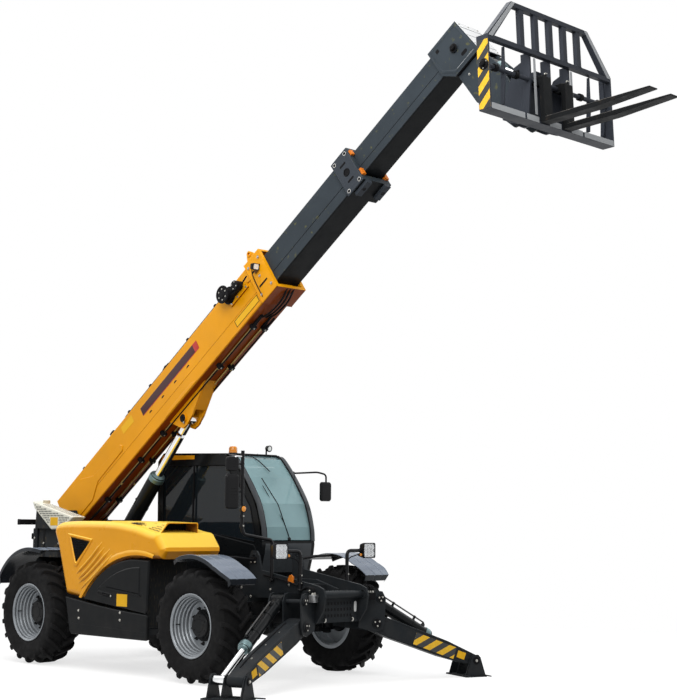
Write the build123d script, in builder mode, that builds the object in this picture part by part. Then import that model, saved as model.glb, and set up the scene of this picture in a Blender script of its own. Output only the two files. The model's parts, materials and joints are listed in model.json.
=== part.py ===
from build123d import *
import os
from math import atan2, cos, degrees, hypot, radians, sin

os.makedirs("parts", exist_ok=True)

# Telehandler: a telescopic-boom rough-terrain lifter with a side cab, front stabilisers and a
# fork carriage.

# ------------------------------------------------------------------ driving dimensions, mm
# X forward, Y left, Z up. The origin is on the ground under the middle of the machine's outline.
# Places along the machine are measured from the wheelbase's middle and moved by origin_ahead.
origin_ahead = 2020
wheelbase = 2980
track = 2000

pin_fit = 0.05  # radial running clearance of a pin in its bore
seat_gap = 0.3  # between pieces that lie against each other
slide_gap = 10  # between a moving piece and its neighbour

# Wheels
tyre_radius = 590
tyre_width = 400
bead_radius = 305
rim_flange_radius = 332
rim_width = 365
rim_flange_thickness = 12
rim_wall = 14
disc_face = -20  # outboard place of the wheel disc, from the wheel's middle plane
disc_thickness = 16
hub_radius = 150
hub_face = 70
hub_back = -150

# Axles and steering knuckles
kingpin_y = 780
kingpin_radius = 25
knuckle_radius = 60
knuckle_half_height = 90
flange_radius = 125
flange_thickness = 20
yoke_half_width = 45
yoke_thickness = 40
trumpet_radius = 75
trumpet_end = 650
yoke_width = 120
yoke_depth = 50
spindle_radius = 40
spindle_length = 80
diff_radius = 185
diff_width = 320
steer_arm_length = 190
steer_arm_inset = 30
steer_arm_z = -50
steer_arm_thickness = 25
steer_arm_radius = 28
steer_rod_radius = 18
steer_cylinder_radius = 42
steer_cylinder_length = 420

# Chassis frame
frame_inner_y = 205
frame_plate = 30
frame_axle_z = 800  # underside over the axles
frame_belly_z = 480
frame_top_z = 1050
frame_rear_x = -2200
frame_front_x = 2240
nose_plate_y = 310
nose_plate = 24
nose_front_x = 2590
nose_face_x = 2450
nose_bottom_z = 630
nose_top_z = 940
nose_web = 16
nose_tube_radius = 38

# Boom, in its own plane: s along the boom, n square to it, from a point under its base section
boom_angle = 35.85
boom_ref_x = -1300
boom_ref_z = 2087
boom_pivot_s = -880
boom_pivot_n = 100
boom_pin_radius = 45
base_rear_s = -1030
base_front_s = 3450
base_width = 370
base_height = 517
base_wall = 10
middle_width = 330
middle_low_n = 63
middle_high_n = base_height - 73
middle_wall = 10
middle_rear_s = 750
inner_width = 286
inner_low_n = 105
inner_high_n = middle_high_n - 38
inner_wall = 10
inner_rear_s = 2200
collar_width = 440
base_collar_s = (3390, 3670)
middle_collar_s = (5030, 5300)
head_rear_s = 6660
head_front_s = 7100
head_width = 346
pad_half_width = 90
pad_length = 130
pad_inset = 40  # from a section's end to its pads
section_reach = (-300, 700)  # n range of the gaps between a section's walls

# Lift cylinder
lift_base_x = -1670
lift_base_z = 1000
lift_pin_s = 1478
lift_pin_n = -124
lift_pin_radius = 35
lift_barrel_radius = 90
lift_barrel_length = 1600
lift_rod_radius = 52
lift_eye_radius = 78
lift_eye_width = 120
lift_stub = 214  # rod end that stays with its eye on the boom, from the pin
lift_stub_gap = 41  # room for the rod to drift past that end as the boom swings

# Boom head, carriage pivot and tilt cylinder
tilt_pivot_s = 7065
tilt_pivot_n = -895
tilt_pin_radius = 32
neck_width = 280
neck_plate = 28
tilt_base_s = 6935
tilt_base_n = 214
tilt_barrel_radius = 62
tilt_rod_radius = 34
tilt_barrel_length = 560
tilt_eye_radius = 44
tilt_eye_width = 70
tilt_eye_pin_radius = 20
tilt_stub = 75  # rod end that stays with its eye on the carriage, from the pin
tilt_stub_gap = 35  # room for the rod to drift past that end as the carriage tilts

# Fork carriage, in its own frame: e forward and h up from the carriage pivot
carriage_angle = 2.77
carriage_face_e = 338
carriage_depth = 137
carriage_bottom_h = -175
carriage_half_width = 952
carriage_side_height = 698
backrest_height = 1093
backrest_half_width = 591
carriage_plate = 14
rail_size = 55
fork_shaft_h = 247
fork_shaft_e = 277
fork_shaft_radius = 22
fork_y = 169
fork_width = 125
fork_length = 1184
fork_top_h = -117
fork_thickness = 48
tilt_eye_e = 67
tilt_eye_h = 347

# Front stabilisers
splay = 20  # the legs point this far ahead of straight out
leg_pivot = (2490, 524, 604)  # front face of the leg at its pivot, left side
leg_length = 1279
leg_drop = 19.5  # below the horizontal, with the foot on the ground
leg_width = 170
leg_root_height = 200
leg_tip_height = 150
leg_pin_radius = 30
brace_plate = 15
stab_top = (42, 257)  # cylinder's upper pin, outward and up from the leg's pivot
stab_pin_radius = 22
stab_barrel_radius = 62
stab_barrel_length = 850
stab_rod_radius = 32
stab_eye_width = 130
foot_length = 450
foot_width = 260
foot_plate = 16

# Engine side
hood_outer_y = 1130
hood_inner_y = 340
hood_wall = 30
hood_inside = (-1030, 820)  # from the rear wall's inner face to the sloped front's top
hood_lip = (925, 1362)  # x and z where the sloped front's inner face meets its lip
hood_hinge = (-315, 1640)  # y and z of the hinge pins along the inner top edge
hood_pin_radius = 8
hood_posts = (-860, -260)
post_width = 40
post_half_depth = 14
post_top = 12  # above the hinge pins
hinge_link_radius = 22

# Cab
cab_inner_y = 300
cab_outer_y = 1120
cab_wall = 50
cab_floor_z = 770
door_hinge = (-306, 1134)  # x and y of the door's hinge pins
door_pin_radius = 8
door_hinge_z = (1150, 2150)
tank_top_z = 690
glass = 8

# Mudguards: radius about the wheel's axis, first and last angle from straight ahead
front_guard = (tyre_radius + 125, 40, 116)
rear_guard = (tyre_radius + 148, 75, 155)
guard_thickness = 10

mid_x = -origin_ahead
hub_z = tyre_radius
half_base = wheelbase / 2


# ------------------------------------------------------------------ planes and small helpers
def side(y=0):
    """Plane along the machine at y: sketch X is forward from mid-wheelbase, sketch Y is up."""
    return Plane(origin=(mid_x, y, 0), x_dir=(1, 0, 0), z_dir=(0, -1, 0))


def level(z):
    """Horizontal plane at z: sketch X is forward from mid-wheelbase, sketch Y is left."""
    return Plane(origin=(mid_x, 0, z), x_dir=(1, 0, 0), z_dir=(0, 0, 1))


def across(x):
    """Plane square to the machine at x: sketch X is left, sketch Y is up."""
    return Plane(origin=(mid_x + x, 0, 0), x_dir=(0, 1, 0), z_dir=(1, 0, 0))


def boom(y=0):
    """Plane of the boom at y: sketch X is s along the boom, sketch Y is n."""
    a = radians(boom_angle)
    return Plane(origin=(mid_x + boom_ref_x, y, boom_ref_z), x_dir=(cos(a), 0, sin(a)), z_dir=(0, -1, 0))


def boom_section(s):
    """Plane square to the boom at s: sketch X is left, sketch Y is n."""
    a = radians(boom_angle)
    origin = boom().from_local_coords((s, 0, 0))
    return Plane(origin=origin, x_dir=(0, 1, 0), z_dir=(cos(a), 0, sin(a)))


def carriage(y=0):
    """Plane of the carriage at y: sketch X is e forward, sketch Y is h up, from its pivot."""
    a = radians(carriage_angle)
    pivot = boom().from_local_coords((tilt_pivot_s, tilt_pivot_n, 0))
    return Plane(origin=(pivot.X, y, pivot.Z), x_dir=(cos(a), 0, sin(a)), z_dir=(0, -1, 0))


def stabiliser(depth=0):
    """Plane of the left stabiliser, depth behind the leg's front face: sketch X outward, Y up."""
    a = radians(splay)
    back = Vector(cos(a), -sin(a), 0) * -depth
    origin = Vector(mid_x + leg_pivot[0], leg_pivot[1], leg_pivot[2]) + back
    return Plane(origin=origin, x_dir=(sin(a), cos(a), 0), z_dir=(cos(a), -sin(a), 0))


def save(part, name):
    part.label = name
    export_step(part, f"parts/{name}.step")


def slab(plane, points, thickness, both=True):
    """Flat plate of a polygon outline, centred on its plane or standing on it."""
    with BuildPart() as plate:
        with BuildSketch(plane):
            with BuildLine():
                Polyline(*points, close=True)
            make_face()
        extrude(amount=thickness / 2 if both else thickness, both=both)
    return plate.part


def rod_between(plane, start, end, radius, begin=0, stop=None):
    """Round bar in a plane, from begin to stop along the line that runs from start to end."""
    a = plane.from_local_coords((start[0], start[1], 0))
    b = plane.from_local_coords((end[0], end[1], 0))
    direction = (b - a).normalized()
    length = (b - a).length if stop is None else stop
    with BuildPart() as bar:
        with BuildSketch(Plane(origin=a + direction * begin, z_dir=direction)):
            Circle(radius)
        extrude(amount=length - begin)
    return bar.part


def link(plane, start, end, radius, thickness):
    """Flat bar with round ends, standing on its plane."""
    middle = ((start[0] + end[0]) / 2, (start[1] + end[1]) / 2)
    with BuildPart() as bar:
        with BuildSketch(plane):
            SlotCenterPoint(middle, end, 2 * radius)
        extrude(amount=thickness)
    return bar.part


def disc(plane, centre, radius, width):
    """Round boss centred on a plane at one of its sketch points."""
    with BuildPart() as boss:
        with BuildSketch(plane):
            with Locations(centre):
                Circle(radius)
        extrude(amount=width / 2, both=True)
    return boss.part


def box_between(low, high):
    """Box between two corners, along the machine from mid-wheelbase."""
    size = [h - l for l, h in zip(low, high)]
    centre = [(h + l) / 2 for l, h in zip(low, high)]
    with BuildPart() as block:
        with Locations((mid_x + centre[0], centre[1], centre[2])):
            Box(*size)
    return block.part


def mirrored(part):
    return mirror(part, about=Plane.XZ)


# ------------------------------------------------------------------ wheels
def wheel_plane(x, hand):
    """Plane through a wheel's axis: sketch X is outboard, sketch Y is the radius."""
    return Plane(origin=(mid_x + x, hand * track / 2, hub_z), x_dir=(0, hand, 0), z_dir=(hand, 0, 0))


half_rim = rim_width / 2
bead_face = half_rim - rim_flange_thickness
tyre_outline = [
    (bead_face - seat_gap, bead_radius + seat_gap),
    (bead_face - seat_gap, rim_flange_radius + 6),
    (tyre_width / 2 - 4, tyre_radius * 0.68),
    (tyre_width / 2, tyre_radius * 0.8),
    (tyre_width / 2 - 10, tyre_radius - 45),
    (tyre_width / 2 - 38, tyre_radius),
]
rim_outline = [
    (-half_rim, bead_radius - rim_wall),
    (-half_rim, rim_flange_radius),
    (-bead_face, rim_flange_radius),
    (-bead_face, bead_radius),
    (bead_face, bead_radius),
    (bead_face, rim_flange_radius),
    (half_rim, rim_flange_radius),
    (half_rim, bead_radius - rim_wall),
    (disc_face, bead_radius - rim_wall),
    (disc_face, hub_radius),
    (hub_face - 15, hub_radius),
    (hub_face, hub_radius - 15),
    (hub_face, 0),
    (hub_back + spindle_length + slide_gap, 0),
    (hub_back + spindle_length + slide_gap, spindle_radius + pin_fit),
    (hub_back, spindle_radius + pin_fit),
    (hub_back, hub_radius),
    (disc_face - disc_thickness, hub_radius),
    (disc_face - disc_thickness, bead_radius - rim_wall),
]
corners = [
    ("front_left", half_base, 1),
    ("front_right", half_base, -1),
    ("rear_left", -half_base, 1),
    ("rear_right", -half_base, -1),
]
for corner, x, hand in corners:
    plane = wheel_plane(x, hand)
    spin = Axis(plane.origin, (0, 1, 0))
    with BuildPart() as tyre:
        with BuildSketch(plane):
            with BuildLine():
                outboard = tyre_outline
                inboard = [(-t, r) for t, r in reversed(tyre_outline)]
                Polyline(*outboard, *inboard, close=True)
            make_face()
        revolve(axis=spin)
    save(tyre.part, f"tyre_{corner}")

    with BuildPart() as rim:
        with BuildSketch(plane):
            with BuildLine():
                Polyline(*rim_outline, close=True)
            make_face()
        revolve(axis=spin)
    save(rim.part, f"rim_{corner}")

    # knuckle: upright barrel on the kingpin, spindle flange behind the hub, steering arm
    arm_way = -1 if x > 0 else 1
    flange_outer = track / 2 + hub_back - slide_gap / 2
    with BuildPart() as knuckle:
        with BuildSketch(level(hub_z)):
            with Locations((x, hand * kingpin_y)):
                Circle(knuckle_radius)
        extrude(amount=knuckle_half_height, both=True)
        with BuildSketch(level(hub_z)):
            with Locations((x, hand * kingpin_y)):
                Circle(kingpin_radius)
        extrude(amount=knuckle_half_height + slide_gap / 2 + yoke_thickness, both=True)
        flange = Plane(origin=(mid_x + x, hand * flange_outer, hub_z), z_dir=(0, -hand, 0))
        with BuildSketch(flange):
            Circle(flange_radius)
        extrude(amount=flange_thickness)
        with BuildSketch(flange):
            Circle(spindle_radius)
        extrude(amount=-spindle_length)
        root = (x, hand * kingpin_y)
        eye = (x + arm_way * steer_arm_length, hand * (kingpin_y - steer_arm_inset))
        add(link(level(hub_z + steer_arm_z), root, eye, steer_arm_radius, steer_arm_thickness))
    save(knuckle.part, f"knuckle_{corner}")

# ------------------------------------------------------------------ axles with yokes and steering cylinder
for name, x, arm_way in (("front", half_base, -1), ("rear", -half_base, 1)):
    centre = (mid_x + x, 0, hub_z)
    arm_z = hub_z + steer_arm_z + steer_arm_thickness / 2
    with BuildPart() as axle:
        with BuildSketch(Plane(origin=centre, z_dir=(0, 1, 0))):
            Circle(trumpet_radius)
        extrude(amount=trumpet_end, both=True)
        with BuildSketch(Plane(origin=centre, z_dir=(0, 1, 0))):
            Circle(diff_radius)
        extrude(amount=diff_width / 2, both=True, taper=18)
        # drive flange towards the middle of the machine
        with BuildSketch(Plane(origin=centre, z_dir=(arm_way, 0, 0))):
            Circle(70)
        extrude(amount=diff_radius + 75)
        for hand in (1, -1):
            yoke_low = knuckle_half_height + slide_gap / 2
            yoke_back = (mid_x + x, hand * (trumpet_end - yoke_depth), hub_z)
            with BuildSketch(Plane(origin=yoke_back, x_dir=(1, 0, 0), z_dir=(0, hand, 0))):
                RectangleRounded(yoke_width, 2 * (yoke_low + yoke_thickness), 20)
            extrude(amount=yoke_depth)
            for low in (yoke_low, -yoke_low - yoke_thickness):
                root = (x, hand * (trumpet_end - yoke_depth / 2))
                add(link(level(hub_z + low), root, (x, hand * kingpin_y), yoke_half_width, yoke_thickness))
            with BuildSketch(level(hub_z)):
                with Locations((x, hand * kingpin_y)):
                    Circle(kingpin_radius + pin_fit)
            extrude(amount=300, both=True, mode=Mode.SUBTRACT)
            # seat under the chassis plates
            with Locations((mid_x + x, hand * (frame_inner_y + frame_plate / 2), (hub_z + frame_axle_z) / 2)):
                Box(180, 90, frame_axle_z - hub_z)
        # steering cylinder across the axle, with its bracket
        arm_x = x + arm_way * steer_arm_length
        with BuildSketch(Plane(origin=(mid_x + arm_x, 0, arm_z), z_dir=(0, 1, 0))):
            Circle(steer_cylinder_radius)
        extrude(amount=steer_cylinder_length / 2, both=True)
        with Locations((mid_x + x + arm_way * steer_arm_length / 2, 0, arm_z)):
            Box(steer_arm_length, steer_cylinder_length * 0.6, 60)
        with BuildSketch(Plane(origin=(mid_x + arm_x, 0, arm_z), z_dir=(0, 1, 0))):
            Circle(steer_rod_radius + pin_fit)
        extrude(amount=track, both=True, mode=Mode.SUBTRACT)
    save(axle.part, f"{name}_axle")

    rod_half = kingpin_y - steer_arm_inset - steer_arm_radius - slide_gap
    with BuildPart() as steer_rod:
        with BuildSketch(Plane(origin=(mid_x + arm_x, 0, arm_z), z_dir=(0, 1, 0))):
            Circle(steer_rod_radius)
        extrude(amount=rod_half, both=True)
        for hand in (1, -1):
            with Locations((mid_x + arm_x, hand * (rod_half - 25), arm_z)):
                Sphere(27)
    save(steer_rod.part, f"{name}_steering_rod")

# ------------------------------------------------------------------ chassis frame
pivot_point = boom().from_local_coords((boom_pivot_s, boom_pivot_n, 0))
pivot_x = pivot_point.X - mid_x
pivot_z = pivot_point.Z
plate_y = frame_inner_y + frame_plate / 2
frame_outline = [
    (frame_rear_x, frame_axle_z),
    (-980, frame_axle_z),
    (-820, frame_belly_z),
    (820, frame_belly_z),
    (980, frame_axle_z),
    (2000, frame_axle_z),
    (2060, nose_bottom_z + 20),
    (frame_front_x, nose_bottom_z + 20),
    (frame_front_x, 960),
    (1900, frame_top_z),
    (-1560, frame_top_z),
    (pivot_x + 210, pivot_z - 90),
    (pivot_x + 110, pivot_z + 130),
    (pivot_x - 60, pivot_z + 130),
    (frame_rear_x, pivot_z - 60),
]
cross_plates = [
    # x from, x to, z from, z to
    (-2180, -1860, 830, 850),
    (-760, 760, frame_belly_z, frame_belly_z + 20),
    (1150, 1950, 830, 850),
    (-1330, -1300, 810, 900),
    (-870, -840, 700, 900),
    (840, 870, 700, 1000),
    (2040, 2070, 830, 1000),
]
cross_half = frame_inner_y - seat_gap
frame_outer_y = frame_inner_y + frame_plate
boss_thickness = 16
frame_pins = [
    # place in the side plane, pin radius, boss radius
    ((pivot_x, pivot_z), boom_pin_radius, 90),
    ((lift_base_x, lift_base_z), lift_pin_radius, 70),
]
with BuildPart() as plates:
    for hand in (1, -1):
        add(slab(side(hand * plate_y), frame_outline, frame_plate))
    for place, pin_radius, _ in frame_pins:
        add(disc(side(), place, pin_radius + pin_fit, 3 * frame_outer_y), mode=Mode.SUBTRACT)
save(plates.part, "chassis_plates")

# pins, cross members and carriers between and beside the plates
carrier_y = frame_outer_y + seat_gap
with BuildPart() as chassis:
    for place, pin_radius, boss_radius in frame_pins:
        add(disc(side(), place, pin_radius, 2 * carrier_y))
        for hand in (1, -1):
            boss_y = carrier_y + seat_gap + boss_thickness / 2
            add(disc(side(hand * boss_y), place, boss_radius, boss_thickness))
    for x0, x1, z0, z1 in cross_plates:
        add(box_between((x0, -cross_half, z0), (x1, cross_half, z1)))
    # posts with the hood's hinge pins
    for x in hood_posts:
        y, z = hood_hinge
        low_x, high_x = x - post_width / 2, x + post_width / 2
        pin_line = ((x - 80, z), (x + 80, z))
        low_y, high_y = y - post_half_depth, y + post_half_depth
        add(box_between((low_x, low_y, 940), (high_x, -carrier_y, 1000)))
        post = box_between((low_x, low_y, 1000 + seat_gap), (high_x, high_y, z + post_top))
        add(post - rod_between(side(y), *pin_line, hood_pin_radius + pin_fit))
        add(rod_between(side(y), *pin_line, hood_pin_radius))
    # engine tray on the right, tank and cab carriers on the left
    for x0 in (-600, 0, 560):
        x1 = x0 + 60
        add(box_between((x0, -hood_outer_y + 60, 440), (x1, -carrier_y, 500)))
        low_z, high_z = tank_top_z + seat_gap, cab_floor_z - seat_gap
        add(box_between((x0, carrier_y, low_z), (x1, cab_outer_y - 120, high_z)))
save(chassis.part, "chassis_frame")

# ------------------------------------------------------------------ front nose with the stabiliser brackets
nose_outline = [
    (1540, 1160),
    (2480, 1010),
    (2560, 980),
    (nose_front_x, 900),
    (2560, 760),
    (nose_face_x + 10, nose_bottom_z),
    (2080, nose_bottom_z),
    (1960, frame_axle_z + 60),
    (1540, frame_axle_z + 60),
]
eye_place = (1496, 1286)
eye_radius = 20
mid_plate_depth = leg_width + 8
rear_plate_depth = mid_plate_depth + brace_plate + 8 + stab_eye_width + 8


def bracket_outline(depth):
    """Outline of a stabiliser's bracket plate, reaching in to the nose's side plate."""
    a = radians(splay)
    reach = (leg_pivot[1] + depth * sin(a) - nose_plate_y) / cos(a)
    return [
        (-reach, -40),
        (-20, -95),
        (70, -70),
        (95, 0),
        (110, 257),
        (70, 330),
        (-10, 340),
        (-reach, 320),
    ]


with BuildPart() as nose:
    for hand in (1, -1):
        add(slab(side(hand * nose_plate_y), nose_outline, nose_plate))
    # front plate, bottom plate, inner plate and front tube, each its own piece between the sides
    inner = nose_plate_y - nose_plate / 2 - seat_gap
    back_x = nose_face_x - nose_web
    floor_z = nose_bottom_z + nose_web
    add(box_between((back_x, -inner, nose_bottom_z), (nose_face_x, inner, nose_top_z)))
    add(box_between((2080, -inner, nose_bottom_z), (back_x - seat_gap, inner, floor_z)))
    add(box_between((2250, -inner, floor_z + seat_gap), (2250 + nose_web, inner, nose_top_z)))
    add(disc(side(), (nose_face_x + nose_tube_radius + seat_gap, 915), nose_tube_radius, 2 * inner))
    # upright ears behind the nose, with lifting eyes
    for hand in (1, -1):
        ear = [(1440, 880), (1640, 880), (1600, 1180), (1570, 1300), (1530, 1350), (1450, 1350), (1420, 1290)]
        add(slab(side(hand * nose_plate_y), ear, nose_plate))
    add(disc(side(), eye_place, eye_radius, 1000), mode=Mode.SUBTRACT)
    # blocks between the nose's sides and the chassis plates
    block_y = nose_plate_y - nose_plate / 2 - seat_gap
    for hand in (1, -1):
        low_y, high_y = sorted((hand * carrier_y, hand * block_y))
        add(box_between((1560, low_y, 880), (1900, high_y, 1000)))
save(nose.part, "front_nose")

# plates and pins that carry the stabilisers, each its own piece
pin_span = rear_plate_depth + brace_plate + 8 + brace_plate + 20
pin_middle = pin_span / 2 - 8 - brace_plate - 10
boss_depth = -8 - brace_plate - 8 - seat_gap
stab_pins = [
    # place in the stabiliser's plane, pin radius, boss radius
    ((0, 0), leg_pin_radius, 52),
    (stab_top, stab_pin_radius, 42),
]
nose_outer_y = nose_plate_y + nose_plate / 2 + seat_gap
with BuildPart() as bracket:
    for depth in (-8 - brace_plate, mid_plate_depth, rear_plate_depth):
        add(slab(stabiliser(depth + brace_plate), bracket_outline(depth), brace_plate, both=False))
    add(box_between((1000, -nose_outer_y, 0), (3000, nose_outer_y, 2000)), mode=Mode.SUBTRACT)
    for place, pin_radius, _ in stab_pins:
        add(disc(stabiliser(pin_middle), place, pin_radius + pin_fit, 2 * pin_span), mode=Mode.SUBTRACT)
    for place, pin_radius, boss_radius in stab_pins:
        add(disc(stabiliser(pin_middle), place, pin_radius, pin_span))
        boss = disc(stabiliser(boss_depth), place, boss_radius, 16)
        add(boss - disc(stabiliser(boss_depth), place, pin_radius + pin_fit, 32))
    add(mirrored(bracket.part))
save(bracket.part, "stabiliser_brackets")

# ------------------------------------------------------------------ stabilisers
foot_pin = (leg_length * cos(radians(leg_drop)), -leg_length * sin(radians(leg_drop)))
eye_depth = mid_plate_depth + brace_plate + 8 + stab_eye_width / 2
root, tip = leg_root_height / 2, leg_tip_height / 2
leg_axis = Vector(cos(radians(leg_drop)), -sin(radians(leg_drop)), 0)
leg_up = Vector(sin(radians(leg_drop)), cos(radians(leg_drop)), 0)


def on_leg(along, up):
    point = leg_axis * along + leg_up * up
    return (point.X, point.Y)


with BuildPart() as leg:
    with BuildSketch(stabiliser(leg_width / 2)):
        with BuildLine():
            Polyline(
                on_leg(0, root * 0.85),
                on_leg(190, root),
                on_leg(leg_length * 0.7, root * 0.92),
                on_leg(leg_length, tip * 0.8),
                on_leg(leg_length, -tip * 0.8),
                on_leg(leg_length * 0.7, -root * 0.92),
                on_leg(190, -root),
                on_leg(0, -root * 0.85),
                close=True,
            )
        make_face()
        Circle(root * 0.85)
        with Locations(foot_pin):
            Circle(tip * 0.8)
        Circle(leg_pin_radius + pin_fit, mode=Mode.SUBTRACT)
        with Locations(foot_pin):
            Circle(leg_pin_radius + pin_fit, mode=Mode.SUBTRACT)
    extrude(amount=leg_width / 2, both=True)

foot_low = -leg_pivot[2]
foot_rear = foot_length - 40
with BuildPart() as foot:
    with BuildSketch(stabiliser(foot_rear)):
        with Locations((foot_pin[0], foot_low + foot_plate / 2)):
            Rectangle(foot_width, foot_plate)
    extrude(amount=foot_length)
    cheek = [
        (foot_pin[0] - foot_width / 2 + 5, foot_low + foot_plate - 1),
        (foot_pin[0] + foot_width / 2 - 5, foot_low + foot_plate - 1),
        (foot_pin[0] + 62, foot_pin[1] + 30),
        (foot_pin[0] + 35, foot_pin[1] + 60),
        (foot_pin[0] - 35, foot_pin[1] + 60),
        (foot_pin[0] - 62, foot_pin[1] + 30),
    ]
    for depth in (-8, rear_plate_depth + brace_plate):
        add(slab(stabiliser(depth), cheek, brace_plate, both=False))
    add(disc(stabiliser(leg_width / 2 - 12), foot_pin, leg_pin_radius, leg_width + 36))
    add(disc(stabiliser(-8 - brace_plate - 6), foot_pin, 45, 12))

stab_length = hypot(foot_pin[0] - stab_top[0], foot_pin[1] - stab_top[1])
with BuildPart() as stab_barrel:
    add(rod_between(stabiliser(eye_depth), stab_top, foot_pin, stab_barrel_radius, 45, stab_barrel_length))
    add(disc(stabiliser(eye_depth), stab_top, stab_barrel_radius, stab_eye_width))
    with BuildSketch(stabiliser(eye_depth)):
        with Locations(stab_top):
            Circle(stab_pin_radius + pin_fit)
    extrude(amount=stab_eye_width, both=True, mode=Mode.SUBTRACT)
    add(
        rod_between(stabiliser(eye_depth), stab_top, foot_pin, stab_rod_radius + pin_fit, 90, stab_length),
        mode=Mode.SUBTRACT,
    )
with BuildPart() as stab_rod:
    rod_range = (stab_length - 900, stab_length - 20)
    add(rod_between(stabiliser(eye_depth), stab_top, foot_pin, stab_rod_radius, *rod_range))
    add(disc(stabiliser(eye_depth), foot_pin, 46, stab_eye_width))

stabiliser_pieces = [("leg", leg), ("foot", foot), ("barrel", stab_barrel), ("rod", stab_rod)]
for name, builder in stabiliser_pieces:
    save(builder.part, f"stabiliser_{name}_left")
    save(mirrored(builder.part), f"stabiliser_{name}_right")

# ------------------------------------------------------------------ boom: base, middle and inner sections


def box_section(plane, width, low, high, wall, length, radius=14):
    """Hollow rectangular boom section, extruded from its plane."""
    with BuildPart() as section:
        with BuildSketch(plane):
            with Locations((0, (low + high) / 2)):
                RectangleRounded(width, high - low, radius)
                RectangleRounded(width - 2 * wall, high - low - 2 * wall, radius - 6, mode=Mode.SUBTRACT)
        extrude(amount=length)
    return section.part


def wall_gaps(s_range, width, wall):
    """Thin gaps that part a section's side walls from its top and bottom."""
    near, far = s_range
    low, high = section_reach
    span = [(near, low), (far, low), (far, high), (near, high)]
    y = width / 2 - wall - seat_gap / 2
    return [slab(boom(hand * y), span, seat_gap) for hand in (1, -1)]


def collar(s_range, width, low, high, hole_width, hole_low, hole_high):
    """Stiffening frame round a section's mouth."""
    with BuildPart() as ring:
        with BuildSketch(boom_section(s_range[0])):
            with Locations((0, (low + high) / 2)):
                RectangleRounded(width, high - low, 12)
            with Locations((0, (hole_low + hole_high) / 2)):
                Rectangle(hole_width, hole_high - hole_low, mode=Mode.SUBTRACT)
        extrude(amount=s_range[1] - s_range[0])
    return ring.part


def wear_pads(s, outer_width, outer_low, outer_high, width, low, high):
    """Four pads that fill the space between one section's inside and the next one's outside."""
    middle_n = (low + high) / 2
    spans = [
        # y from, y to, n from, n to
        (-pad_half_width, pad_half_width, outer_low, low),
        (-pad_half_width, pad_half_width, high, outer_high),
        (width / 2, outer_width / 2, middle_n - pad_half_width, middle_n + pad_half_width),
        (-outer_width / 2, -width / 2, middle_n - pad_half_width, middle_n + pad_half_width),
    ]
    pads = []
    for y0, y1, n0, n1 in spans:
        with BuildPart() as pad:
            with BuildSketch(boom_section(s)):
                with Locations(((y0 + y1) / 2, (n0 + n1) / 2)):
                    Rectangle(y1 - y0, n1 - n0)
            extrude(amount=pad_length)
        pads.append(pad.part)
    return pads


lug_y = lift_eye_width / 2 + 12
lug_plate = 24
lug_outline = [
    (1240, 8),
    (2050, 8),
    (1960, -30),
    (1620, -190),
    (1480, -225),
    (1400, -215),
    (1350, -150),
]
with BuildPart() as boom_base:
    length = base_front_s - base_rear_s
    add(box_section(boom_section(base_rear_s), base_width, 0, base_height, base_wall, length))
    # closed rear end and cheeks round the pivot
    rear_plate = [
        (base_rear_s, 30),
        (base_rear_s + 16, 30),
        (base_rear_s + 16, base_height - 5),
        (base_rear_s, base_height - 5),
    ]
    add(slab(boom(), rear_plate, base_width - 6))
    for hand in (1, -1):
        add(disc(boom(hand * (base_width / 2 - 20)), (boom_pivot_s, boom_pivot_n), 95, 40))
    add(disc(boom(), (boom_pivot_s, boom_pivot_n), boom_pin_radius + 22, base_width - 4))
    add(disc(boom(), (boom_pivot_s, boom_pivot_n), boom_pin_radius + pin_fit, 800), mode=Mode.SUBTRACT)
    add(
        collar(
            base_collar_s,
            collar_width,
            -30,
            base_height + 15,
            base_width - 2 * base_wall,
            base_wall,
            base_height - base_wall,
        )
    )
    for hand in (1, -1):
        add(slab(boom(hand * (lug_y + lug_plate / 2)), lug_outline, lug_plate))
        add(disc(boom(hand * (lug_y + lug_plate + 8)), (lift_pin_s, lift_pin_n), 55, 16))
    lug = [(3440, 525), (3590, 525), (3560, 590), (3530, 630), (3500, 630), (3470, 590)]
    for hand in (1, -1):
        add(slab(boom(hand * 190), lug, 24))
    add(disc(boom(), (3515, 590), eye_radius, 600), mode=Mode.SUBTRACT)
    front_cover = [(1990, 8), (2050, 8), (1690, -160), (1680, -140)]
    add(slab(boom(), front_cover, 2 * lug_y + 2))
    add(disc(boom(), (lift_pin_s, lift_pin_n), lift_pin_radius, 2 * lug_y + 2))
    for gap in wall_gaps((base_rear_s, base_collar_s[1]), base_width, base_wall):
        add(gap, mode=Mode.SUBTRACT)
    pad_s = base_collar_s[1] - pad_inset - pad_length
    inside = (base_width - 2 * base_wall, base_wall, base_height - base_wall)
    outside = (middle_width + 2 * seat_gap, middle_low_n - seat_gap, middle_high_n + seat_gap)
    for pad in wear_pads(pad_s, *inside, *outside):
        add(pad)
save(boom_base.part, "boom_base")

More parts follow.
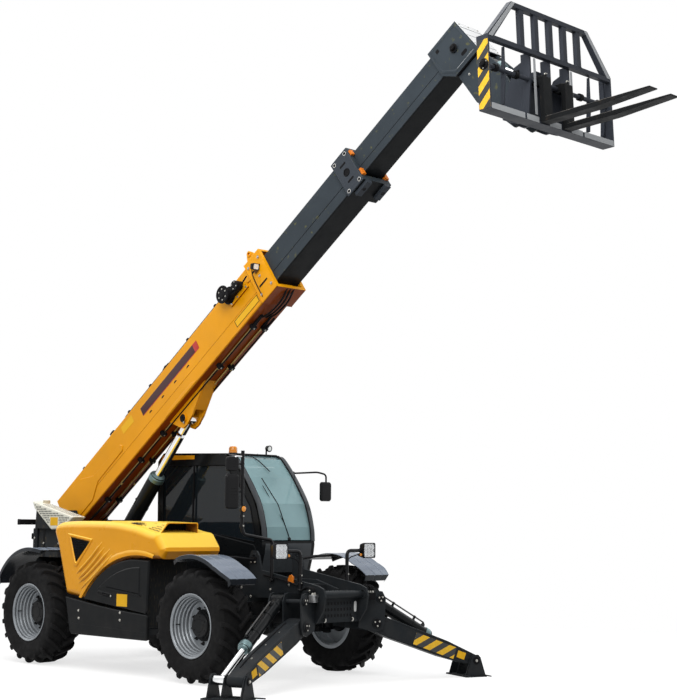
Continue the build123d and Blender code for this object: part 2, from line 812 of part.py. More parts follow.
with BuildPart() as boom_middle:
    length = middle_collar_s[0] + 100 - middle_rear_s
    section = (middle_width, middle_low_n, middle_high_n, middle_wall, length)
    add(box_section(boom_section(middle_rear_s), *section))
    add(
        collar(
            middle_collar_s,
            middle_width + 90,
            middle_low_n - 60,
            middle_high_n + 30,
            middle_width - 2 * middle_wall,
            middle_low_n + middle_wall,
            middle_high_n - middle_wall,
        )
    )
    for gap in wall_gaps((middle_rear_s, middle_collar_s[1]), middle_width, middle_wall):
        add(gap, mode=Mode.SUBTRACT)
    wall = base_wall + seat_gap
    inside = (base_width - 2 * wall, wall, base_height - wall)
    for pad in wear_pads(middle_rear_s + pad_inset, *inside, middle_width, middle_low_n, middle_high_n):
        add(pad)
    pad_s = middle_collar_s[1] - pad_inset - pad_length
    inside = (middle_width - 2 * middle_wall, middle_low_n + middle_wall, middle_high_n - middle_wall)
    outside = (inner_width + 2 * seat_gap, inner_low_n - seat_gap, inner_high_n + seat_gap)
    for pad in wear_pads(pad_s, *inside, *outside):
        add(pad)
save(boom_middle.part, "boom_middle")

neck_outline = [
    (6790, -20),
    (7140, -20),
    (7205, -300),
    (7190, -860),
    (7160, -960),
    (7065, -1005),
    (6975, -960),
    (6930, -800),
    (6800, -420),
]
neck_web = [(6790, -20), (6815, -20), (6825, -415), (6950, -790), (6930, -800), (6800, -420)]
cheek_outline = [
    (head_rear_s, inner_low_n),
    (head_rear_s, inner_high_n + 30),
    (head_front_s, inner_high_n + 30),
    (head_front_s + 50, -30),
    (6780, -30),
]
with BuildPart() as boom_inner:
    length = head_rear_s + 60 - inner_rear_s
    section = (inner_width, inner_low_n, inner_high_n, inner_wall, length)
    add(box_section(boom_section(inner_rear_s), *section))
    for hand in (1, -1):
        add(slab(boom(hand * (head_width / 2 - 18)), cheek_outline, 36))
        add(slab(boom(hand * (neck_width / 2 - neck_plate / 2)), neck_outline, neck_plate))
        add(disc(boom(hand * (head_width / 2 + 6)), (tilt_base_s, tilt_base_n), 48, 14))
    front_plate = [
        (head_front_s - 12, inner_high_n + 30),
        (head_front_s, inner_high_n + 30),
        (head_front_s + 50, -30),
        (head_front_s + 38, -30),
    ]
    top_plate = [
        (head_rear_s, inner_high_n + 18),
        (head_rear_s, inner_high_n + 30),
        (head_front_s, inner_high_n + 30),
        (head_front_s, inner_high_n + 18),
    ]
    add(slab(boom(), front_plate, head_width))
    add(slab(boom(), top_plate, head_width))
    add(slab(boom(), neck_web, neck_width))
    add(disc(boom(), (tilt_base_s, tilt_base_n), 30, head_width))
    add(disc(boom(), (tilt_pivot_s, tilt_pivot_n), tilt_pin_radius + pin_fit, 800), mode=Mode.SUBTRACT)
    # gaps between the section's walls, its head and the neck
    head_gap = [
        (head_rear_s - 5, inner_low_n - 1),
        (head_rear_s - 5, inner_high_n + 1),
        (head_rear_s - 5 + seat_gap, inner_high_n + 1),
        (head_rear_s - 5 + seat_gap, inner_low_n - 1),
    ]
    neck_gap = [(6750, -30 - seat_gap), (7250, -30 - seat_gap), (7250, -30), (6750, -30)]
    for gap in wall_gaps((inner_rear_s, head_rear_s - 5), inner_width, inner_wall):
        add(gap, mode=Mode.SUBTRACT)
    add(slab(boom(), head_gap, inner_width + 2), mode=Mode.SUBTRACT)
    add(slab(boom(), neck_gap, neck_width + 2), mode=Mode.SUBTRACT)
    wall = middle_wall + seat_gap
    inside = (middle_width - 2 * wall, middle_low_n + wall, middle_high_n - wall)
    for pad in wear_pads(inner_rear_s + pad_inset, *inside, inner_width, inner_low_n, inner_high_n):
        add(pad)
save(boom_inner.part, "boom_inner")

# hose reel on the right side of the base section
with BuildPart() as hose_reel:
    reel_y = -(base_width / 2 + 75)
    add(disc(boom(reel_y), (3000, 430), 105, 120))
    add(disc(boom(reel_y + 20), (3190, 400), 60, 110))
    bracket = [(2950, 300), (3300, 300), (3300, 360), (3100, 420), (2950, 360)]
    add(slab(boom(-(base_width / 2 + seat_gap + 10)), bracket, 20))
    add(slab(boom(-(base_width / 2 + 40)), [(2960, 360), (3230, 360), (3230, 400), (2960, 440)], 60))
save(hose_reel.part, "hose_reel")

# ------------------------------------------------------------------ lift cylinder
lift_pin = boom().from_local_coords((lift_pin_s, lift_pin_n, 0))
lift_top = (lift_pin.X - mid_x, lift_pin.Z)
lift_bottom = (lift_base_x, lift_base_z)
lift_length = hypot(lift_top[0] - lift_bottom[0], lift_top[1] - lift_bottom[1])
with BuildPart() as lift_barrel:
    add(rod_between(side(), lift_bottom, lift_top, lift_barrel_radius, 60, lift_barrel_length))
    add(disc(side(), lift_bottom, lift_eye_radius, 160))
    add(disc(side(), lift_bottom, lift_pin_radius + pin_fit, 400), mode=Mode.SUBTRACT)
    bore = rod_between(side(), lift_bottom, lift_top, lift_rod_radius + pin_fit, 150, lift_length)
    add(bore, mode=Mode.SUBTRACT)
save(lift_barrel.part, "lift_cylinder_barrel")

with BuildPart() as lift_rod:
    rod_end = lift_length - lift_stub - lift_stub_gap
    add(rod_between(side(), lift_bottom, lift_top, lift_rod_radius, lift_length - 1750, rod_end))
save(lift_rod.part, "lift_cylinder_rod")

# the rod's end with its eye, which stays on the boom's pin
with BuildPart() as lift_eye:
    add(rod_between(side(), lift_top, lift_bottom, lift_rod_radius, 0, lift_stub))
    add(disc(side(), lift_top, lift_eye_radius - 10, lift_eye_width))
    add(disc(side(), lift_top, lift_pin_radius + pin_fit, 400), mode=Mode.SUBTRACT)
save(lift_eye.part, "lift_rod_eye")

# ------------------------------------------------------------------ tilt cylinder in the boom head
tilt_eye_point = carriage().from_local_coords((tilt_eye_e, tilt_eye_h, 0))
tilt_eye_local = boom().to_local_coords(tilt_eye_point)
tilt_eye = (tilt_eye_local.X, tilt_eye_local.Y)
tilt_base = (tilt_base_s, tilt_base_n)
tilt_length = hypot(tilt_eye[0] - tilt_base[0], tilt_eye[1] - tilt_base[1])
with BuildPart() as tilt_barrel:
    add(rod_between(boom(), tilt_base, tilt_eye, tilt_barrel_radius, 40, tilt_barrel_length))
    add(disc(boom(), tilt_base, 62, 110))
    add(disc(boom(), tilt_base, 30 + pin_fit, 200), mode=Mode.SUBTRACT)
    bore = rod_between(boom(), tilt_base, tilt_eye, tilt_rod_radius + pin_fit, 90, tilt_length)
    add(bore, mode=Mode.SUBTRACT)
save(tilt_barrel.part, "tilt_cylinder_barrel")

with BuildPart() as tilt_rod:
    rod_end = tilt_length - tilt_stub - tilt_stub_gap
    add(rod_between(boom(), tilt_base, tilt_eye, tilt_rod_radius, 330, rod_end))
save(tilt_rod.part, "tilt_cylinder_rod")

# ------------------------------------------------------------------ fork carriage
back_e = carriage_face_e - carriage_depth
side_top_h = carriage_bottom_h + carriage_side_height
backrest_top_h = carriage_bottom_h + backrest_height


def carriage_box(e0, e1, y0, y1, h0, h1):
    """Box in the carriage's frame, between e, y and h limits."""
    return slab(carriage((y0 + y1) / 2), [(e0, h0), (e1, h0), (e1, h1), (e0, h1)], y1 - y0)


coupler_y = 300
tilt_ear_y = 62
tilt_eye_place = (tilt_eye_e, tilt_eye_h)
coupler_plate = 22
lug_inner_y = neck_width / 2 + slide_gap
coupler_face_e = back_e - seat_gap
hook_outline = [
    (-40, -70),
    (120, -140),
    (coupler_face_e, -150),
    (coupler_face_e, 430),
    (120, 400),
    (40, 220),
    (-50, 60),
]
pivot_ear = [
    (-70, -60),
    (90, -150),
    (coupler_face_e, -150),
    (coupler_face_e, 250),
    (90, 200),
    (-60, 70),
]
tilt_ear = [
    (tilt_eye_e - 30, tilt_eye_h - 55),
    (coupler_face_e - 8, 200),
    (coupler_face_e - 8, 400),
    (tilt_eye_e - 30, tilt_eye_h + 55),
]
with BuildPart() as coupler:
    for hand in (1, -1):
        add(slab(carriage(hand * coupler_y), hook_outline, coupler_plate))
        add(slab(carriage(hand * (lug_inner_y + 15)), pivot_ear, 30))
        add(slab(carriage(hand * tilt_ear_y), tilt_ear, 24))
    half = coupler_y + coupler_plate / 2
    add(carriage_box(coupler_face_e - 18, coupler_face_e, -half, half, -150, 300))
    add(carriage_box(coupler_face_e - 18, coupler_face_e, -90, 90, 290, 400))
    add(disc(carriage(), (0, 0), tilt_pin_radius, 2 * (half + 20)))
    add(disc(carriage(), tilt_eye_place, tilt_eye_pin_radius, 2 * tilt_ear_y + 2))
save(coupler.part, "carriage_coupler")

# the tilt rod's end with its eye, which stays on the carriage's pin
with BuildPart() as tilt_end:
    add(rod_between(boom(), tilt_eye, tilt_base, tilt_rod_radius, 0, tilt_stub))
    add(disc(boom(), tilt_eye, tilt_eye_radius, tilt_eye_width))
    add(disc(boom(), tilt_eye, tilt_eye_pin_radius + pin_fit, 400), mode=Mode.SUBTRACT)
save(tilt_end.part, "tilt_rod_eye")


def carriage_front(e):
    """Plane square to the forks at e: sketch X is left, sketch Y is h."""
    flat = carriage()
    return Plane(origin=flat.from_local_coords((e, 0, 0)), x_dir=(0, 1, 0), z_dir=flat.x_dir)


upright_y = [-440, -220, 0, 220, 440]
web_outline = [
    (back_e, carriage_bottom_h + 5),
    (back_e + 60, carriage_bottom_h + 5),
    (carriage_face_e - 35, fork_shaft_h),
    (carriage_face_e - 35, side_top_h - 20),
    (back_e, side_top_h - 20),
]
with BuildPart() as fork_frame:
    for hand in (1, -1):
        plate = [
            (back_e, carriage_bottom_h),
            (carriage_face_e, carriage_bottom_h + 20),
            (carriage_face_e, side_top_h - 40),
            (carriage_face_e - 40, side_top_h),
            (back_e, side_top_h),
        ]
        add(slab(carriage(hand * (carriage_half_width - carriage_plate / 2)), plate, carriage_plate))
        slope = [
            (hand * carriage_half_width, side_top_h - 30),
            (hand * carriage_half_width, side_top_h),
            (hand * backrest_half_width, backrest_top_h),
            (hand * (backrest_half_width - 60), backrest_top_h),
            (hand * (carriage_half_width - 70), side_top_h - 30),
        ]
        add(slab(carriage_front(carriage_face_e - rail_size), slope, rail_size, both=False))
    half = carriage_half_width
    rail_e = carriage_face_e - rail_size
    add(carriage_box(rail_e, carriage_face_e, -half, half, side_top_h - 45, side_top_h))
    rest = backrest_half_width
    add(carriage_box(rail_e, carriage_face_e, -rest, rest, backrest_top_h - 45, backrest_top_h))
    for y in upright_y:
        heights = (side_top_h - 20, backrest_top_h - 20)
        add(carriage_box(carriage_face_e - 50, carriage_face_e - 4, y - 30, y + 30, *heights))
    # lower rail and the plates that tie it to the shaft and middle rail
    add(carriage_box(back_e, carriage_face_e, -half, half, carriage_bottom_h, carriage_bottom_h + 18))
    add(carriage_box(back_e, back_e + 20, -half, half, carriage_bottom_h, carriage_bottom_h + 110))
    for y in (-300, 0, 300):
        add(slab(carriage(y), web_outline, 22))
    add(disc(carriage(), (fork_shaft_e, fork_shaft_h), fork_shaft_radius, 2 * (half + 20)))
save(fork_frame.part, "fork_frame")

shank_e = carriage_face_e + 4
with BuildPart() as forks:
    for hand in (1, -1):
        outline = [
            (shank_e, fork_shaft_h + 30),
            (shank_e, fork_top_h - fork_thickness),
            (shank_e + fork_length * 0.5, fork_top_h - fork_thickness),
            (shank_e + fork_length, fork_top_h - 12),
            (shank_e + fork_length, fork_top_h),
            (shank_e + fork_thickness, fork_top_h),
            (shank_e + fork_thickness, fork_shaft_h + 30),
        ]
        add(slab(carriage(hand * fork_y), outline, fork_width))
        half = (fork_width - 30) / 2
        y = hand * fork_y
        heights = (fork_shaft_h - 45, fork_shaft_h + 45)
        add(carriage_box(fork_shaft_e, shank_e + 10, y - half, y + half, *heights))
        add(disc(carriage(hand * fork_y), (fork_shaft_e, fork_shaft_h), 45, fork_width - 30))
    add(disc(carriage(), (fork_shaft_e, fork_shaft_h), fork_shaft_radius + pin_fit, 2000), mode=Mode.SUBTRACT)
save(forks.part, "forks")

# ------------------------------------------------------------------ engine side: hood, skirt, engine
hood_top = [
    (-1100, 1600),
    (-900, 1655),
    (-200, 1655),
    (400, 1610),
    (730, 1528),
    (835, 1520),
    (950, 1380),
    (955, 1335),
]
hood_low = [
    (905, 1335),
    (890, 1250),
    (405, 1250),
]
arch_start = (-490, 786)
arch_middle = (-150, 1090)
with BuildPart() as hood:
    with BuildSketch(side(-hood_outer_y)):
        with BuildLine():
            Polyline((-840, 820), (-1060, 1430), *hood_top, *hood_low)
            ThreePointArc(hood_low[-1], arch_middle, arch_start)
            Line(arch_start, (-840, 820))
        make_face()
    extrude(amount=-(hood_outer_y - hood_inner_y))
    # open towards the boom and below
    rear_x, front_x = hood_inside
    inner_top = [(min(max(x, rear_x), front_x), z - hood_wall) for x, z in hood_top[:-2]]
    inner_front = [hood_lip, (hood_lip[0], 700)]
    inside = slab(
        side(-hood_outer_y + hood_wall),
        [(rear_x, 700), (rear_x, 1430), *inner_top, *inner_front],
        -hood_outer_y,
        both=False,
    )
    add(inside, mode=Mode.SUBTRACT)
    y, z = hood_hinge
    for x in hood_posts:
        for start in (x - post_width / 2 - 55, x + post_width / 2 + 10):
            add(link(across(start), (-hood_inner_y - 12, z), (y, z), hinge_link_radius, 45))
        add(rod_between(side(y), (x - 100, z), (x + 100, z), hood_pin_radius + pin_fit), mode=Mode.SUBTRACT)
save(hood.part, "engine_hood")

with BuildPart() as side_panel:
    with BuildSketch(side(-hood_outer_y)):
        with BuildLine():
            ThreePointArc(hood_low[-1], arch_middle, arch_start)
            Polyline(arch_start, (675, 668), (700, hood_low[-1][1]), hood_low[-1])
        make_face()
    extrude(amount=-hood_wall)
save(side_panel.part, "hood_side_panel")

with BuildPart() as skirt:
    with BuildSketch(side(-hood_outer_y)):
        with BuildLine():
            Polyline((-838, 804), (675, 657), (700, 391), (-718, 382), close=True)
        make_face()
    extrude(amount=-35)
    add(box_between((-640, -hood_outer_y + 30, 405), (640, -hood_outer_y + 60, 520)))
save(skirt.part, "engine_skirt")

with BuildPart() as engine:
    add(box_between((-690, -950, 500 + seat_gap), (450, -hood_inner_y - 50, 1290)))
save(engine.part, "engine_block")

# ------------------------------------------------------------------ rear: counterweight, exhaust, light bar
tow_plate = 30
tow_bore_radius = 16.5
with BuildPart() as counterweight:
    add(box_between((-2330, -620, 700), (frame_rear_x - seat_gap, 620, 1560)))
    chamfer(counterweight.edges().filter_by(Axis.Z).group_by(Axis.X)[0], 40)
    add(box_between((-2400, -frame_inner_y, 1380), (-2100, frame_inner_y, 1600)), mode=Mode.SUBTRACT)
    # towing clevis
    for z in (760, 860):
        add(box_between((-2430, -60, z), (-2320, 60, z + tow_plate)))
    add(disc(level(860), (-2390, 0), tow_bore_radius, 400), mode=Mode.SUBTRACT)
save(counterweight.part, "counterweight")

exhaust_guard = [
    (-2190, 1555),
    (-2225, 1905),
    (-1320, 1700),
    (-1560, 1560),
    (-1640, 1400),
    (-2190, 1400),
]
with BuildPart() as exhaust:
    add(box_between((-2190, -600, 1210), (-1640, -frame_inner_y - frame_plate - seat_gap, 1560)))
    add(slab(side(-600), exhaust_guard, 200))
    add(disc(level(1400), (-2107, -560), 45, 900))
save(exhaust.part, "exhaust")

with BuildPart() as light_bar:
    for hand in (1, -1):
        low_y, high_y = sorted((hand * 260, hand * 850))
        add(box_between((-2300, low_y, 1600), (-2240, high_y, 1670)))
        low_y, high_y = sorted((hand * 320, hand * 380))
        add(box_between((-2300, low_y, 1560 + seat_gap), (-2240, high_y, 1610)))
save(light_bar.part, "rear_light_bar")

# ------------------------------------------------------------------ mudguards
rail_y = carrier_y
post_y = rail_y + 145
guards = [("front", half_base, front_guard), ("rear", -half_base, rear_guard)]
for name, x, (radius, first, last) in guards:
    top_z = hub_z + radius
    if name == "front":
        # bracket boxes: y from, y to, z from, z to
        brackets = [(nose_outer_y, 830, top_z - 40, top_z)]
    else:
        brackets = [
            (post_y - 30, 830, top_z - 40, top_z),
            (post_y - 30, post_y, 970, top_z),
            (rail_y, post_y, 970, 1010),
        ]
    with BuildPart() as guard:
        for hand in (1, -1):
            with BuildSketch(side(hand * track / 2)):
                with BuildLine():
                    outer = CenterArc((x, hub_z), radius + guard_thickness, first, last - first)
                    inner = CenterArc((x, hub_z), radius, first, last - first)
                    Line(outer @ 0, inner @ 0)
                    Line(outer @ 1, inner @ 1)
                make_face()
            extrude(amount=tyre_width / 2, both=True)
            for y0, y1, z0, z1 in brackets:
                low_y, high_y = sorted((hand * y0, hand * y1))
                add(box_between((x - 30, low_y, z0), (x + 30, high_y, z1)))
    save(guard.part, f"{name}_mudguards")

# ------------------------------------------------------------------ left side: tank with steps
with BuildPart() as tank:
    add(box_between((-640, frame_outer_y + 40, 400), (560, cab_outer_y - 60, tank_top_z)))
save(tank.part, "left_tank")

# ------------------------------------------------------------------ cab
roof_rear, roof_front = (-900, 2470), (300, 2440)
cab_outline = [
    (-620, cab_floor_z),
    (-980, 1270),
    (-1000, 2380),
    roof_rear,
    roof_front,
    (400, 2400),
    (600, 2180),
    (820, 1870),
    (910, 1600),
    (930, 1400),
    (915, 1300),
    (850, 1080),
    (700, cab_floor_z),
]
floor_top_z = cab_floor_z + cab_wall
cab_inner = [
    (-600, floor_top_z),
    (-930, 1285),
    (-950, 2350),
    (-880, 2400),
    (290, 2370),
    (360, 2340),
    (555, 2140),
    (770, 1850),
    (858, 1590),
    (878, 1400),
    (862, 1310),
    (800, 1095),
    (670, floor_top_z),
]
right_window = [
    (-880, 1640),
    (-890, 2330),
    (270, 2310),
    (500, 2100),
    (720, 1830),
    (790, 1560),
    (800, 1430),
]
door_hole = [
    (-280, 900),
    (-290, 2330),
    (270, 2310),
    (500, 2100),
    (720, 1830),
    (800, 1560),
    (820, 1400),
    (740, 1095),
    (640, 900),
]
rear_window_left = [(-880, 1500), (-890, 2330), (-360, 2330), (-350, 1300), (-880, 1300)]
with BuildPart() as cab_frame:
    middle = (cab_inner_y + cab_outer_y) / 2
    add(slab(side(middle), cab_outline, cab_outer_y - cab_inner_y))
    add(slab(side(middle), cab_inner, cab_outer_y - cab_inner_y - 2 * cab_wall), mode=Mode.SUBTRACT)
    add(slab(side(cab_inner_y + cab_wall / 2), right_window, cab_wall + 4), mode=Mode.SUBTRACT)
    add(slab(side(cab_outer_y - cab_wall / 2), door_hole, cab_wall + 4), mode=Mode.SUBTRACT)
    add(slab(side(cab_outer_y - cab_wall / 2), rear_window_left, cab_wall + 4), mode=Mode.SUBTRACT)
    # windscreen, with the roof's front window, and the rear window
    screen_hole = [(300, 2480), (300, 2330), (700, 1440), (1000, 1440), (1000, 2480)]
    screen_width = cab_outer_y - cab_inner_y - 2 * cab_wall - 20
    add(slab(side(middle), screen_hole, screen_width), mode=Mode.SUBTRACT)
    add(box_between((-1100, cab_inner_y + 70, 1500), (-900, cab_outer_y - 70, 2330)), mode=Mode.SUBTRACT)
    # door hinge pins on the pillar
    x, y = door_hinge
    for z in door_hinge_z:
        add(box_between((x - 30, cab_outer_y - 10, z - 60), (x + 8, y + 8, z - 40)))
        add(disc(level(z - 10), (x, y), door_pin_radius, 80))
save(cab_frame.part, "cab_frame")


def pane(y, points, inset=0.3):
    """Glass pane in a side wall, a little smaller than its opening."""
    with BuildPart() as sheet:
        with BuildSketch(side(y)):
            with BuildLine():
                Polyline(*points, close=True)
            make_face()
            offset(amount=-inset, kind=Kind.INTERSECTION, mode=Mode.REPLACE)
        extrude(amount=glass / 2, both=True)
    return sheet.part


screen_outer = [(310, 2430), (400, 2395), (600, 2176), (816, 1868), (905, 1600), (922, 1452)]
screen_inner = [(x - 9, z - 5) for x, z in reversed(screen_outer)]
with BuildPart() as cab_glass:
    add(pane(cab_inner_y + 20, right_window))
    add(pane(cab_outer_y - 20, rear_window_left))
    rear_low = (-980, cab_inner_y + 70 + seat_gap, 1500 + seat_gap)
    rear_high = (-972, cab_outer_y - 70 - seat_gap, 2330 - seat_gap)
    add(box_between(rear_low, rear_high))
    add(slab(side(middle), screen_outer + screen_inner, screen_width - 2 * seat_gap))
save(cab_glass.part, "cab_glass")

with BuildPart() as door:
    with BuildSketch(side(cab_outer_y - 22)):
        with BuildLine():
            Polyline(*door_hole, close=True)
        make_face()
        offset(amount=-6, kind=Kind.INTERSECTION, mode=Mode.REPLACE)
        offset(amount=-60, kind=Kind.INTERSECTION, mode=Mode.SUBTRACT)
    extrude(amount=20, both=True)
    x, y = door_hinge
    for z in door_hinge_z:
        add(disc(level(z), (x, y), door_pin_radius + 4, 60))
        add(box_between((x, cab_outer_y + 6, z - 30), (x + 70, y + 6, z + 30)))
        add(box_between((x + 40, cab_outer_y - 10, z - 30), (x + 70, y + 6, z + 30)))
        add(disc(level(z), (x, y), door_pin_radius + pin_fit, 200), mode=Mode.SUBTRACT)
save(door.part, "cab_door")

with BuildPart() as door_glass:
    add(pane(cab_outer_y - 20, door_hole, 66.5))
save(door_glass.part, "cab_door_glass")

with BuildPart() as seat:
    add(box_between((-560, 510, floor_top_z + seat_gap), (-160, 910, 1080)))
    add(box_between((-620, 480, 1080), (-120, 940, 1230)))
    add(slab(side(710), [(-640, 1200), (-500, 1200), (-600, 1900), (-740, 1900)], 440))
save(seat.part, "operator_seat")

console_foot_z = floor_top_z + seat_gap
console_outline = [
    (420, console_foot_z),
    (560, console_foot_z),
    (700, 1100),
    (740, 1380),
    (600, 1420),
    (480, 1380),
]
with BuildPart() as dash:
    add(slab(side(710), console_outline, 520))
    add(rod_between(side(710), (520, 1380), (330, 1560), 20))
    wheel_axis = Plane(origin=side(710).from_local_coords((330, 1560, 0)), z_dir=(-0.726, 0, 0.688))
    with BuildSketch(wheel_axis):
        Circle(185)
        Circle(160, mode=Mode.SUBTRACT)
        Rectangle(350, 30)
    extrude(amount=20)
save(dash.part, "steering_console")

# ------------------------------------------------------------------ lamps, beacon and mirrors
lamp_x, lamp_y, lamp_z = 2238, 644, 1359
beacon_x, beacon_y = 170, 500
post_radius = 20


def roof_z(x):
    """Height of the cab roof's top over x."""
    (x0, z0), (x1, z1) = roof_rear, roof_front
    return z0 + (z1 - z0) * (x - x0) / (x1 - x0)


with BuildPart() as headlights:
    for hand in (1, -1):
        low = (lamp_x - 60, hand * lamp_y - 90, lamp_z - 82)
        add(box_between(low, (lamp_x + 45, hand * lamp_y + 90, lamp_z + 82)))
        post_y = hand * (nose_outer_y + post_radius)
        add(rod_between(across(lamp_x), (post_y, 955), (post_y, lamp_z + 20), post_radius))
        arm_end = (hand * (lamp_y - 60), lamp_z)
        add(rod_between(across(lamp_x), (post_y, lamp_z), arm_end, post_radius - 2))
save(headlights.part, "headlights")

with BuildPart() as beacon:
    with BuildSketch(level(roof_z(beacon_x) + 2)):
        with Locations((beacon_x, beacon_y)):
            Circle(62)
    extrude(amount=100)
save(beacon.part, "beacon")

with BuildPart() as mirrors:
    foot_y = nose_outer_y + post_radius
    add(rod_between(across(1800), (-foot_y, 1040), (-foot_y, 1470), post_radius))
    add(rod_between(across(1800), (-foot_y, 1460), (-790, 1530), post_radius + 6))
    add(rod_between(across(1800), (-770, 1520), (-770, 2400), post_radius))
    add(box_between((1775, -980, 1780), (1815, -820, 2310)))
    add(rod_between(across(1800), (-770, 2220), (-850, 2220), 12))
    add(rod_between(across(1800), (-770, 1860), (-850, 1860), 12))
    # left mirror on its arm from the front pillar
    add(box_between((960, 1160, 1900), (1000, 1330, 2130)))
    arm_y = cab_outer_y + seat_gap + 11
    add(rod_between(side(arm_y), (640, 2100), (985, 2200), 11))
    add(rod_between(across(985), (arm_y, 2200), (1245, 2120), 11))
    add(disc(side(arm_y), (640, 2100), 11, 22))
save(mirrors.part, "mirrors")
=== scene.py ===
import json
from math import atan2, cos, hypot, pi, radians, sin, tan

import bmesh
import bpy
from mathutils import Matrix, Vector


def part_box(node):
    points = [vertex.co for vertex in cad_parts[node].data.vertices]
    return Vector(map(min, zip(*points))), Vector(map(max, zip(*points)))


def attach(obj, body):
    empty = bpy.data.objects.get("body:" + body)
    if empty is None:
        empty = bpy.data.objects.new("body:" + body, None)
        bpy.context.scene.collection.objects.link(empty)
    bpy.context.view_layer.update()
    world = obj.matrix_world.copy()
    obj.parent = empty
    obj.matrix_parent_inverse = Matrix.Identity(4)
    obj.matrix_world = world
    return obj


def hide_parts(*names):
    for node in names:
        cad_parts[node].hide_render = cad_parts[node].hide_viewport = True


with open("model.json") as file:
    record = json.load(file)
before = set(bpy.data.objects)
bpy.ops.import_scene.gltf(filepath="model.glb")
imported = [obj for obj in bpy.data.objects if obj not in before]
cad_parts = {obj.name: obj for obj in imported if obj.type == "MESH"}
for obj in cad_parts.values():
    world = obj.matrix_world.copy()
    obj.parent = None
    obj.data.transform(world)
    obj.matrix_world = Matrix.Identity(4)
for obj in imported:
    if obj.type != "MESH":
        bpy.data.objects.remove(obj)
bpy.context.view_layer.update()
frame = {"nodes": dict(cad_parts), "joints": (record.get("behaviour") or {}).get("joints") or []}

bl_info = {
    "name": "Telehandler",
    "version": (1, 0, 0),
    "blender": (4, 5, 0),
    "location": "View3D > Sidebar > Telehandler",
    "description": "Dresses the packed telehandler with its tyres, covers, cab, boom fittings and paint",
    "category": "Object",
}

# ------------------------------------------------------------------ places, in metres, from the frame
JOINT = {joint["name"]: joint for joint in frame["joints"]}
CORNERS = ("front_left", "front_right", "rear_left", "rear_right")


def joint_point(name):
    return Vector(JOINT[name]["pos_m"])


FRONT_HUB = joint_point("spin_front_left")
REAR_HUB = joint_point("spin_rear_left")
MID_X = (FRONT_HUB.x + REAR_HUB.x) / 2
HUB_Z = FRONT_HUB.z
HALF_BASE = (FRONT_HUB.x - REAR_HUB.x) / 2
ALONG = Vector(JOINT["boom_extend"]["axis"])
BOOM_UP = Vector((-ALONG.z, 0, ALONG.x))
BOOM_PIVOT = joint_point("boom_lift")
TILT_PIVOT = joint_point("carriage_tilt")
CARRIAGE_ANGLE = radians(2.77)
UP = Vector((0, 0, 1))
# pieces in the arc of a bent tube
ARC_STEPS = 6
# where the boom's own measures start, seen from its pivot
BOOM_START = (0.88, -0.1)
# sides of the boom's three sections and of their collars, from the middle
BASE_SIDE = 0.185
BASE_COLLAR = 0.2195
MIDDLE_SIDE = 0.165
MIDDLE_COLLAR = 0.2155
INNER_SIDE = 0.143
HEAD_SIDE = 0.173
NECK_SIDE = 0.1395
LIFT_PIN = (1.478, -0.124)
# stabiliser legs, from mid-wheelbase and the middle
LEG_SPLAY = radians(20)
LEG_DROP = radians(19.5)
LEG_LENGTH = 1.279
LEG_PIVOT = (2.49, 0.524, 0.604)
# engine cover, nose and carriage
COVER_SIDE = -1.128
NOSE_FACE = 2.4505
NOSE_SIDE = 0.3222
POST_Y = 0.3423
BACKREST_TOP = 0.918
# studio: half the floor's side, the point the lights look at, and the reference camera
FLOOR_REACH = 60.0
LIGHT_AIM = (0.4, 0.0, 1.4)
CAMERA_PLACE = (13.436, -10.934, 1.66)
CAMERA_YAW = radians(135.187)
CAMERA_PITCH = radians(6.659)
CAMERA_ROLL = radians(0.421)
SENSOR_WIDTH = 36.0


def at(x, y, z):
    """Point x ahead of mid-wheelbase, y to the left, z up."""
    return Vector((MID_X + x, y, z))


def on_side(x, z, y):
    """The same point, with the side plane's two directions first."""
    return at(x, y, z)


def on_boom(s, n, y=0.0):
    """Point s along the boom and n square to it, y to the left."""
    return BOOM_PIVOT + ALONG * (s + BOOM_START[0]) + BOOM_UP * (n + BOOM_START[1]) + Vector((0, y, 0))


def on_carriage(e, h, y=0.0):
    """Point e ahead of the carriage pivot and h above it in the carriage's own tilt."""
    ahead = Vector((cos(CARRIAGE_ANGLE), 0, sin(CARRIAGE_ANGLE)))
    up = Vector((-sin(CARRIAGE_ANGLE), 0, cos(CARRIAGE_ANGLE)))
    return TILT_PIVOT + ahead * e + up * h + Vector((0, y, 0))


def on_leg(w, z, depth, hand):
    """Point w outward and z up from a stabiliser's pivot, depth behind the leg's front face."""
    x = LEG_PIVOT[0] - cos(LEG_SPLAY) * depth + sin(LEG_SPLAY) * w
    y = LEG_PIVOT[1] + sin(LEG_SPLAY) * depth + cos(LEG_SPLAY) * w
    return at(x, hand * y, LEG_PIVOT[2] + z)


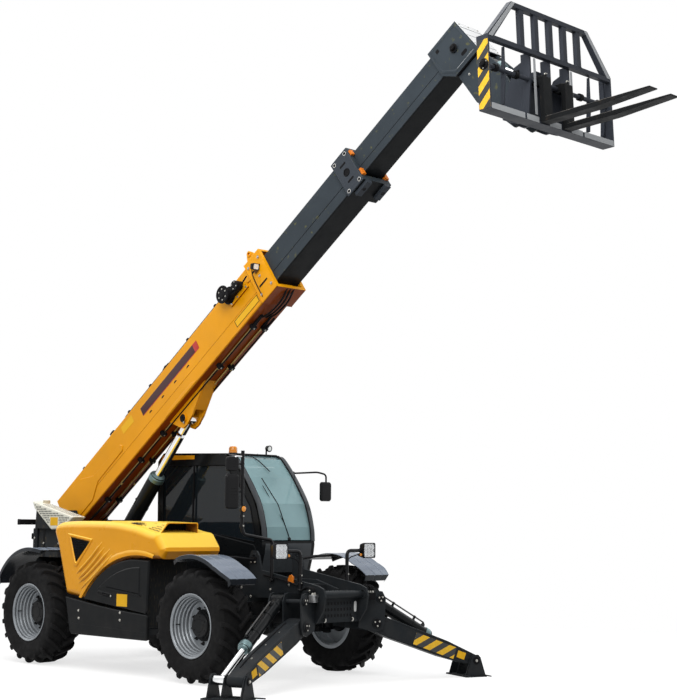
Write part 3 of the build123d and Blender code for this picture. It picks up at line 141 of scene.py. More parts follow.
# ------------------------------------------------------------------ mesh building
class Shape:
    """Collects the faces of one piece, each with its finish, and makes the object."""

    def __init__(self):
        self.mesh = bmesh.new()
        self.uv = self.mesh.loops.layers.uv.new("metres")
        self.finishes = []

    def index(self, finish):
        if finish not in self.finishes:
            self.finishes.append(finish)
        return self.finishes.index(finish)

    def add(self, points, faces, finish):
        """Vertices with faces over them. Returns the faces."""
        verts = [self.mesh.verts.new(p) for p in points]
        index = self.index(finish)
        made = []
        for face in faces:
            if len(set(face)) < 3:
                continue
            new = self.mesh.faces.new([verts[i] for i in face])
            new.material_index = index
            made.append(new)
        return made

    def box(self, low, high, finish):
        """Box between two opposite corners."""
        x0, y0, z0 = low
        x1, y1, z1 = high
        self.prism([(x0, y0, z0), (x1, y0, z0), (x1, y1, z0), (x0, y1, z0)], Vector((0, 0, z1 - z0)),
                   finish)

    def prism(self, outline, way, finish):
        """Closed prism: an outline of points carried along way."""
        base = [Vector(p) for p in outline]
        count = len(base)
        points = base + [p + Vector(way) for p in base]
        faces = [list(range(count))[::-1], list(range(count, 2 * count))]
        for i in range(count):
            j = (i + 1) % count
            faces.append([i, j, count + j, count + i])
        self.add(points, faces, finish)

    def loft(self, rings, finish, closed=True, caps=True):
        """Skin over rings of equally many points."""
        count = len(rings[0])
        points = [p for ring in rings for p in ring]
        faces = []
        span = count if closed else count - 1
        for r in range(len(rings) - 1):
            for i in range(span):
                j = (i + 1) % count
                faces.append([r * count + i, r * count + j, (r + 1) * count + j, (r + 1) * count + i])
        if caps and closed:
            faces.append(list(range(count))[::-1])
            last = (len(rings) - 1) * count
            faces.append([last + i for i in range(count)])
        self.add(points, faces, finish)

    def layers(self, centre, section, steps, finish, ahead=(1, 0, 0), up=(0, 0, 1), caps=True):
        """Loft of one section, across and up from a centre, over (depth ahead, share of its size) steps."""
        centre, ahead, up = Vector(centre), Vector(ahead), Vector(up)
        rings = [[centre + ahead * d + Vector((0, a * s, 0)) + up * (b * s) for a, b in section]
                 for d, s in steps]
        self.loft(rings, finish, caps=caps)

    def lathe(self, centre, axis, profile, finish, segments=48, closed=False):
        """Profile of (along, radius) pairs turned about an axis."""
        axis = Vector(axis).normalized()
        u, v = cross_axes(axis)
        rings = []
        for along, radius in profile:
            middle = Vector(centre) + axis * along
            ring = []
            for k in range(segments):
                a = 2 * pi * k / segments
                ring.append(middle + (u * cos(a) + v * sin(a)) * max(radius, 1e-5))
            rings.append(ring)
        if closed:
            rings.append(rings[0])
        self.loft(rings, finish, caps=not closed)

    def cylinder(self, start, end, radius, finish, segments=24):
        start, end = Vector(start), Vector(end)
        way = end - start
        self.lathe(start, way, [(0, radius), (way.length, radius)], finish, segments)

    def tube(self, path, radius, finish, segments=12, bend=0.0):
        """Round tube along a path, its corners rounded with the given bend radius."""
        line = rounded(path, bend) if bend else [Vector(p) for p in path]
        rings = []
        side = None
        for i, p in enumerate(line):
            before, after = line[max(i - 1, 0)], line[min(i + 1, len(line) - 1)]
            way = (after - before).normalized()
            if side is None:
                side = cross_axes(way)[0]
            side = (side - way * side.dot(way)).normalized()
            other = way.cross(side)
            rings.append([p + (side * cos(a) + other * sin(a)) * radius for a in turns(segments)])
        self.loft(rings, finish)

    def hose(self, points, radius, segments=8):
        """Rubber hose on a smooth curve through its points."""
        self.tube(smooth_line(points), radius, "hose_black", segments)

    def bolt(self, place, normal, size, finish, washer=True):
        """Hexagon head with its washer."""
        normal = Vector(normal).normalized()
        if washer:
            self.lathe(place, normal, [(0, size * 1.35), (size * 0.2, size * 1.35)], finish, 16)
        self.lathe(place, normal, [(0, size), (size * 0.75, size), (size * 0.9, size * 0.8)], finish, 6)

    def plate(self, frame_at, outline, thickness, finish, y=0.0):
        """Plate of an outline in a side plane, frame_at(u, v, y), centred on y."""
        self.prism(run(outline, y - thickness / 2, frame_at), Vector((0, thickness, 0)), finish)

    def make(self, name, body, bevel=0.004, smooth=40, segments=2, subdivide=0):
        """Turns what was collected into an object that rides on a body."""
        bmesh.ops.remove_doubles(self.mesh, verts=self.mesh.verts, dist=1e-6)
        bmesh.ops.recalc_face_normals(self.mesh, faces=self.mesh.faces)
        data = bpy.data.meshes.new(name)
        self.mesh.to_mesh(data)
        self.mesh.free()
        for finish in self.finishes:
            data.materials.append(FINISHES[finish])
        data.shade_smooth()
        piece = bpy.data.objects.new(name, data)
        bpy.context.scene.collection.objects.link(piece)
        if subdivide:
            rounder = piece.modifiers.new("round", "SUBSURF")
            rounder.levels = subdivide
            rounder.render_levels = subdivide
        else:
            soften(piece, bevel, smooth, segments)
        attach(piece, body)
        return piece


def soften(piece, width, angle=40, segments=2):
    """Small rounded edges, and normals that keep the flats flat."""
    if width:
        edge = piece.modifiers.new("edge", "BEVEL")
        edge.width = width
        edge.segments = segments
        edge.limit_method = "ANGLE"
        edge.angle_limit = radians(angle)
        edge.harden_normals = False
    normals = piece.modifiers.new("normals", "WEIGHTED_NORMAL")
    normals.keep_sharp = True


def cross_axes(axis):
    """Two directions square to an axis and to each other."""
    axis = Vector(axis).normalized()
    start = UP if abs(axis.z) < 0.9 else Vector((1, 0, 0))
    u = axis.cross(start).normalized()
    return u, axis.cross(u)


def turns(count, start=0.0):
    return [start + 2 * pi * k / count for k in range(count)]


def rounded(path, radius):
    """Path with its inner corners turned into arcs."""
    points = [Vector(p) for p in path]
    line = [points[0]]
    for before, corner, after in zip(points, points[1:], points[2:]):
        a, b = (before - corner), (after - corner)
        angle = a.angle(b)
        if angle > pi - 0.02:
            line.append(corner)
            continue
        reach = min(radius / tan(angle / 2), a.length * 0.49, b.length * 0.49)
        start, end = corner + a.normalized() * reach, corner + b.normalized() * reach
        for k in range(ARC_STEPS + 1):
            t = k / ARC_STEPS
            line.append(start * (1 - t) ** 2 + corner * 2 * t * (1 - t) + end * t * t)
    line.append(points[-1])
    return line


def smooth_line(points, steps=6):
    """Catmull-Rom curve through points of any dimension."""
    pts = [Vector(p) for p in points]
    ends = [pts[0] * 2 - pts[1]] + pts + [pts[-1] * 2 - pts[-2]]
    line = []
    for i in range(1, len(ends) - 2):
        p0, p1, p2, p3 = ends[i - 1 : i + 3]
        for k in range(steps):
            t = k / steps
            line.append(
                (p1 * 2 + (p2 - p0) * t + (p0 * 2 - p1 * 5 + p2 * 4 - p3) * t * t
                 + (p1 * 3 - p0 - p2 * 3 + p3) * t ** 3) / 2
            )
    line.append(pts[-1])
    return line


def round_rect(width, height, radius, steps=4):
    """Outline of a rectangle with round corners, about its middle."""
    outline = []
    for cx, cy, start in ((1, 1, 0), (-1, 1, 90), (-1, -1, 180), (1, -1, 270)):
        for k in range(steps + 1):
            a = radians(start + 90 * k / steps)
            x = cx * (width / 2 - radius) + radius * cos(a)
            y = cy * (height / 2 - radius) + radius * sin(a)
            outline.append((x, y))
    return outline


def rectangle(across, up):
    """Outline between two pairs of limits."""
    return [(across[0], up[0]), (across[1], up[0]), (across[1], up[1]), (across[0], up[1])]


def both_ways(hand, near, far):
    """Span between two distances on one hand of the machine, lower end first."""
    return sorted((hand * near, hand * far))


def run(line, y, place=on_side):
    """Points of a side plane's line at y, set by a function of its two directions and y."""
    return [place(u, v, y) for u, v in line]


def decal(shape, corner, across, up, finish, lift):
    """Flat patch with its size in metres as its texture coordinates, standing lift off the surface."""
    corner, across, up, lift = (Vector(v) for v in (corner, across, up, lift))
    points = [corner + lift, corner + across + lift, corner + across + up + lift, corner + up + lift]
    (face,) = shape.add(points, [[0, 1, 2, 3]], finish)
    sizes = [(0, 0), (across.length, 0), (across.length, up.length), (0, up.length)]
    for loop, size in zip(face.loops, sizes):
        loop[shape.uv].uv = size
    back = [corner, corner + across, corner + across + up, corner + up]
    shape.add(back + points, [[0, 1, 2, 3], [0, 1, 5, 4], [1, 2, 6, 5], [2, 3, 7, 6], [3, 0, 4, 7]], finish)


# ------------------------------------------------------------------ finishes
FINISHES = {}


class Nodes:
    """Short hand for one material's node tree."""

    def __init__(self, name):
        self.material = bpy.data.materials.new(name)
        self.material.use_nodes = True
        self.tree = self.material.node_tree
        self.shader = self.tree.nodes["Principled BSDF"]
        self.place = self.coordinates()
        FINISHES[name] = self.material

    def node(self, kind, **values):
        new = self.tree.nodes.new(kind)
        for key, value in values.items():
            if hasattr(new, key):
                setattr(new, key, value)
            else:
                new.inputs[key.replace("_", " ")].default_value = value
        return new

    def link(self, source, target):
        self.tree.links.new(source, target)

    def set(self, **values):
        for key, value in values.items():
            self.shader.inputs[key.replace("_", " ")].default_value = value

    def coordinates(self, kind="Object"):
        return self.node("ShaderNodeTexCoord").outputs[kind]

    def noise(self, scale, detail=4.0, source=None):
        node = self.node("ShaderNodeTexNoise")
        node.inputs["Scale"].default_value = scale
        node.inputs["Detail"].default_value = detail
        self.link(source or self.place, node.inputs["Vector"])
        return node.outputs["Fac"]

    def ramp(self, source, stops):
        """Colour ramp from (place, colour) pairs."""
        node = self.node("ShaderNodeValToRGB")
        elements = node.color_ramp.elements
        while len(elements) < len(stops):
            elements.new(0.5)
        for element, (place, colour) in zip(elements, stops):
            element.position = place
            element.color = (*colour[:3], 1.0)
        self.link(source, node.inputs["Fac"])
        return node.outputs["Color"]

    def span(self, source, low, high, from_low=0.3, from_high=0.7):
        """Number mapped from one span to another."""
        node = self.node("ShaderNodeMapRange")
        node.inputs["From Min"].default_value = from_low
        node.inputs["From Max"].default_value = from_high
        node.inputs["To Min"].default_value = low
        node.inputs["To Max"].default_value = high
        self.link(source, node.inputs["Value"])
        return node.outputs["Result"]

    def mix(self, amount, first, second):
        node = self.node("ShaderNodeMix", data_type="RGBA")
        self.link(amount, node.inputs["Factor"])
        for socket, value in ((node.inputs[6], first), (node.inputs[7], second)):
            if isinstance(value, (tuple, list)):
                socket.default_value = (*value[:3], 1.0)
            else:
                self.link(value, socket)
        return node.outputs[2]

    def bump(self, height, strength=0.2, distance=0.002):
        node = self.node("ShaderNodeBump")
        node.inputs["Strength"].default_value = strength
        node.inputs["Distance"].default_value = distance
        self.link(height, node.inputs["Height"])
        self.link(node.outputs["Normal"], self.shader.inputs["Normal"])

    def gloss(self, scale, detail, low, high):
        """Roughness that drifts between two values."""
        self.link(self.span(self.noise(scale, detail), low, high), self.shader.inputs["Roughness"])

    def drift(self, scale, detail, colour, low, high):
        """Colour that drifts between a darker and a lighter shade."""
        return self.ramp(self.noise(scale, detail), [(0.3, shade(colour, low)), (0.7, shade(colour, high))])

    def colour(self, output):
        self.link(output, self.shader.inputs["Base Color"])

    def facing(self, axis, low, high):
        """Share that grows from zero to one as a face turns towards an axis."""
        split = self.node("ShaderNodeSeparateXYZ")
        self.link(self.node("ShaderNodeNewGeometry").outputs["Normal"], split.inputs["Vector"])
        return self.span(split.outputs[axis], 0.0, 1.0, low, high)


def shade(colour, factor):
    return tuple(min(1.0, max(0.0, c * factor)) for c in colour[:3])


def shine(colour):
    """Specular level of a finish: dark working paint is duller than a bright one."""
    return 0.12 if max(colour[:3]) > 0.15 else 0.05


def paint(name, colour, roughness=0.35, coat=0.3, dust=0.25, under=None, top=None):
    """Machine paint: faint orange peel, slow colour drift, and dust that thins out upwards. A top colour,
    when given, is a painted highlight on faces that look up; an under colour, when given, is painted shade
    on faces that look down.
    """
    n = Nodes(name)
    drift = n.drift(1.7, 3, colour, 0.93, 1.05)
    split = n.node("ShaderNodeSeparateXYZ")
    n.link(n.place, split.inputs["Vector"])
    low = n.span(split.outputs["Z"], dust, 0.0, 0.3, 1.6)
    grain = n.span(n.noise(7.0, 6), 0.0, 1.0, 0.42, 0.72)
    amount = n.node("ShaderNodeMath", operation="MULTIPLY")
    n.link(low, amount.inputs[0])
    n.link(grain, amount.inputs[1])
    # painted highlight: faces that look up turn towards the lighter top colour
    if top:
        drift = n.mix(n.facing("Z", 0.1, 0.75), drift, top)
    dust_and_top_highlight = n.mix(amount.outputs[0], drift, (0.09, 0.08, 0.07))
    # painted shade: faces that look down turn towards the under colour
    n.colour(n.mix(n.facing("Z", -0.35, -0.8), dust_and_top_highlight, under) if under else dust_and_top_highlight)
    n.gloss(5.0, 4, roughness - 0.06, roughness + 0.1)
    n.bump(n.noise(260.0, 1), 0.05, 0.0006)
    n.set(Coat_Weight=coat, Coat_Roughness=0.12, Specular_IOR_Level=shine(colour))


def worn(name, colour, wear_colour, roughness=0.45, wear=(0.66, 0.72), metallic=0.0, coat=0.0, under=None):
    """Working paint with scuffs where the finish under it shows. An under colour, when given, is painted
    shade on faces that look down.
    """
    n = Nodes(name)
    stretch = n.node("ShaderNodeMapping")
    stretch.inputs["Scale"].default_value = (1.0, 6.0, 1.0)
    n.link(n.place, stretch.inputs["Vector"])
    drift = n.drift(2.3, 4, colour, 0.86, 1.12)
    scuff = n.span(n.noise(14.0, 7, stretch.outputs["Vector"]), 0.0, 1.0, *wear)
    scuffed = n.mix(scuff, drift, wear_colour)
    # painted shade: faces that look down turn towards the under colour
    n.colour(n.mix(n.facing("Z", -0.35, -0.8), scuffed, under) if under else scuffed)
    n.gloss(9.0, 5, roughness - 0.08, roughness + 0.14)
    n.bump(n.noise(140.0, 3), 0.08, 0.0008)
    n.set(Metallic=metallic, Coat_Weight=coat, Specular_IOR_Level=shine(colour))


def plastic(name, colour, roughness=0.5, grain=420.0, strength=0.15, coat=0.0):
    """Moulded plastic with a fine leather grain."""
    n = Nodes(name)
    n.colour(n.drift(3.0, 4, colour, 0.85, 1.15))
    n.gloss(11.0, 3, roughness - 0.05, roughness + 0.08)
    n.bump(n.noise(grain, 2), strength, 0.0005)
    n.set(Coat_Weight=coat, Coat_Roughness=0.1, Specular_IOR_Level=shine(colour))


def rubber(name, colour):
    """Tyre rubber: matt, with fine dust in its grain."""
    n = Nodes(name)
    base = n.ramp(n.noise(4.0, 5), [(0.3, shade(colour, 0.7)), (0.75, shade(colour, 1.35))])
    dust = n.span(n.noise(23.0, 8), 0.0, 0.35, 0.55, 0.85)
    n.colour(n.mix(dust, base, (0.03, 0.027, 0.024)))
    n.gloss(17.0, 3, 0.62, 0.85)
    n.bump(n.noise(190.0, 4), 0.25, 0.001)
    n.set(Specular_IOR_Level=0.08)


def metal(name, colour, roughness=0.25, streak=0.0, metallic=1.0):
    """Bare or plated metal with fine machining marks."""
    n = Nodes(name)
    n.colour(n.ramp(n.noise(6.0, 4), [(0.35, shade(colour, 0.88)), (0.7, shade(colour, 1.06))]))
    n.gloss(30.0, 4, roughness * 0.8, roughness * 1.4)
    n.bump(n.noise(300.0, 2), 0.06 + streak, 0.0004)
    n.set(Metallic=metallic)


def stripes(name, first, second, period, slant):
    """Slanted warning stripes, measured in metres over a patch."""
    n = Nodes(name)
    uv = n.node("ShaderNodeSeparateXYZ")
    n.link(n.coordinates("UV"), uv.inputs["Vector"])
    lean = n.node("ShaderNodeMath", operation="MULTIPLY_ADD")
    n.link(uv.outputs["Y"], lean.inputs[0])
    lean.inputs[1].default_value = slant
    n.link(uv.outputs["X"], lean.inputs[2])
    wave = n.node("ShaderNodeMath", operation="PINGPONG")
    n.link(lean.outputs[0], wave.inputs[0])
    wave.inputs[1].default_value = period / 2
    edge = n.span(wave.outputs[0], 0.0, 1.0, period / 4 - 0.0008, period / 4 + 0.0008)
    scuff = n.drift(35.0, 6, first, 0.85, 1.05)
    n.colour(n.mix(edge, scuff, second))
    n.gloss(20.0, 4, 0.34, 0.5)


def tinted_glass(name, colour, roughness=0.02, alpha=0.5, painted_side_shade=None):
    """Tinted safety glass, thin and clear, with faint water marks in its gloss. Glass that looks sideways
    can take a painted dark shade in place of its tint and turn nearly opaque.
    """
    n = Nodes(name)
    tinted = n.drift(2.0, 3, colour, 0.9, 1.1)
    # painted shade: glass that looks sideways turns to the dark colour and nearly opaque
    if painted_side_shade:
        ahead = n.facing("X", 0.25, 0.6)
        tinted = n.mix(ahead, painted_side_shade, tinted)
        n.link(n.span(ahead, 0.965, alpha, 0.0, 1.0), n.shader.inputs["Alpha"])
    n.colour(tinted)
    n.gloss(18.0, 5, roughness, roughness + 0.05)
    n.set(Alpha=alpha, IOR=1.5, Specular_IOR_Level=0.2, Coat_Weight=0.05, Coat_Roughness=0.03)


def glow(name, colour, strength=0.6):
    """Lamp glass or lens with a soft light of its own."""
    n = Nodes(name)
    cells = n.node("ShaderNodeTexVoronoi")
    cells.inputs["Scale"].default_value = 60.0
    n.link(n.place, cells.inputs["Vector"])
    n.colour(n.ramp(cells.outputs["Distance"], [(0.0, shade(colour, 1.1)), (0.6, shade(colour, 0.75))]))
    n.gloss(12.0, 3, 0.15, 0.25)
    n.bump(cells.outputs["Distance"], 0.5, 0.002)
    n.set(Emission_Color=(*colour[:3], 1.0), Emission_Strength=strength, Coat_Weight=0.8)


def cloth(name, colour):
    """Woven seat fabric."""
    n = Nodes(name)
    weave = n.node("ShaderNodeTexWave", wave_type="BANDS")
    weave.inputs["Scale"].default_value = 160.0
    weave.inputs["Distortion"].default_value = 1.2
    n.link(n.place, weave.inputs["Vector"])
    n.colour(n.drift(8.0, 5, colour, 0.75, 1.3))
    n.gloss(40.0, 3, 0.75, 0.95)
    n.bump(weave.outputs["Fac"], 0.35, 0.001)
    n.set(Sheen_Weight=0.25)


def coat_node(node, finish, bevel=0.0):
    """Gives a CAD node its finish and softened edges."""
    piece = frame["nodes"][node]
    piece.data.materials.clear()
    piece.data.materials.append(FINISHES[finish])
    for polygon in piece.data.polygons:
        polygon.material_index = 0
    weld = piece.modifiers.new("weld", "WELD")
    weld.merge_threshold = 0.0001
    soften(piece, bevel)


# ------------------------------------------------------------------ wheels
def wheel_parts(settings, corner):
    """Tyre with chevron lugs, and the dished rim with its hub."""
    hub = joint_point("spin_" + corner)
    hand = 1 if hub.y > 0 else -1
    out = Vector((0, hand, 0))
    low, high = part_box("tyre_" + corner)
    radius = (high.z - low.z) / 2
    half = (high.y - low.y) / 2
    body = "wheel_" + corner

    tyre = Shape()
    rubber_black = "tyre_rubber"
    carcass = radius - settings.lug_height
    # side wall from the bead to the crown: share of the half width, and radius
    shares = [(0.8, 0.302), (0.86, 0.318), (0.865, 0.345), (0.9, 0.352), (0.93, 0.372), (0.925, 0.376),
              (0.955, 0.4), (0.95, 0.405), (0.985, 0.45), (0.99, 0.48), (0.975, 0.505),
              (0.93, carcass - 0.028), (0.86, carcass - 0.012), (0.5, carcass - 0.002), (0, carcass)]
    side_wall = [(half * share, r) for share, r in shares]
    profile = side_wall + [(-a, r) for a, r in side_wall[-2::-1]]
    tyre.lathe(hub, out, profile, rubber_black, 96, closed=True)
    u, v = cross_axes(out)
    count = settings.lug_count
    # stations along a lug: place across the tyre, radius of its foot, radius of its top, turn, half width
    stations = [
        (-0.006, carcass - 0.012, radius, 0.0, 0.02),
        (0.05, carcass - 0.012, radius, 0.085, 0.019),
        (0.1, carcass - 0.014, radius - 0.002, 0.155, 0.019),
        (0.145, carcass - 0.02, radius - 0.006, 0.21, 0.02),
        (0.178, carcass - 0.035, radius - 0.022, 0.24, 0.022),
        (0.192, 0.5, radius - 0.055, 0.252, 0.023),
        (0.19, 0.466, 0.488, 0.258, 0.021),
    ]
    for k in range(count):
        for way in (1, -1):
            base = 2 * pi * (k + (0.5 if way < 0 else 0.0)) / count
            rings = []
            for across, foot, top, turn, width in stations:
                ring = []
                for r, w in ((foot, -width - 0.007), (top, -width), (top, width), (foot, width + 0.007)):
                    a = base + turn + w / max(r, 0.1)
                    along = across * half / 0.2 * way
                    if top < radius - 0.05 and r == top:
                        along *= 1.035
                    ring.append(hub + out * along + (u * cos(a) + v * sin(a)) * r)
                rings.append(ring)
            tyre.loft(rings, rubber_black)
    piece = tyre.make("tyre_tread_" + corner, body, bevel=0.0035, smooth=35)
    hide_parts("tyre_" + corner)

    rim = Shape()
    silver, black = "rim_silver", "hub_black"
    flange = 0.332
    barrel = [(-0.15, 0.29), (-0.1825, 0.292), (-0.1825, flange - 0.006), (-0.178, flange),
              (-0.172, flange - 0.004), (-0.17, 0.304)]
    front = [(0.17, 0.304), (0.172, flange - 0.004), (0.178, flange), (0.1825, flange - 0.006),
             (0.18, 0.318), (0.17, 0.308), (0.16, 0.303), (0.146, 0.301), (0.138, 0.292), (0.112, 0.289),
             (0.102, 0.279), (0.074, 0.276), (0.064, 0.266), (0.036, 0.263), (0.026, 0.253),
             (-0.002, 0.249), (-0.014, 0.236), (-0.018, 0.2), (-0.02, 0.166), (-0.016, 0.15),
             (-0.034, 0.15), (-0.036, 0.236), (-0.05, 0.262), (-0.15, 0.28)]
    rim.lathe(hub, out, barrel + front, silver, 72, closed=True)
    hub_profile = [(-0.148, 0.048), (-0.148, 0.118), (-0.04, 0.135), (-0.0145, 0.162), (-0.001, 0.165),
                   (0.004, 0.15), (0.012, 0.142), (0.03, 0.14), (0.036, 0.13), (0.054, 0.126),
                   (0.061, 0.118), (0.063, 0.07), (0.0685, 0.064), (0.0695, 0.0)]
    rim.lathe(hub, out, hub_profile, black, 48)
    for a in turns(10, 0.2):
        place = hub + (u * cos(a) + v * sin(a)) * 0.1885 - out * 0.019
        rim.lathe(place, out, [(0, 0.021), (0.004, 0.021), (0.005, 0.016)], black, 20)
        rim.bolt(place + out * 0.004, out, 0.0155, black, washer=False)
        rim.cylinder(place + out * 0.018, place + out * 0.032, 0.0085, black, 12)
    for a in turns(6, 0.5):
        rim.bolt(hub + (u * cos(a) + v * sin(a)) * 0.093 + out * 0.0615, out, 0.0075, black)
    for a in turns(12, 0.1):
        rim.bolt(hub + (u * cos(a) + v * sin(a)) * 0.134 + out * 0.0315, out, 0.006, black, washer=False)
    rim.tube(
        [hub + u * 0.288 + out * 0.085, hub + u * 0.268 + out * 0.11, hub + u * 0.262 + out * 0.155],
        0.0055, black, 10, bend=0.02,
    )
    piece = rim.make("rim_hub_" + corner, body, bevel=0.0015, smooth=30)
    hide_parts("rim_" + corner)


def axle_details():
    """Bolted covers, collars and brake hoses on both axles."""
    iron = "axle_black"
    for name, sign in (("front", 1), ("rear", -1)):
        x = MID_X + sign * HALF_BASE
        hub = Vector((x, 0, HUB_Z))
        fit = Shape()
        for side in (1, -1):
            for a in turns(10):
                spot = hub + Vector((cos(a) * 0.118, side * 0.1605, sin(a) * 0.118))
                fit.bolt(spot - Vector((0, side * 0.006, 0)), (0, side, 0), 0.009, iron)
            for side_z in (1, -1):
                cap = Vector((x, side * 0.78, HUB_Z + side_z * 0.136))
                fit.lathe(cap, (0, 0, side_z), [(0, 0.047), (0.012, 0.047), (0.018, 0.038), (0.02, 0.0)],
                          iron, 32)
                for a in turns(4, 0.78):
                    fit.bolt(cap + Vector((cos(a) * 0.034, sin(a) * 0.034, side_z * 0.014)), (0, 0, side_z),
                             0.006, iron)
            fit.lathe((x, side * 0.4, HUB_Z), (0, side, 0), [(0, 0.079), (0.02, 0.079), (0.03, 0.0755)],
                      iron, 32)
            fit.lathe((x, side * 0.55, HUB_Z), (0, side, 0),
                      [(0, 0.0755), (0.01, 0.082), (0.05, 0.082), (0.06, 0.0755)], iron, 32)
        fit.make("axle_bolts_" + name, "chassis", bevel=0.0012)
        hose = Shape()
        inward = Vector((-sign * 0.12, 0, 0))
        for side in (1, -1):
            start = hub + Vector((-sign * 0.19, side * 0.17, 0.0))
            path = [start, start + Vector((0, side * 0.05, 0.09)),
                    hub + inward + Vector((0, side * 0.26, 0.16)),
                    hub + inward * 0.6 + Vector((0, side * 0.2, 0.235))]
            hose.hose(path, 0.009, 10)
        hose.make("axle_hoses_" + name, "chassis", bevel=0)


# ------------------------------------------------------------------ engine side
def side_outline_top():
    """Top line of the engine cover along the machine, x and z."""
    return [(-1.112, 1.52), (-1.094, 1.588), (-1.045, 1.622), (-0.94, 1.642), (-0.7, 1.652), (-0.2, 1.652),
            (0.1, 1.64), (0.42, 1.604), (0.66, 1.552), (0.8, 1.532)]


def engine_cover(settings):
    """Yellow cover: crowned shell with a sloped front, triangular grille and slanted grooves."""
    yellow = "cover_yellow"
    shell = Shape()
    profile = smooth_line([Vector((x, z)) for x, z in side_outline_top()], 4)
    rear = [(-0.84, 0.822), (-0.905, 1.0), (-0.975, 1.2), (-1.04, 1.38), (-1.09, 1.47)]
    front = [(0.833, 1.518), (0.947, 1.379), (0.95, 1.338), (0.89, 1.254), (0.405, 1.25)]
    arch = arch_line((0.405, 1.25), (-0.15, 1.09), (-0.49, 0.786), 14)
    outline = [(p.x, p.y) for p in profile] + front + arch[1:] + rear
    cover_shell(shell, outline, COVER_SIDE, -0.345, settings.cover_round, yellow, 0.014)
    # raised border round the triangular grille
    triangle = [(-0.8, 1.515), (-0.315, 1.455), (-0.35, 1.4), (-0.61, 1.13), (-0.665, 1.14)]
    inside = [(-0.745, 1.47), (-0.375, 1.425), (-0.398, 1.398), (-0.622, 1.195), (-0.64, 1.2)]
    ridge(shell, triangle, inside, COVER_SIDE, 0.012, yellow)
    # grooves: paired ridges that leave a channel between them
    for start, end in (((-0.118, 1.392), (-0.602, 1.03)), ((0.03, 1.318), (-0.552, 0.925))):
        groove(shell, start, end, COVER_SIDE, yellow)
    # swelling over the side door's arc
    lip_outer = arch_line((0.8, 1.3), (-0.2, 1.15), (-0.56, 0.8), 24)
    lip_inner = arch_line((0.78, 1.262), (-0.16, 1.1), (-0.5, 0.796), 24)
    ridge_strip(shell, lip_outer, lip_inner, COVER_SIDE, 0.01, yellow)
    piece = shell.make("engine_cover_shell", "hood", bevel=0.004, smooth=32, segments=3)
    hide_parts("engine_hood")

    dark = Shape()
    grille_skin(dark, inside, COVER_SIDE - 0.002, "trim_grey")
    dark.make("engine_cover_grille", "hood", bevel=0.002)
    cover_scoop()
    cover_hinges()


def arch_line(start, middle, end, steps):
    """Arc through three points of a side plane."""
    (x1, y1), (x2, y2), (x3, y3) = start, middle, end
    d = 2 * (x1 * (y2 - y3) + x2 * (y3 - y1) + x3 * (y1 - y2))
    a, b, c = x1 * x1 + y1 * y1, x2 * x2 + y2 * y2, x3 * x3 + y3 * y3
    cx = (a * (y2 - y3) + b * (y3 - y1) + c * (y1 - y2)) / d
    cy = (a * (x3 - x2) + b * (x1 - x3) + c * (x2 - x1)) / d
    r = hypot(x1 - cx, y1 - cy)
    first, mid, last = (atan2(y - cy, x - cx) for x, y in (start, middle, end))
    while mid < first:
        mid += 2 * pi
    while last < mid:
        last += 2 * pi
    if last - first > 2 * pi:
        last -= 2 * pi
        first += 2 * pi
    return [(cx + r * cos(first + (last - first) * k / steps),
             cy + r * sin(first + (last - first) * k / steps)) for k in range(steps + 1)]


def inset_outline(outline, amount):
    """Outline moved inwards by an amount, its corners kept."""
    if not amount:
        return list(outline)
    count = len(outline)
    area = sum(outline[i][0] * outline[(i + 1) % count][1] - outline[(i + 1) % count][0] * outline[i][1]
               for i in range(count))
    turn = 1 if area > 0 else -1
    moved = []
    for i in range(count):
        a, b, c = (Vector(outline[j % count]) for j in (i - 1, i, i + 1))
        first, second = (b - a).normalized(), (c - b).normalized()
        n1, n2 = Vector((-first.y, first.x)) * turn, Vector((-second.y, second.x)) * turn
        n = (n1 + n2).normalized()
        scale = amount / max(0.35, n.dot(n1))
        moved.append(b + n * scale)
    # edges that would turn over in a tight corner shrink to a point instead
    for _ in range(8):
        for i in range(count):
            j = (i + 1) % count
            if (moved[j] - moved[i]).dot(Vector(outline[j]) - Vector(outline[i])) < 0:
                moved[i] = moved[j] = (moved[i] + moved[j]) / 2
    return [tuple(p) for p in moved]


def shoulder(outline, y, radius, steps):
    """Rings of an outline that close in towards y over a round shoulder."""
    turn = [k / steps * pi / 2 for k in range(steps + 1)]
    return [run(inset_outline(outline, radius * (1 - sin(a))), y + radius * (1 - cos(a))) for a in turn]


def cover_shell(shape, outline, outer, inner, radius, finish, wall):
    """Closed cover of a side outline, rounded towards the outside, with its wall turned in at the back."""
    rings = shoulder(outline, outer, radius, 6) + [run(outline, inner)]
    rings += [run(inset_outline(outline, wall), y) for y in (inner, outer + radius)]
    shape.loft(rings, finish, caps=False)
    count = len(outline)
    shape.add(rings[0], [range(count)], finish)
    shape.add(rings[-1], [range(count)[::-1]], finish)


def ridge(shape, outer_line, inner_line, y, height, finish):
    """Raised border between two outlines of equally many points, crowned in its middle."""
    crown = ((0.25, 0.8), (0.5, 1.0), (0.78, 0.8))
    rings = [run(blend_line(outer_line, inner_line, share), y - height * lift) for share, lift in crown]
    shape.loft([run(outer_line, y + 0.002), *rings, run(inner_line, y + 0.004)], finish, caps=False)


def ridge_strip(shape, outer_line, inner_line, y, height, finish):
    """Open raised strip between two lines."""
    crown = ((0.0, -0.003), (0.3, 0.75), (0.6, 1.0), (1.0, 0.9))
    rings = [run(blend_line(outer_line, inner_line, share), y - height * lift) for share, lift in crown]
    shape.loft([*rings, run(inner_line, y + 0.004)], finish, closed=False, caps=False)


def blend_line(first, second, share):
    return [(a[0] * (1 - share) + b[0] * share, a[1] * (1 - share) + b[1] * share)
            for a, b in zip(first, second)]


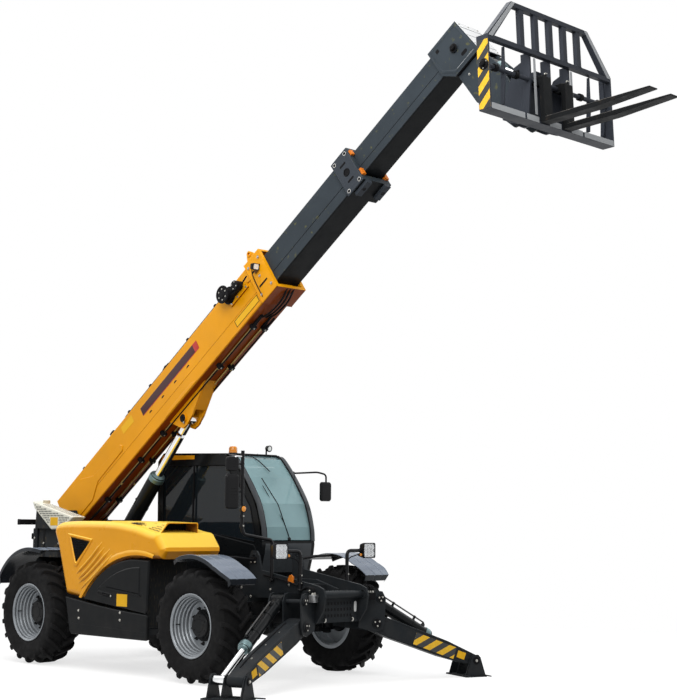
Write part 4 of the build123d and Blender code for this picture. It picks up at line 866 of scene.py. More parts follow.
def groove(shape, start, end, y, finish):
    """Pair of soft ridges either side of a slanted channel."""
    a, b = Vector(start), Vector(end)
    along = (b - a).normalized()
    across = Vector((-along.y, along.x))
    bend = across * -0.018
    steps = 12
    for offset in (-0.036, 0.036):
        rings = []
        for k in range(steps + 1):
            t = k / steps
            p = a.lerp(b, t) - bend * (4 * t * (1 - t)) + across * offset
            taper = min(1.0, k / 2, (steps - k) / 2) if 0 < k < steps else 0.05
            section = []
            for w, h in ((-0.026, -0.002), (-0.014, 0.013), (0.0, 0.018), (0.014, 0.013), (0.026, -0.002)):
                q = p + across * (w * max(taper, 0.4))
                section.append(at(q.x, y - h * taper + 0.001, q.y))
            rings.append(section)
        shape.loft(rings, finish, closed=True)


def grille_skin(shape, outline, y, finish):
    """Dark mesh behind a grille opening: a plate with rows of short slots standing on it."""
    shape.prism(run(outline, y + 0.01), Vector((0, -0.008, 0)), finish)
    zs = [p[1] for p in outline]
    z = min(zs) + 0.014
    row = 0
    while z < max(zs) - 0.008:
        for low, high in crossings(outline, z):
            x = low + 0.012 + (0.011 if row % 2 else 0.0)
            while x < high - 0.012:
                centre = at(x, y + 0.0015, z)
                shape.lathe(centre, (0, -1, 0), [(0, 0.0068), (0.0022, 0.006), (0.0024, 0.0)], finish, 6)
                x += 0.022
        z += 0.019
        row += 1


def crossings(outline, z):
    """Inside spans of an outline at a height."""
    hits = []
    for i, a in enumerate(outline):
        b = outline[(i + 1) % len(outline)]
        if (a[1] - z) * (b[1] - z) < 0:
            t = (z - a[1]) / (b[1] - a[1])
            hits.append(a[0] + (b[0] - a[0]) * t)
    hits.sort()
    return list(zip(hits[::2], hits[1::2]))


def cover_scoop():
    """Air scoop on top of the cover: a growing flank, its dark mouth with fins, and perforated patches; the
    scoop's inner skin and throat floor take a darker orange as painted shade.
    """
    yellow, inside_shade, dark = "cover_yellow", "painted_shade_orange", "trim_grey"
    scoop = Shape()
    inner_y = -0.53
    # along the cover: cover height, roof height, place of the flank's foot and of its shoulder
    stations = [
        (-0.2, 1.655, 1.658, -0.97, -0.965),
        (0.1, 1.633, 1.656, -0.992, -0.965),
        (0.4, 1.61, 1.653, -1.02, -0.962),
        (0.6, 1.56, 1.649, -1.045, -0.958),
        (0.8, 1.522, 1.643, -1.06, -0.955),
    ]
    skins = []
    # outer skin in the cover's yellow, inner skin in the darker orange: painted shade inside the scoop
    for gap in (0.0, 0.012):
        rings = []
        for x, low, roof, foot, shoulder in stations:
            top = roof - gap
            rings.append([at(x, foot + gap, low - 0.006), at(x, shoulder - 0.01 + gap, top - 0.009),
                          at(x, shoulder + 0.014 + gap, top), at(x, inner_y - 0.014 - gap, top),
                          at(x, inner_y - gap, top - 0.012), at(x, inner_y - gap, low - 0.006)])
        skins.append(rings)
        scoop.loft(rings, inside_shade if gap else yellow, closed=False, caps=False)
    scoop.loft([skins[0][-1], skins[1][-1]], yellow, closed=False, caps=False)
    # throat floor in the darker orange of painted shade, dark back wall and the fins that stand across it
    floor = [(0.2, 1.629), (0.4, 1.614), (0.6, 1.564), (0.795, 1.526), (0.795, 1.52), (0.2, 1.62)]
    scoop.prism(run(floor, -1.01), Vector((0, 0.47, 0)), inside_shade)
    scoop.box(at(0.3, -0.995, 1.615), at(0.312, inner_y - 0.014, 1.64), dark)
    for k in range(12):
        y = -0.975 + k * 0.036
        scoop.prism(run([(0.46, 1.6), (0.64, 1.556), (0.64, 1.634), (0.46, 1.636)], y),
                    Vector((0, 0.005, 0)), dark)
    scoop.make("engine_cover_scoop", "hood", bevel=0.002, smooth=30)
    patch = Shape()

    def on_flank(x, share):
        """Place on the flank, and the way it faces."""
        for first, second in zip(stations, stations[1:]):
            if x <= second[0]:
                break
        t = (x - first[0]) / (second[0] - first[0])
        low, roof, foot, shoulder = (a + (b - a) * t for a, b in zip(first[1:], second[1:]))
        start, end = Vector((0, foot, low)), Vector((0, shoulder - 0.01, roof - 0.009))
        place = start.lerp(end, share)
        way = Vector((1, 0, 0)).cross(end - start).normalized()
        return at(x, place.y, place.z), -way if way.z < 0 else way

    # perforated patches: dark dots stand for the holes, painted shade where the holes are
    for row in range(4):
        for column in range(25):
            x = 0.16 + column * 0.026 + (0.013 if row % 2 else 0.0)
            share = 0.2 + row * 0.2
            oval = ((x - 0.34) / 0.15) ** 2 + ((share - 0.5) / 0.42) ** 2 < 1
            wedge = 0.55 < x < 0.78 and share < 0.15 + (x - 0.52) * 3.2
            if oval or wedge:
                place, way = on_flank(x, share)
                patch.lathe(place, way, [(-0.001, 0.0075), (0.0012, 0.0075), (0.0012, 0.0065),
                                         (0.0004, 0.0)], dark, 6)
    # dark dots beside the mouth, also painted shade for holes
    for row in range(4):
        for column in range(5):
            x = 0.69 + column * 0.026
            z = 1.539 - max(0.0, x - 0.69) * 0.15
            patch.lathe(at(x, -0.49 + row * 0.026, z), UP, [(-0.004, 0.0085), (0.0012, 0.0085),
                    (0.0005, 0.0)], dark, 6)
    patch.make("engine_cover_vents", "hood", bevel=0)


def cover_hinges():
    """Hinge straps and their bolts along the cover's inner edge."""
    grey = "chassis_grey"
    fit = Shape()
    for x in (-0.86, -0.26):
        for side in (-0.062, 0.062):
            fit.box(at(x + side - 0.012, -0.42, 1.598), at(x + side + 0.012, -0.35, 1.606), grey)
            fit.bolt(at(x + side, -0.385, 1.606), UP, 0.007, grey)
    fit.make("engine_cover_hinges", "hood", bevel=0.001)


def side_door():
    """Dark side door in the cover's arc, with creases, a handle recess and a plain label."""
    grey, black = "panel_grey", "trim_black"
    door = Shape()
    arch = arch_line((0.405, 1.246), (-0.148, 1.084), (-0.486, 0.784), 20)
    outline = arch + [(0.0, 0.734), (0.66, 0.668), (0.69, 0.7), (0.71, 1.238)]
    door.loft(shoulder(outline, COVER_SIDE, 0.022, 4) + [run(outline, COVER_SIDE + 0.028)], grey)
    # raised fields that leave the crease lines between them
    field = arch_line((0.56, 1.165), (0.07, 1.068), (-0.215, 0.9), 12) + [(-0.02, 0.925), (0.56, 0.872)]
    face_plate(door, on_side, field, COVER_SIDE + 0.001, -0.008, grey, 0.012)
    shelf = [(-0.075, 0.932), (0.56, 0.868), (0.58, 0.85), (-0.01, 0.905)]
    door.prism(run(shelf, COVER_SIDE + 0.002), Vector((0, -0.011, 0)), grey)
    # handle recess: dark cup with a flap
    cup = [(-0.225, 0.85), (-0.19, 0.89), (0.06, 0.862), (0.085, 0.825), (0.05, 0.8), (-0.16, 0.824)]
    rim = ((0.0, 0.001), (0.006, -0.004), (0.014, -0.003), (0.018, 0.001))
    door.loft([run(inset_outline(cup, inset), COVER_SIDE + lift) for inset, lift in rim], grey, caps=False)
    door.prism(run(inset_outline(cup, 0.013), COVER_SIDE - 0.0005), Vector((0, 0.002, 0)), black)
    door.tube([at(-0.12, COVER_SIDE - 0.002, 0.862), at(-0.105, COVER_SIDE - 0.012, 0.853),
               at(0.0, COVER_SIDE - 0.012, 0.842), at(0.015, COVER_SIDE - 0.002, 0.848)], 0.006, black, 10,
              bend=0.008)
    door.lathe(at(0.045, COVER_SIDE - 0.001, 0.836), (0, -1, 0),
               [(0, 0.011), (0.004, 0.011), (0.005, 0.009)], "zinc", 20)
    piece = door.make("side_door_panel", "hood", bevel=0.0025, smooth=30)
    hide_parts("hood_side_panel")
    label = Shape()
    decal(label, at(0.152, COVER_SIDE, 0.732), (0.19, 0, 0), (0, 0, 0.132), "label_plain", (0, -0.0015, 0))
    label.make("side_door_label", "hood", bevel=0)


def skirt():
    """Lower skirt with a turned-in lip and its four bolts."""
    grey = "panel_grey"
    body = Shape()
    line = [(-0.834, 0.8), (-0.5, 0.762), (-0.2, 0.726), (0.1, 0.698), (0.4, 0.678), (0.672, 0.662)]
    outline = line + [(0.698, 0.64), (0.698, 0.396), (0.66, 0.386), (-0.7, 0.384), (-0.732, 0.41)]
    body.loft(shoulder(outline, COVER_SIDE, 0.018, 3) + [run(outline, COVER_SIDE + 0.033)], grey)
    body.prism(run([(-0.79, 0.512), (0.69, 0.474), (0.69, 0.47), (-0.79, 0.508)], COVER_SIDE + 0.001),
               Vector((0, -0.002, 0)), grey)
    for x, z in ((-0.557, 0.652), (-0.549, 0.568), (0.218, 0.664), (0.22, 0.583)):
        body.bolt(at(x, COVER_SIDE, z), (0, -1, 0), 0.011, "zinc")
    body.box(at(-0.64, COVER_SIDE + 0.034, 0.405), at(0.64, COVER_SIDE + 0.058, 0.52), "chassis_grey")
    piece = body.make("lower_skirt", "chassis", bevel=0.002, smooth=30)
    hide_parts("engine_skirt")


def engine_bay():
    """Ribs, covers and pipes on the engine's block, seen under the cover."""
    iron, black, zinc = "engine_iron", "trim_black", "zinc"
    low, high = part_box("engine_block")
    coat_node("engine_block", iron, 0.01)
    fit = Shape()
    # splash plate behind the cover's lower tip
    fit.box(at(-0.92, -1.06, 0.7), at(-0.5, -1.05, 0.9), black)
    for k in range(9):
        x = low.x + 0.08 + k * (high.x - low.x - 0.16) / 8
        fit.box((x - 0.012, low.y - 0.012, low.z + 0.05), (x + 0.012, low.y + 0.001, high.z - 0.06), iron)
        fit.box((x - 0.012, low.y + 0.06, high.z - 0.001), (x + 0.012, high.y - 0.06, high.z + 0.018), iron)
    fit.box((low.x + 0.1, low.y + 0.12, high.z), (high.x - 0.15, low.y + 0.3, high.z + 0.09), iron)
    fit.cylinder((low.x + 0.15, low.y + 0.42, high.z + 0.085), (low.x + 0.62, low.y + 0.42, high.z + 0.085),
                 0.085, black, 32)
    fit.tube([(low.x + 0.62, low.y + 0.42, high.z + 0.085), (low.x + 0.78, low.y + 0.42, high.z + 0.085),
              (low.x + 0.86, low.y + 0.3, high.z + 0.06), (high.x - 0.1, low.y + 0.2, high.z + 0.05)],
             0.034, black, 16, bend=0.06)
    for k in range(6):
        fit.bolt((low.x + 0.16 + k * 0.15, low.y + 0.21, high.z + 0.09), UP, 0.009, zinc)
    fit.make("engine_fittings", "chassis", bevel=0.004)


# ------------------------------------------------------------------ boom and cylinders
def block(shape, frame_at, u, v, y, finish):
    """Box between limits in a side plane's own directions."""
    shape.prism(run(rectangle(u, v), y[0], frame_at), Vector((0, y[1] - y[0], 0)), finish)


def bead(shape, frame_at, line, y, size, finish):
    """Weld bead along a line of a side plane."""
    shape.tube(run(line, y, frame_at), size, finish, 8)


def hand_box(shape, hand, x, y, z, finish):
    """Box between limits, those across the machine counted out to one hand."""
    near, far = both_ways(hand, *y)
    shape.box(at(x[0], near, z[0]), at(x[1], far, z[1]), finish)


def face_plate(shape, frame_at, outline, y, lift, finish, inset=0.008):
    """Plate standing on a side face, its rim sloped; lift is signed along y."""
    shape.loft([run(outline, y, frame_at), run(inset_outline(outline, inset), y + lift, frame_at)], finish)


def boom_base_fittings():
    """Seams, stiffeners, warning band, pipes, clamps, collar bolts and rear hoses on the base section."""
    orange, black, zinc = "base_orange", "trim_black", "zinc"
    coat_node("boom_base", orange, 0.0018)
    fit = Shape()
    for hand in (1, -1):
        y = hand * BASE_SIDE
        bead(fit, on_boom, [(-0.96, 0.168), (3.385, 0.168)], y, 0.0035, orange)
        bead(fit, on_boom, [(-0.96, 0.012), (3.385, 0.012)], y, 0.004, orange)
        # hat-shaped stiffener at the rear, with its own seam
        hat = [(-0.99, 0.06), (-0.4, 0.06), (-0.18, 0.19), (0.42, 0.2), (0.47, 0.25), (0.42, 0.3),
               (-0.22, 0.31), (-0.46, 0.44), (-0.99, 0.455)]
        face_plate(fit, on_boom, hat, y, hand * 0.009, orange)
        fit.lathe(on_boom(-0.88, 0.1, y), (0, hand, 0), [(0, 0.082), (0.018, 0.082), (0.022, 0.074),
                (0.022, 0.05)], orange, 40)
        for a in turns(6, 0.4):
            fit.bolt(on_boom(-0.88 + 0.064 * cos(a), 0.1 + 0.064 * sin(a), y + hand * 0.021), (0, hand, 0),
                     0.008, zinc)
        # plates over the lift lug and under the collar
        face_plate(fit, on_boom, [(1.28, 0.01), (2.02, 0.01), (1.9, 0.06), (1.4, 0.06)], y, hand * 0.006,
                   orange)
        face_plate(fit, on_boom, [(3.06, 0.395), (3.385, 0.33), (3.385, 0.505), (3.06, 0.505)], y,
                   hand * 0.008, orange)
        # half-round notches along the lower part
        for s in (1.12, 1.4, 1.68, 1.96):
            ring = [(s + 0.03 * cos(a), 0.246 + 0.022 * sin(a)) for a in [pi * k / 10 for k in range(11)]]
            face_plate(fit, on_boom, ring, y, hand * 0.0015, black, 0.002)
        # collar: bolts in shallow seats, slots and edge seam
        for s, n in ((3.43, 0.06), (3.62, 0.06), (3.43, 0.45), (3.62, 0.45), (3.525, 0.255)):
            place = on_boom(s, n, hand * BASE_COLLAR)
            fit.lathe(place, (0, hand, 0), [(0, 0.026), (0.003, 0.026), (0.003, 0.019), (-0.001, 0.019)],
                      orange, 24, closed=True)
            fit.bolt(place, (0, hand, 0), 0.0125, zinc)
        for n in (0.15, 0.36):
            block(fit, on_boom, (3.45, 3.6), (n - 0.012, n + 0.012), both_ways(hand, 0.219, 0.2215), black)
        bead(fit, on_boom, [(3.39, -0.028), (3.39, 0.53)], hand * BASE_COLLAR, 0.004, orange)
        # eye plates' collars and lug pin keeper
        fit.lathe(on_boom(3.515, 0.59, hand * 0.202), (0, hand, 0),
                  [(0, 0.034), (0.006, 0.034), (0.008, 0.03), (0.008, 0.0205), (0, 0.0205)], orange, 32,
                  closed=True)
        fit.lathe(on_boom(*LIFT_PIN, hand * 0.112), (0, hand, 0), [(0, 0.05), (0.004, 0.046), (0.004, 0.0)],
                  black, 32)
        block(fit, on_boom, (1.468, 1.488), (-0.2, -0.11), both_ways(hand, 0.116, 0.124), black)
        fit.bolt(on_boom(1.478, -0.188, hand * 0.124), (0, hand, 0), 0.009, zinc)
    # seams across the top and rear
    for s in (-1.028, 0.46, 1.6, 2.75):
        bead(fit, lambda u, v, y, s=s: on_boom(s, 0.5175, v), [(0, -0.178), (0, 0.178)], 0, 0.003, orange)
    block(fit, on_boom, (2.86, 3.3), (0.516, 0.524), (-0.1, 0.1), orange)
    for s in (2.9, 3.08, 3.26):
        for y in (-0.075, 0.075):
            fit.bolt(on_boom(s, 0.524, y), BOOM_UP, 0.009, zinc)
    # rear cover plate with bolts
    rear = on_boom(-1.031, 0.26, 0)
    for n in (0.07, 0.45):
        for y in (-0.13, 0.0, 0.13):
            fit.bolt(on_boom(-1.0305, n, y), -ALONG, 0.01, zinc)
    fit.lathe(rear, -ALONG, [(0, 0.085), (0.008, 0.085), (0.01, 0.078), (0.01, 0.0)], black, 40)
    fit.make("boom_base_fittings", "boom_base", bevel=0.0025)

    band = Shape()
    for hand in (1, -1):
        y = hand * (BASE_SIDE + 0.0002)
        start = on_boom(0.98, 0.305, y) if hand < 0 else on_boom(2.16, 0.305, y)
        decal(band, start, ALONG * (-1.18 * hand), BOOM_UP * 0.105, "band_maroon", (0, hand * 0.0012, 0))
        block(band, on_boom, (0.98, 2.16), (0.298, 0.306), sorted((y, y + hand * 0.0015)), "band_red")
        block(band, on_boom, (2.16, 2.245), (0.298, 0.41), sorted((y, y + hand * 0.0014)), "band_red")
        low = on_boom(2.89 if hand < 0 else 3.33, 0.062, y)
        block(band, on_boom, (2.882, 3.338), (0.055, 0.144), sorted((y, y + hand * 0.0008)), "trim_black")
        decal(band, low, ALONG * (-0.44 * hand), BOOM_UP * 0.075, "label_plain", (0, hand * 0.0014, 0))
        low = on_boom(0.55 if hand < 0 else 0.8, 0.36, y)
        decal(band, low, ALONG * (-0.25 * hand), BOOM_UP * 0.1, "label_plain", (0, hand * 0.0012, 0))
    band.make("boom_base_band", "boom_base", bevel=0)

    pipes = Shape()
    brass = "brass"
    for hand in (1, -1):
        for k, (radius, finish) in enumerate(((0.0115, brass), (0.0095, black))):
            n = -0.012 - 0.034 * k
            y = hand * (0.072 + 0.024 * k)
            path = run([(-0.7, n + 0.02), (-0.55, n), (3.02, n), (3.12, n + 0.01)], y, on_boom)
            pipes.tube(path, radius, finish, 10, bend=0.05)
            for s in (0.1, 1.05, 2.3):
                pipes.lathe(on_boom(s, n, y), ALONG, [(-0.016, radius * 1.5), (0.016, radius * 1.5)], brass,
                            6)
            pipes.lathe(on_boom(3.05, n + 0.004, y), ALONG,
                        [(-0.03, radius * 1.9), (0.03, radius * 1.9), (0.04, radius * 1.4),
                         (0.14, radius * 1.4)], black, 12)
        for s in (1.07, 2.32, 3.01, -0.25, 0.55):
            block(pipes, on_boom, (s - 0.022, s + 0.022), (-0.062, 0.0), both_ways(hand, 0.052, 0.116),
                  black)
            pipes.bolt(on_boom(s, -0.062, hand * 0.084), -BOOM_UP, 0.008, zinc)
    pipes.make("boom_base_pipes", "boom_base", bevel=0.0015)

    hoses = Shape()
    for k in range(4):
        y = -0.12 + k * 0.045
        path = smooth_line(run([(-0.985, 0.12 + 0.02 * k), (-1.015, 0.32), (-0.93, 0.528), (-0.62, 0.54),
                                (-0.15, 0.536), (0.2, 0.534)], y, on_boom), 8)
        hoses.tube(path[10:], 0.013, "hose_black", 10)
        hoses.lathe(on_boom(0.2, 0.534, y), ALONG, [(0, 0.017), (0.05, 0.017), (0.05, 0.012),
                (0.12, 0.012)], zinc, 6)
    block(hoses, on_boom, (-0.4, -0.36), (0.517, 0.556), (-0.15, 0.05), black)
    block(hoses, on_boom, (0.29, 0.37), (0.517, 0.565), (-0.15, 0.05), black)
    for y in (-0.14, 0.04):
        hoses.bolt(on_boom(-0.38, 0.556, y), BOOM_UP, 0.008, zinc)
        hoses.bolt(on_boom(0.33, 0.565, y), BOOM_UP, 0.008, zinc)
    # pipe pair on standoffs along the top, with a cluster of fittings
    for y in (-0.135, -0.1):
        hoses.tube(run([(0.6, 0.53), (0.66, 0.548), (2.84, 0.548), (2.9, 0.53)], y, on_boom), 0.011, black,
                   10, bend=0.03)
        hoses.lathe(on_boom(1.6, 0.548, y), ALONG, [(-0.07, 0.013), (-0.05, 0.019), (0.05, 0.019),
                (0.07, 0.013)], black, 12)
    for s in (0.75, 1.25, 1.6, 2.1, 2.7):
        block(hoses, on_boom, (s - 0.018, s + 0.018), (0.516, 0.562), (-0.158, -0.078), black)
        hoses.bolt(on_boom(s, 0.562, -0.118), BOOM_UP, 0.007, zinc)
    # lamp on the rear top, and its cable
    block(hoses, on_boom, (-0.93, -0.86), (0.518, 0.58), (0.07, 0.16), black)
    hoses.hose([on_boom(-0.86, 0.54, 0.12), on_boom(-0.7, 0.53, 0.1), on_boom(0.1, 0.525, 0.11),
                on_boom(2.8, 0.523, 0.13)], 0.0055)
    hoses.make("boom_base_hoses", "boom_base", bevel=0.003)

    lamps = Shape()
    ahead, lift = Vector((0.99, 0, -0.14)), Vector((0.14, 0, 0.99))
    for hand in (1, -1):
        centre = on_boom(3.56, 0.35, hand * 0.272)
        section = round_rect(0.088, 0.072, 0.014)
        steps = ((-0.045, 0.55), (-0.03, 0.86), (0.0, 1.0), (0.03, 1.0), (0.031, 0.88), (0.022, 0.86))
        lamps.layers(centre, section, steps, black, ahead, lift)
        lamps.layers(centre, section, ((0.0225, 0.84), (0.027, 0.78)), "lens_clear", ahead, lift)
        lamps.tube([on_boom(3.53, 0.35, hand * 0.221), on_boom(3.53, 0.35, hand * 0.25)], 0.01, black, 10)
        # mounting plate in the painted-shade orange: painted shadow behind the lamp
        block(lamps, on_boom, (3.49, 3.57), (0.31, 0.39), both_ways(hand, 0.22, 0.228), "painted_shade_orange")
        lamps.hose([centre - ahead * 0.045, on_boom(3.47, 0.3, hand * 0.26),
                    on_boom(3.44, 0.1, hand * 0.235), on_boom(3.42, -0.03, hand * 0.2)], 0.006)
    # three hoses under the collar
    for k in range(3):
        y = -0.05 + k * 0.05
        lamps.hose(run([(3.16, -0.015), (3.3, -0.06), (3.5, -0.07), (3.66, -0.02)], y, on_boom), 0.011)
    lamps.make("boom_collar_lamps", "boom_base", bevel=0.002)


def hose_reel():
    """Hose drum with its hub and guide, on a bolted bracket."""
    black, zinc, hose = "trim_black", "zinc", "hose_black"
    y = -0.26
    reel = Shape()
    centre = on_boom(3.0, 0.43, y)
    way = Vector((0, -1, 0))
    reel.lathe(centre, way, [(-0.058, 0.102), (-0.052, 0.104), (-0.048, 0.1), (-0.048, 0.072),
                             (0.04, 0.072), (0.04, 0.1), (0.046, 0.104), (0.054, 0.102), (0.056, 0.088),
                             (0.05, 0.084), (0.05, 0.04), (0.058, 0.034), (0.059, 0.0)], black, 56)
    for k in range(5):
        reel.lathe(centre, way, [(-0.04 + k * 0.016, 0.0745), (-0.032 + k * 0.016, 0.082),
                                 (-0.026 + k * 0.016, 0.0745)], hose, 48)
    for a in turns(6):
        place = centre + way * 0.051 + ALONG * (0.062 * cos(a)) + BOOM_UP * (0.062 * sin(a))
        reel.bolt(place, way, 0.007, zinc)
    guide = on_boom(3.19, 0.4, y + 0.02)
    reel.lathe(guide, way, [(-0.055, 0.05), (-0.05, 0.058), (0.044, 0.058), (0.05, 0.052), (0.052, 0.02),
                            (0.055, 0.0)], black, 40)
    for a in turns(4, 0.78):
        reel.bolt(guide + way * 0.0505 + ALONG * (0.04 * cos(a)) + BOOM_UP * (0.04 * sin(a)), way, 0.006,
                  zinc)
    bracket = [(2.95, 0.3), (3.3, 0.3), (3.3, 0.36), (3.1, 0.42), (2.95, 0.36)]
    reel.plate(on_boom, bracket, 0.018, "base_orange", -0.1955)
    reel.plate(on_boom, [(2.96, 0.35), (3.24, 0.35), (3.24, 0.385), (2.96, 0.42)], 0.05, black, -0.226)
    for s in (2.98, 3.1, 3.27):
        reel.bolt(on_boom(s, 0.322, -0.2045), way, 0.01, zinc)
    reel.hose([on_boom(3.07, 0.36, -0.262), on_boom(3.17, 0.345, -0.262), on_boom(3.29, 0.35, -0.262),
               on_boom(3.385, 0.37, -0.255)], 0.009, 10)
    piece = reel.make("hose_drum", "boom_base", bevel=0.002)
    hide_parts("hose_reel")


def boom_sections():
    """Seams, scuffed paint, bolted collar and wear pads on the two moving sections."""
    slate, black, zinc, white = "boom_slate", "trim_black", "zinc", "label_white"
    coat_node("boom_middle", slate, 0.0015)
    coat_node("boom_inner", slate, 0.0015)
    middle = Shape()
    for hand in (1, -1):
        y = hand * MIDDLE_SIDE
        bead(middle, on_boom, [(3.0, 0.19), (5.02, 0.19)], y, 0.003, black)
        block(middle, on_boom, (2.4, 5.02), (0.064, 0.072), sorted((y, y + hand * 0.0012)), black)
        cheek = [(5.035, 0.006), (5.295, 0.006), (5.295, 0.47), (5.06, 0.47), (5.035, 0.44)]
        face_plate(middle, on_boom, cheek, hand * 0.2095, hand * 0.006, "collar_dark", 0.006)
        for s, n in ((5.075, 0.045), (5.255, 0.045), (5.075, 0.425), (5.255, 0.425)):
            place = on_boom(s, n, hand * MIDDLE_COLLAR)
            middle.lathe(place, (0, hand, 0), [(0, 0.023), (0.002, 0.023), (0.002, 0.017), (0, 0.017)],
                         white, 24, closed=True)
            middle.bolt(place, (0, hand, 0), 0.012, black)
        for n in (0.13, 0.34):
            slot = [(u + 5.165, v + n) for u, v in round_rect(0.1, 0.026, 0.012)]
            face_plate(middle, on_boom, slot, hand * MIDDLE_COLLAR, hand * 0.001, black, 0.002)
        middle.lathe(on_boom(5.165, 0.235, hand * MIDDLE_COLLAR), (0, hand, 0),
                     [(0, 0.046), (0.005, 0.044), (0.006, 0.038), (0.001, 0.036), (0.001, 0.0)], black, 36)
        block(middle, on_boom, (5.285, 5.325), (0.07, 0.15), both_ways(hand, 0.15, 0.196), "pad_orange")
        block(middle, on_boom, (5.285, 5.325), (0.36, 0.42), both_ways(hand, 0.15, 0.196), "pad_orange")
        block(middle, on_boom, (5.1, 5.3), (-0.034, 0.004), both_ways(hand, 0.1, 0.18), "collar_dark")
        middle.lathe(on_boom(5.2, -0.034, hand * 0.14), -BOOM_UP,
                     [(0, 0.022), (0.003, 0.02), (0.001, 0.014), (0.001, 0.0)], black, 20)
    for y in (-0.06, 0.06):
        middle.tube([on_boom(3.68, 0.456, y), on_boom(5.04, 0.456, y)], 0.01, "hose_black", 10)
    for s in (3.9, 4.5):
        block(middle, on_boom, (s - 0.02, s + 0.02), (0.444, 0.47), (-0.085, 0.085), black)
        middle.bolt(on_boom(s, 0.47, 0), BOOM_UP, 0.008, zinc)
    # lifting loop and chain anchor on the collar's top
    middle.tube(run([(5.1, 0.47), (5.1, 0.515), (5.22, 0.515), (5.22, 0.47)], 0.05, on_boom), 0.009,
                "collar_dark", 10, bend=0.03)
    block(middle, on_boom, (5.08, 5.26), (0.474, 0.492), (-0.12, -0.02), "collar_dark")
    for s in (5.12, 5.22):
        middle.bolt(on_boom(s, 0.492, -0.07), BOOM_UP, 0.01, zinc)
    middle.make("boom_middle_fittings", "boom_middle", bevel=0.002)

    inner = Shape()
    for hand in (1, -1):
        y = hand * INNER_SIDE
        bead(inner, on_boom, [(4.6, 0.205), (6.655, 0.205)], y, 0.0028, black)
        block(inner, on_boom, (4.2, 6.655), (0.106, 0.113), sorted((y, y + hand * 0.0012)), black)
        side = hand * HEAD_SIDE
        # cheek: stiffener rim, square hole, outlined slot, light strip, and the pin's hexagon
        rim = [(6.672, 0.12), (6.672, 0.425), (7.088, 0.425), (7.13, -0.01), (6.8, -0.01)]
        inside = [(6.7, 0.145), (6.7, 0.398), (7.06, 0.398), (7.098, 0.02), (6.83, 0.02)]
        crown = ((0.0, 0.0), (0.3, 0.004), (0.7, 0.004), (1.0, 0.0))
        inner.loft([run(blend_line(rim, inside, share), side + hand * lift, on_boom)
                    for share, lift in crown], slate, caps=False)
        block(inner, on_boom, (6.745, 6.785), (0.335, 0.375), sorted((side, side + hand * 0.0015)), black)
        slot = [(u + 7.0, v + 0.085) for u, v in round_rect(0.085, 0.042, 0.02)]
        face_plate(inner, on_boom, slot, side, hand * 0.0012, black, 0.002)
        strip = [(6.835, 0.0), (7.105, 0.0), (7.102, 0.02), (6.842, 0.02)]
        face_plate(inner, on_boom, strip, side, hand * 0.002, "strip_light", 0.001)
        pin = on_boom(6.935, 0.214, side + hand * 0.013)
        inner.lathe(pin, (0, hand, 0), [(0, 0.046), (0.004, 0.046), (0.006, 0.04)], black, 36)
        inner.bolt(pin + Vector((0, hand * 0.004, 0)), (0, hand, 0), 0.03, black, washer=False)
        # neck: pivot boss rings and seams
        inner.lathe(on_boom(7.065, -0.895, hand * 0.14), (0, hand, 0),
                    [(0, 0.075), (0.0045, 0.072), (0.0045, 0.034), (0, 0.034)], slate, 40, closed=True)
        bead(inner, on_boom, [(6.8, -0.05), (6.81, -0.42), (6.93, -0.79)], hand * NECK_SIDE, 0.004, slate)
        bead(inner, on_boom, [(7.135, -0.05), (7.195, -0.3), (7.182, -0.84)], hand * NECK_SIDE, 0.004,
             slate)
        for s, n in ((6.9, -0.12), (7.08, -0.12), (6.92, -0.34)):
            inner.bolt(on_boom(s, n, hand * NECK_SIDE), (0, hand, 0), 0.01, zinc)
    # pale front cover with thin dividing lines, and a black plate under the head as painted shade on its
    # underside
    front = on_boom(7.1005, 0.43, -0.172)
    down = on_boom(7.1505, -0.024, -0.172) - front
    out = Vector(down).cross(Vector((0, 1, 0))).normalized()
    if out.x < 0:
        out = -out
    decal(inner, front, Vector((0, 0.344, 0)), down * 0.99, "cover_pale", out * 0.003)
    for share in (0.2, 0.5, 0.8):
        spot = front + down * share + out * 0.003
        inner.tube([spot, spot + Vector((0, 0.344, 0))], 0.0022, slate, 6)
    for share in (0.08, 0.92):
        for y in (0.03, 0.172, 0.314):
            inner.bolt(front + down * share + Vector((0, y, 0)) + out * 0.003, out, 0.008, zinc)
    block(inner, on_boom, (6.8, 7.12), (-0.038, -0.03), (-0.168, 0.168), black)
    for y in (-0.045, 0.045):
        inner.hose(run([(6.7, 0.447), (6.85, 0.452), (7.02, 0.447)], y, on_boom), 0.009, 10)
    block(inner, on_boom, (6.68, 6.76), (0.436, 0.462), (-0.09, 0.09), black)
    inner.make("boom_head_fittings", "boom_inner", bevel=0.002)


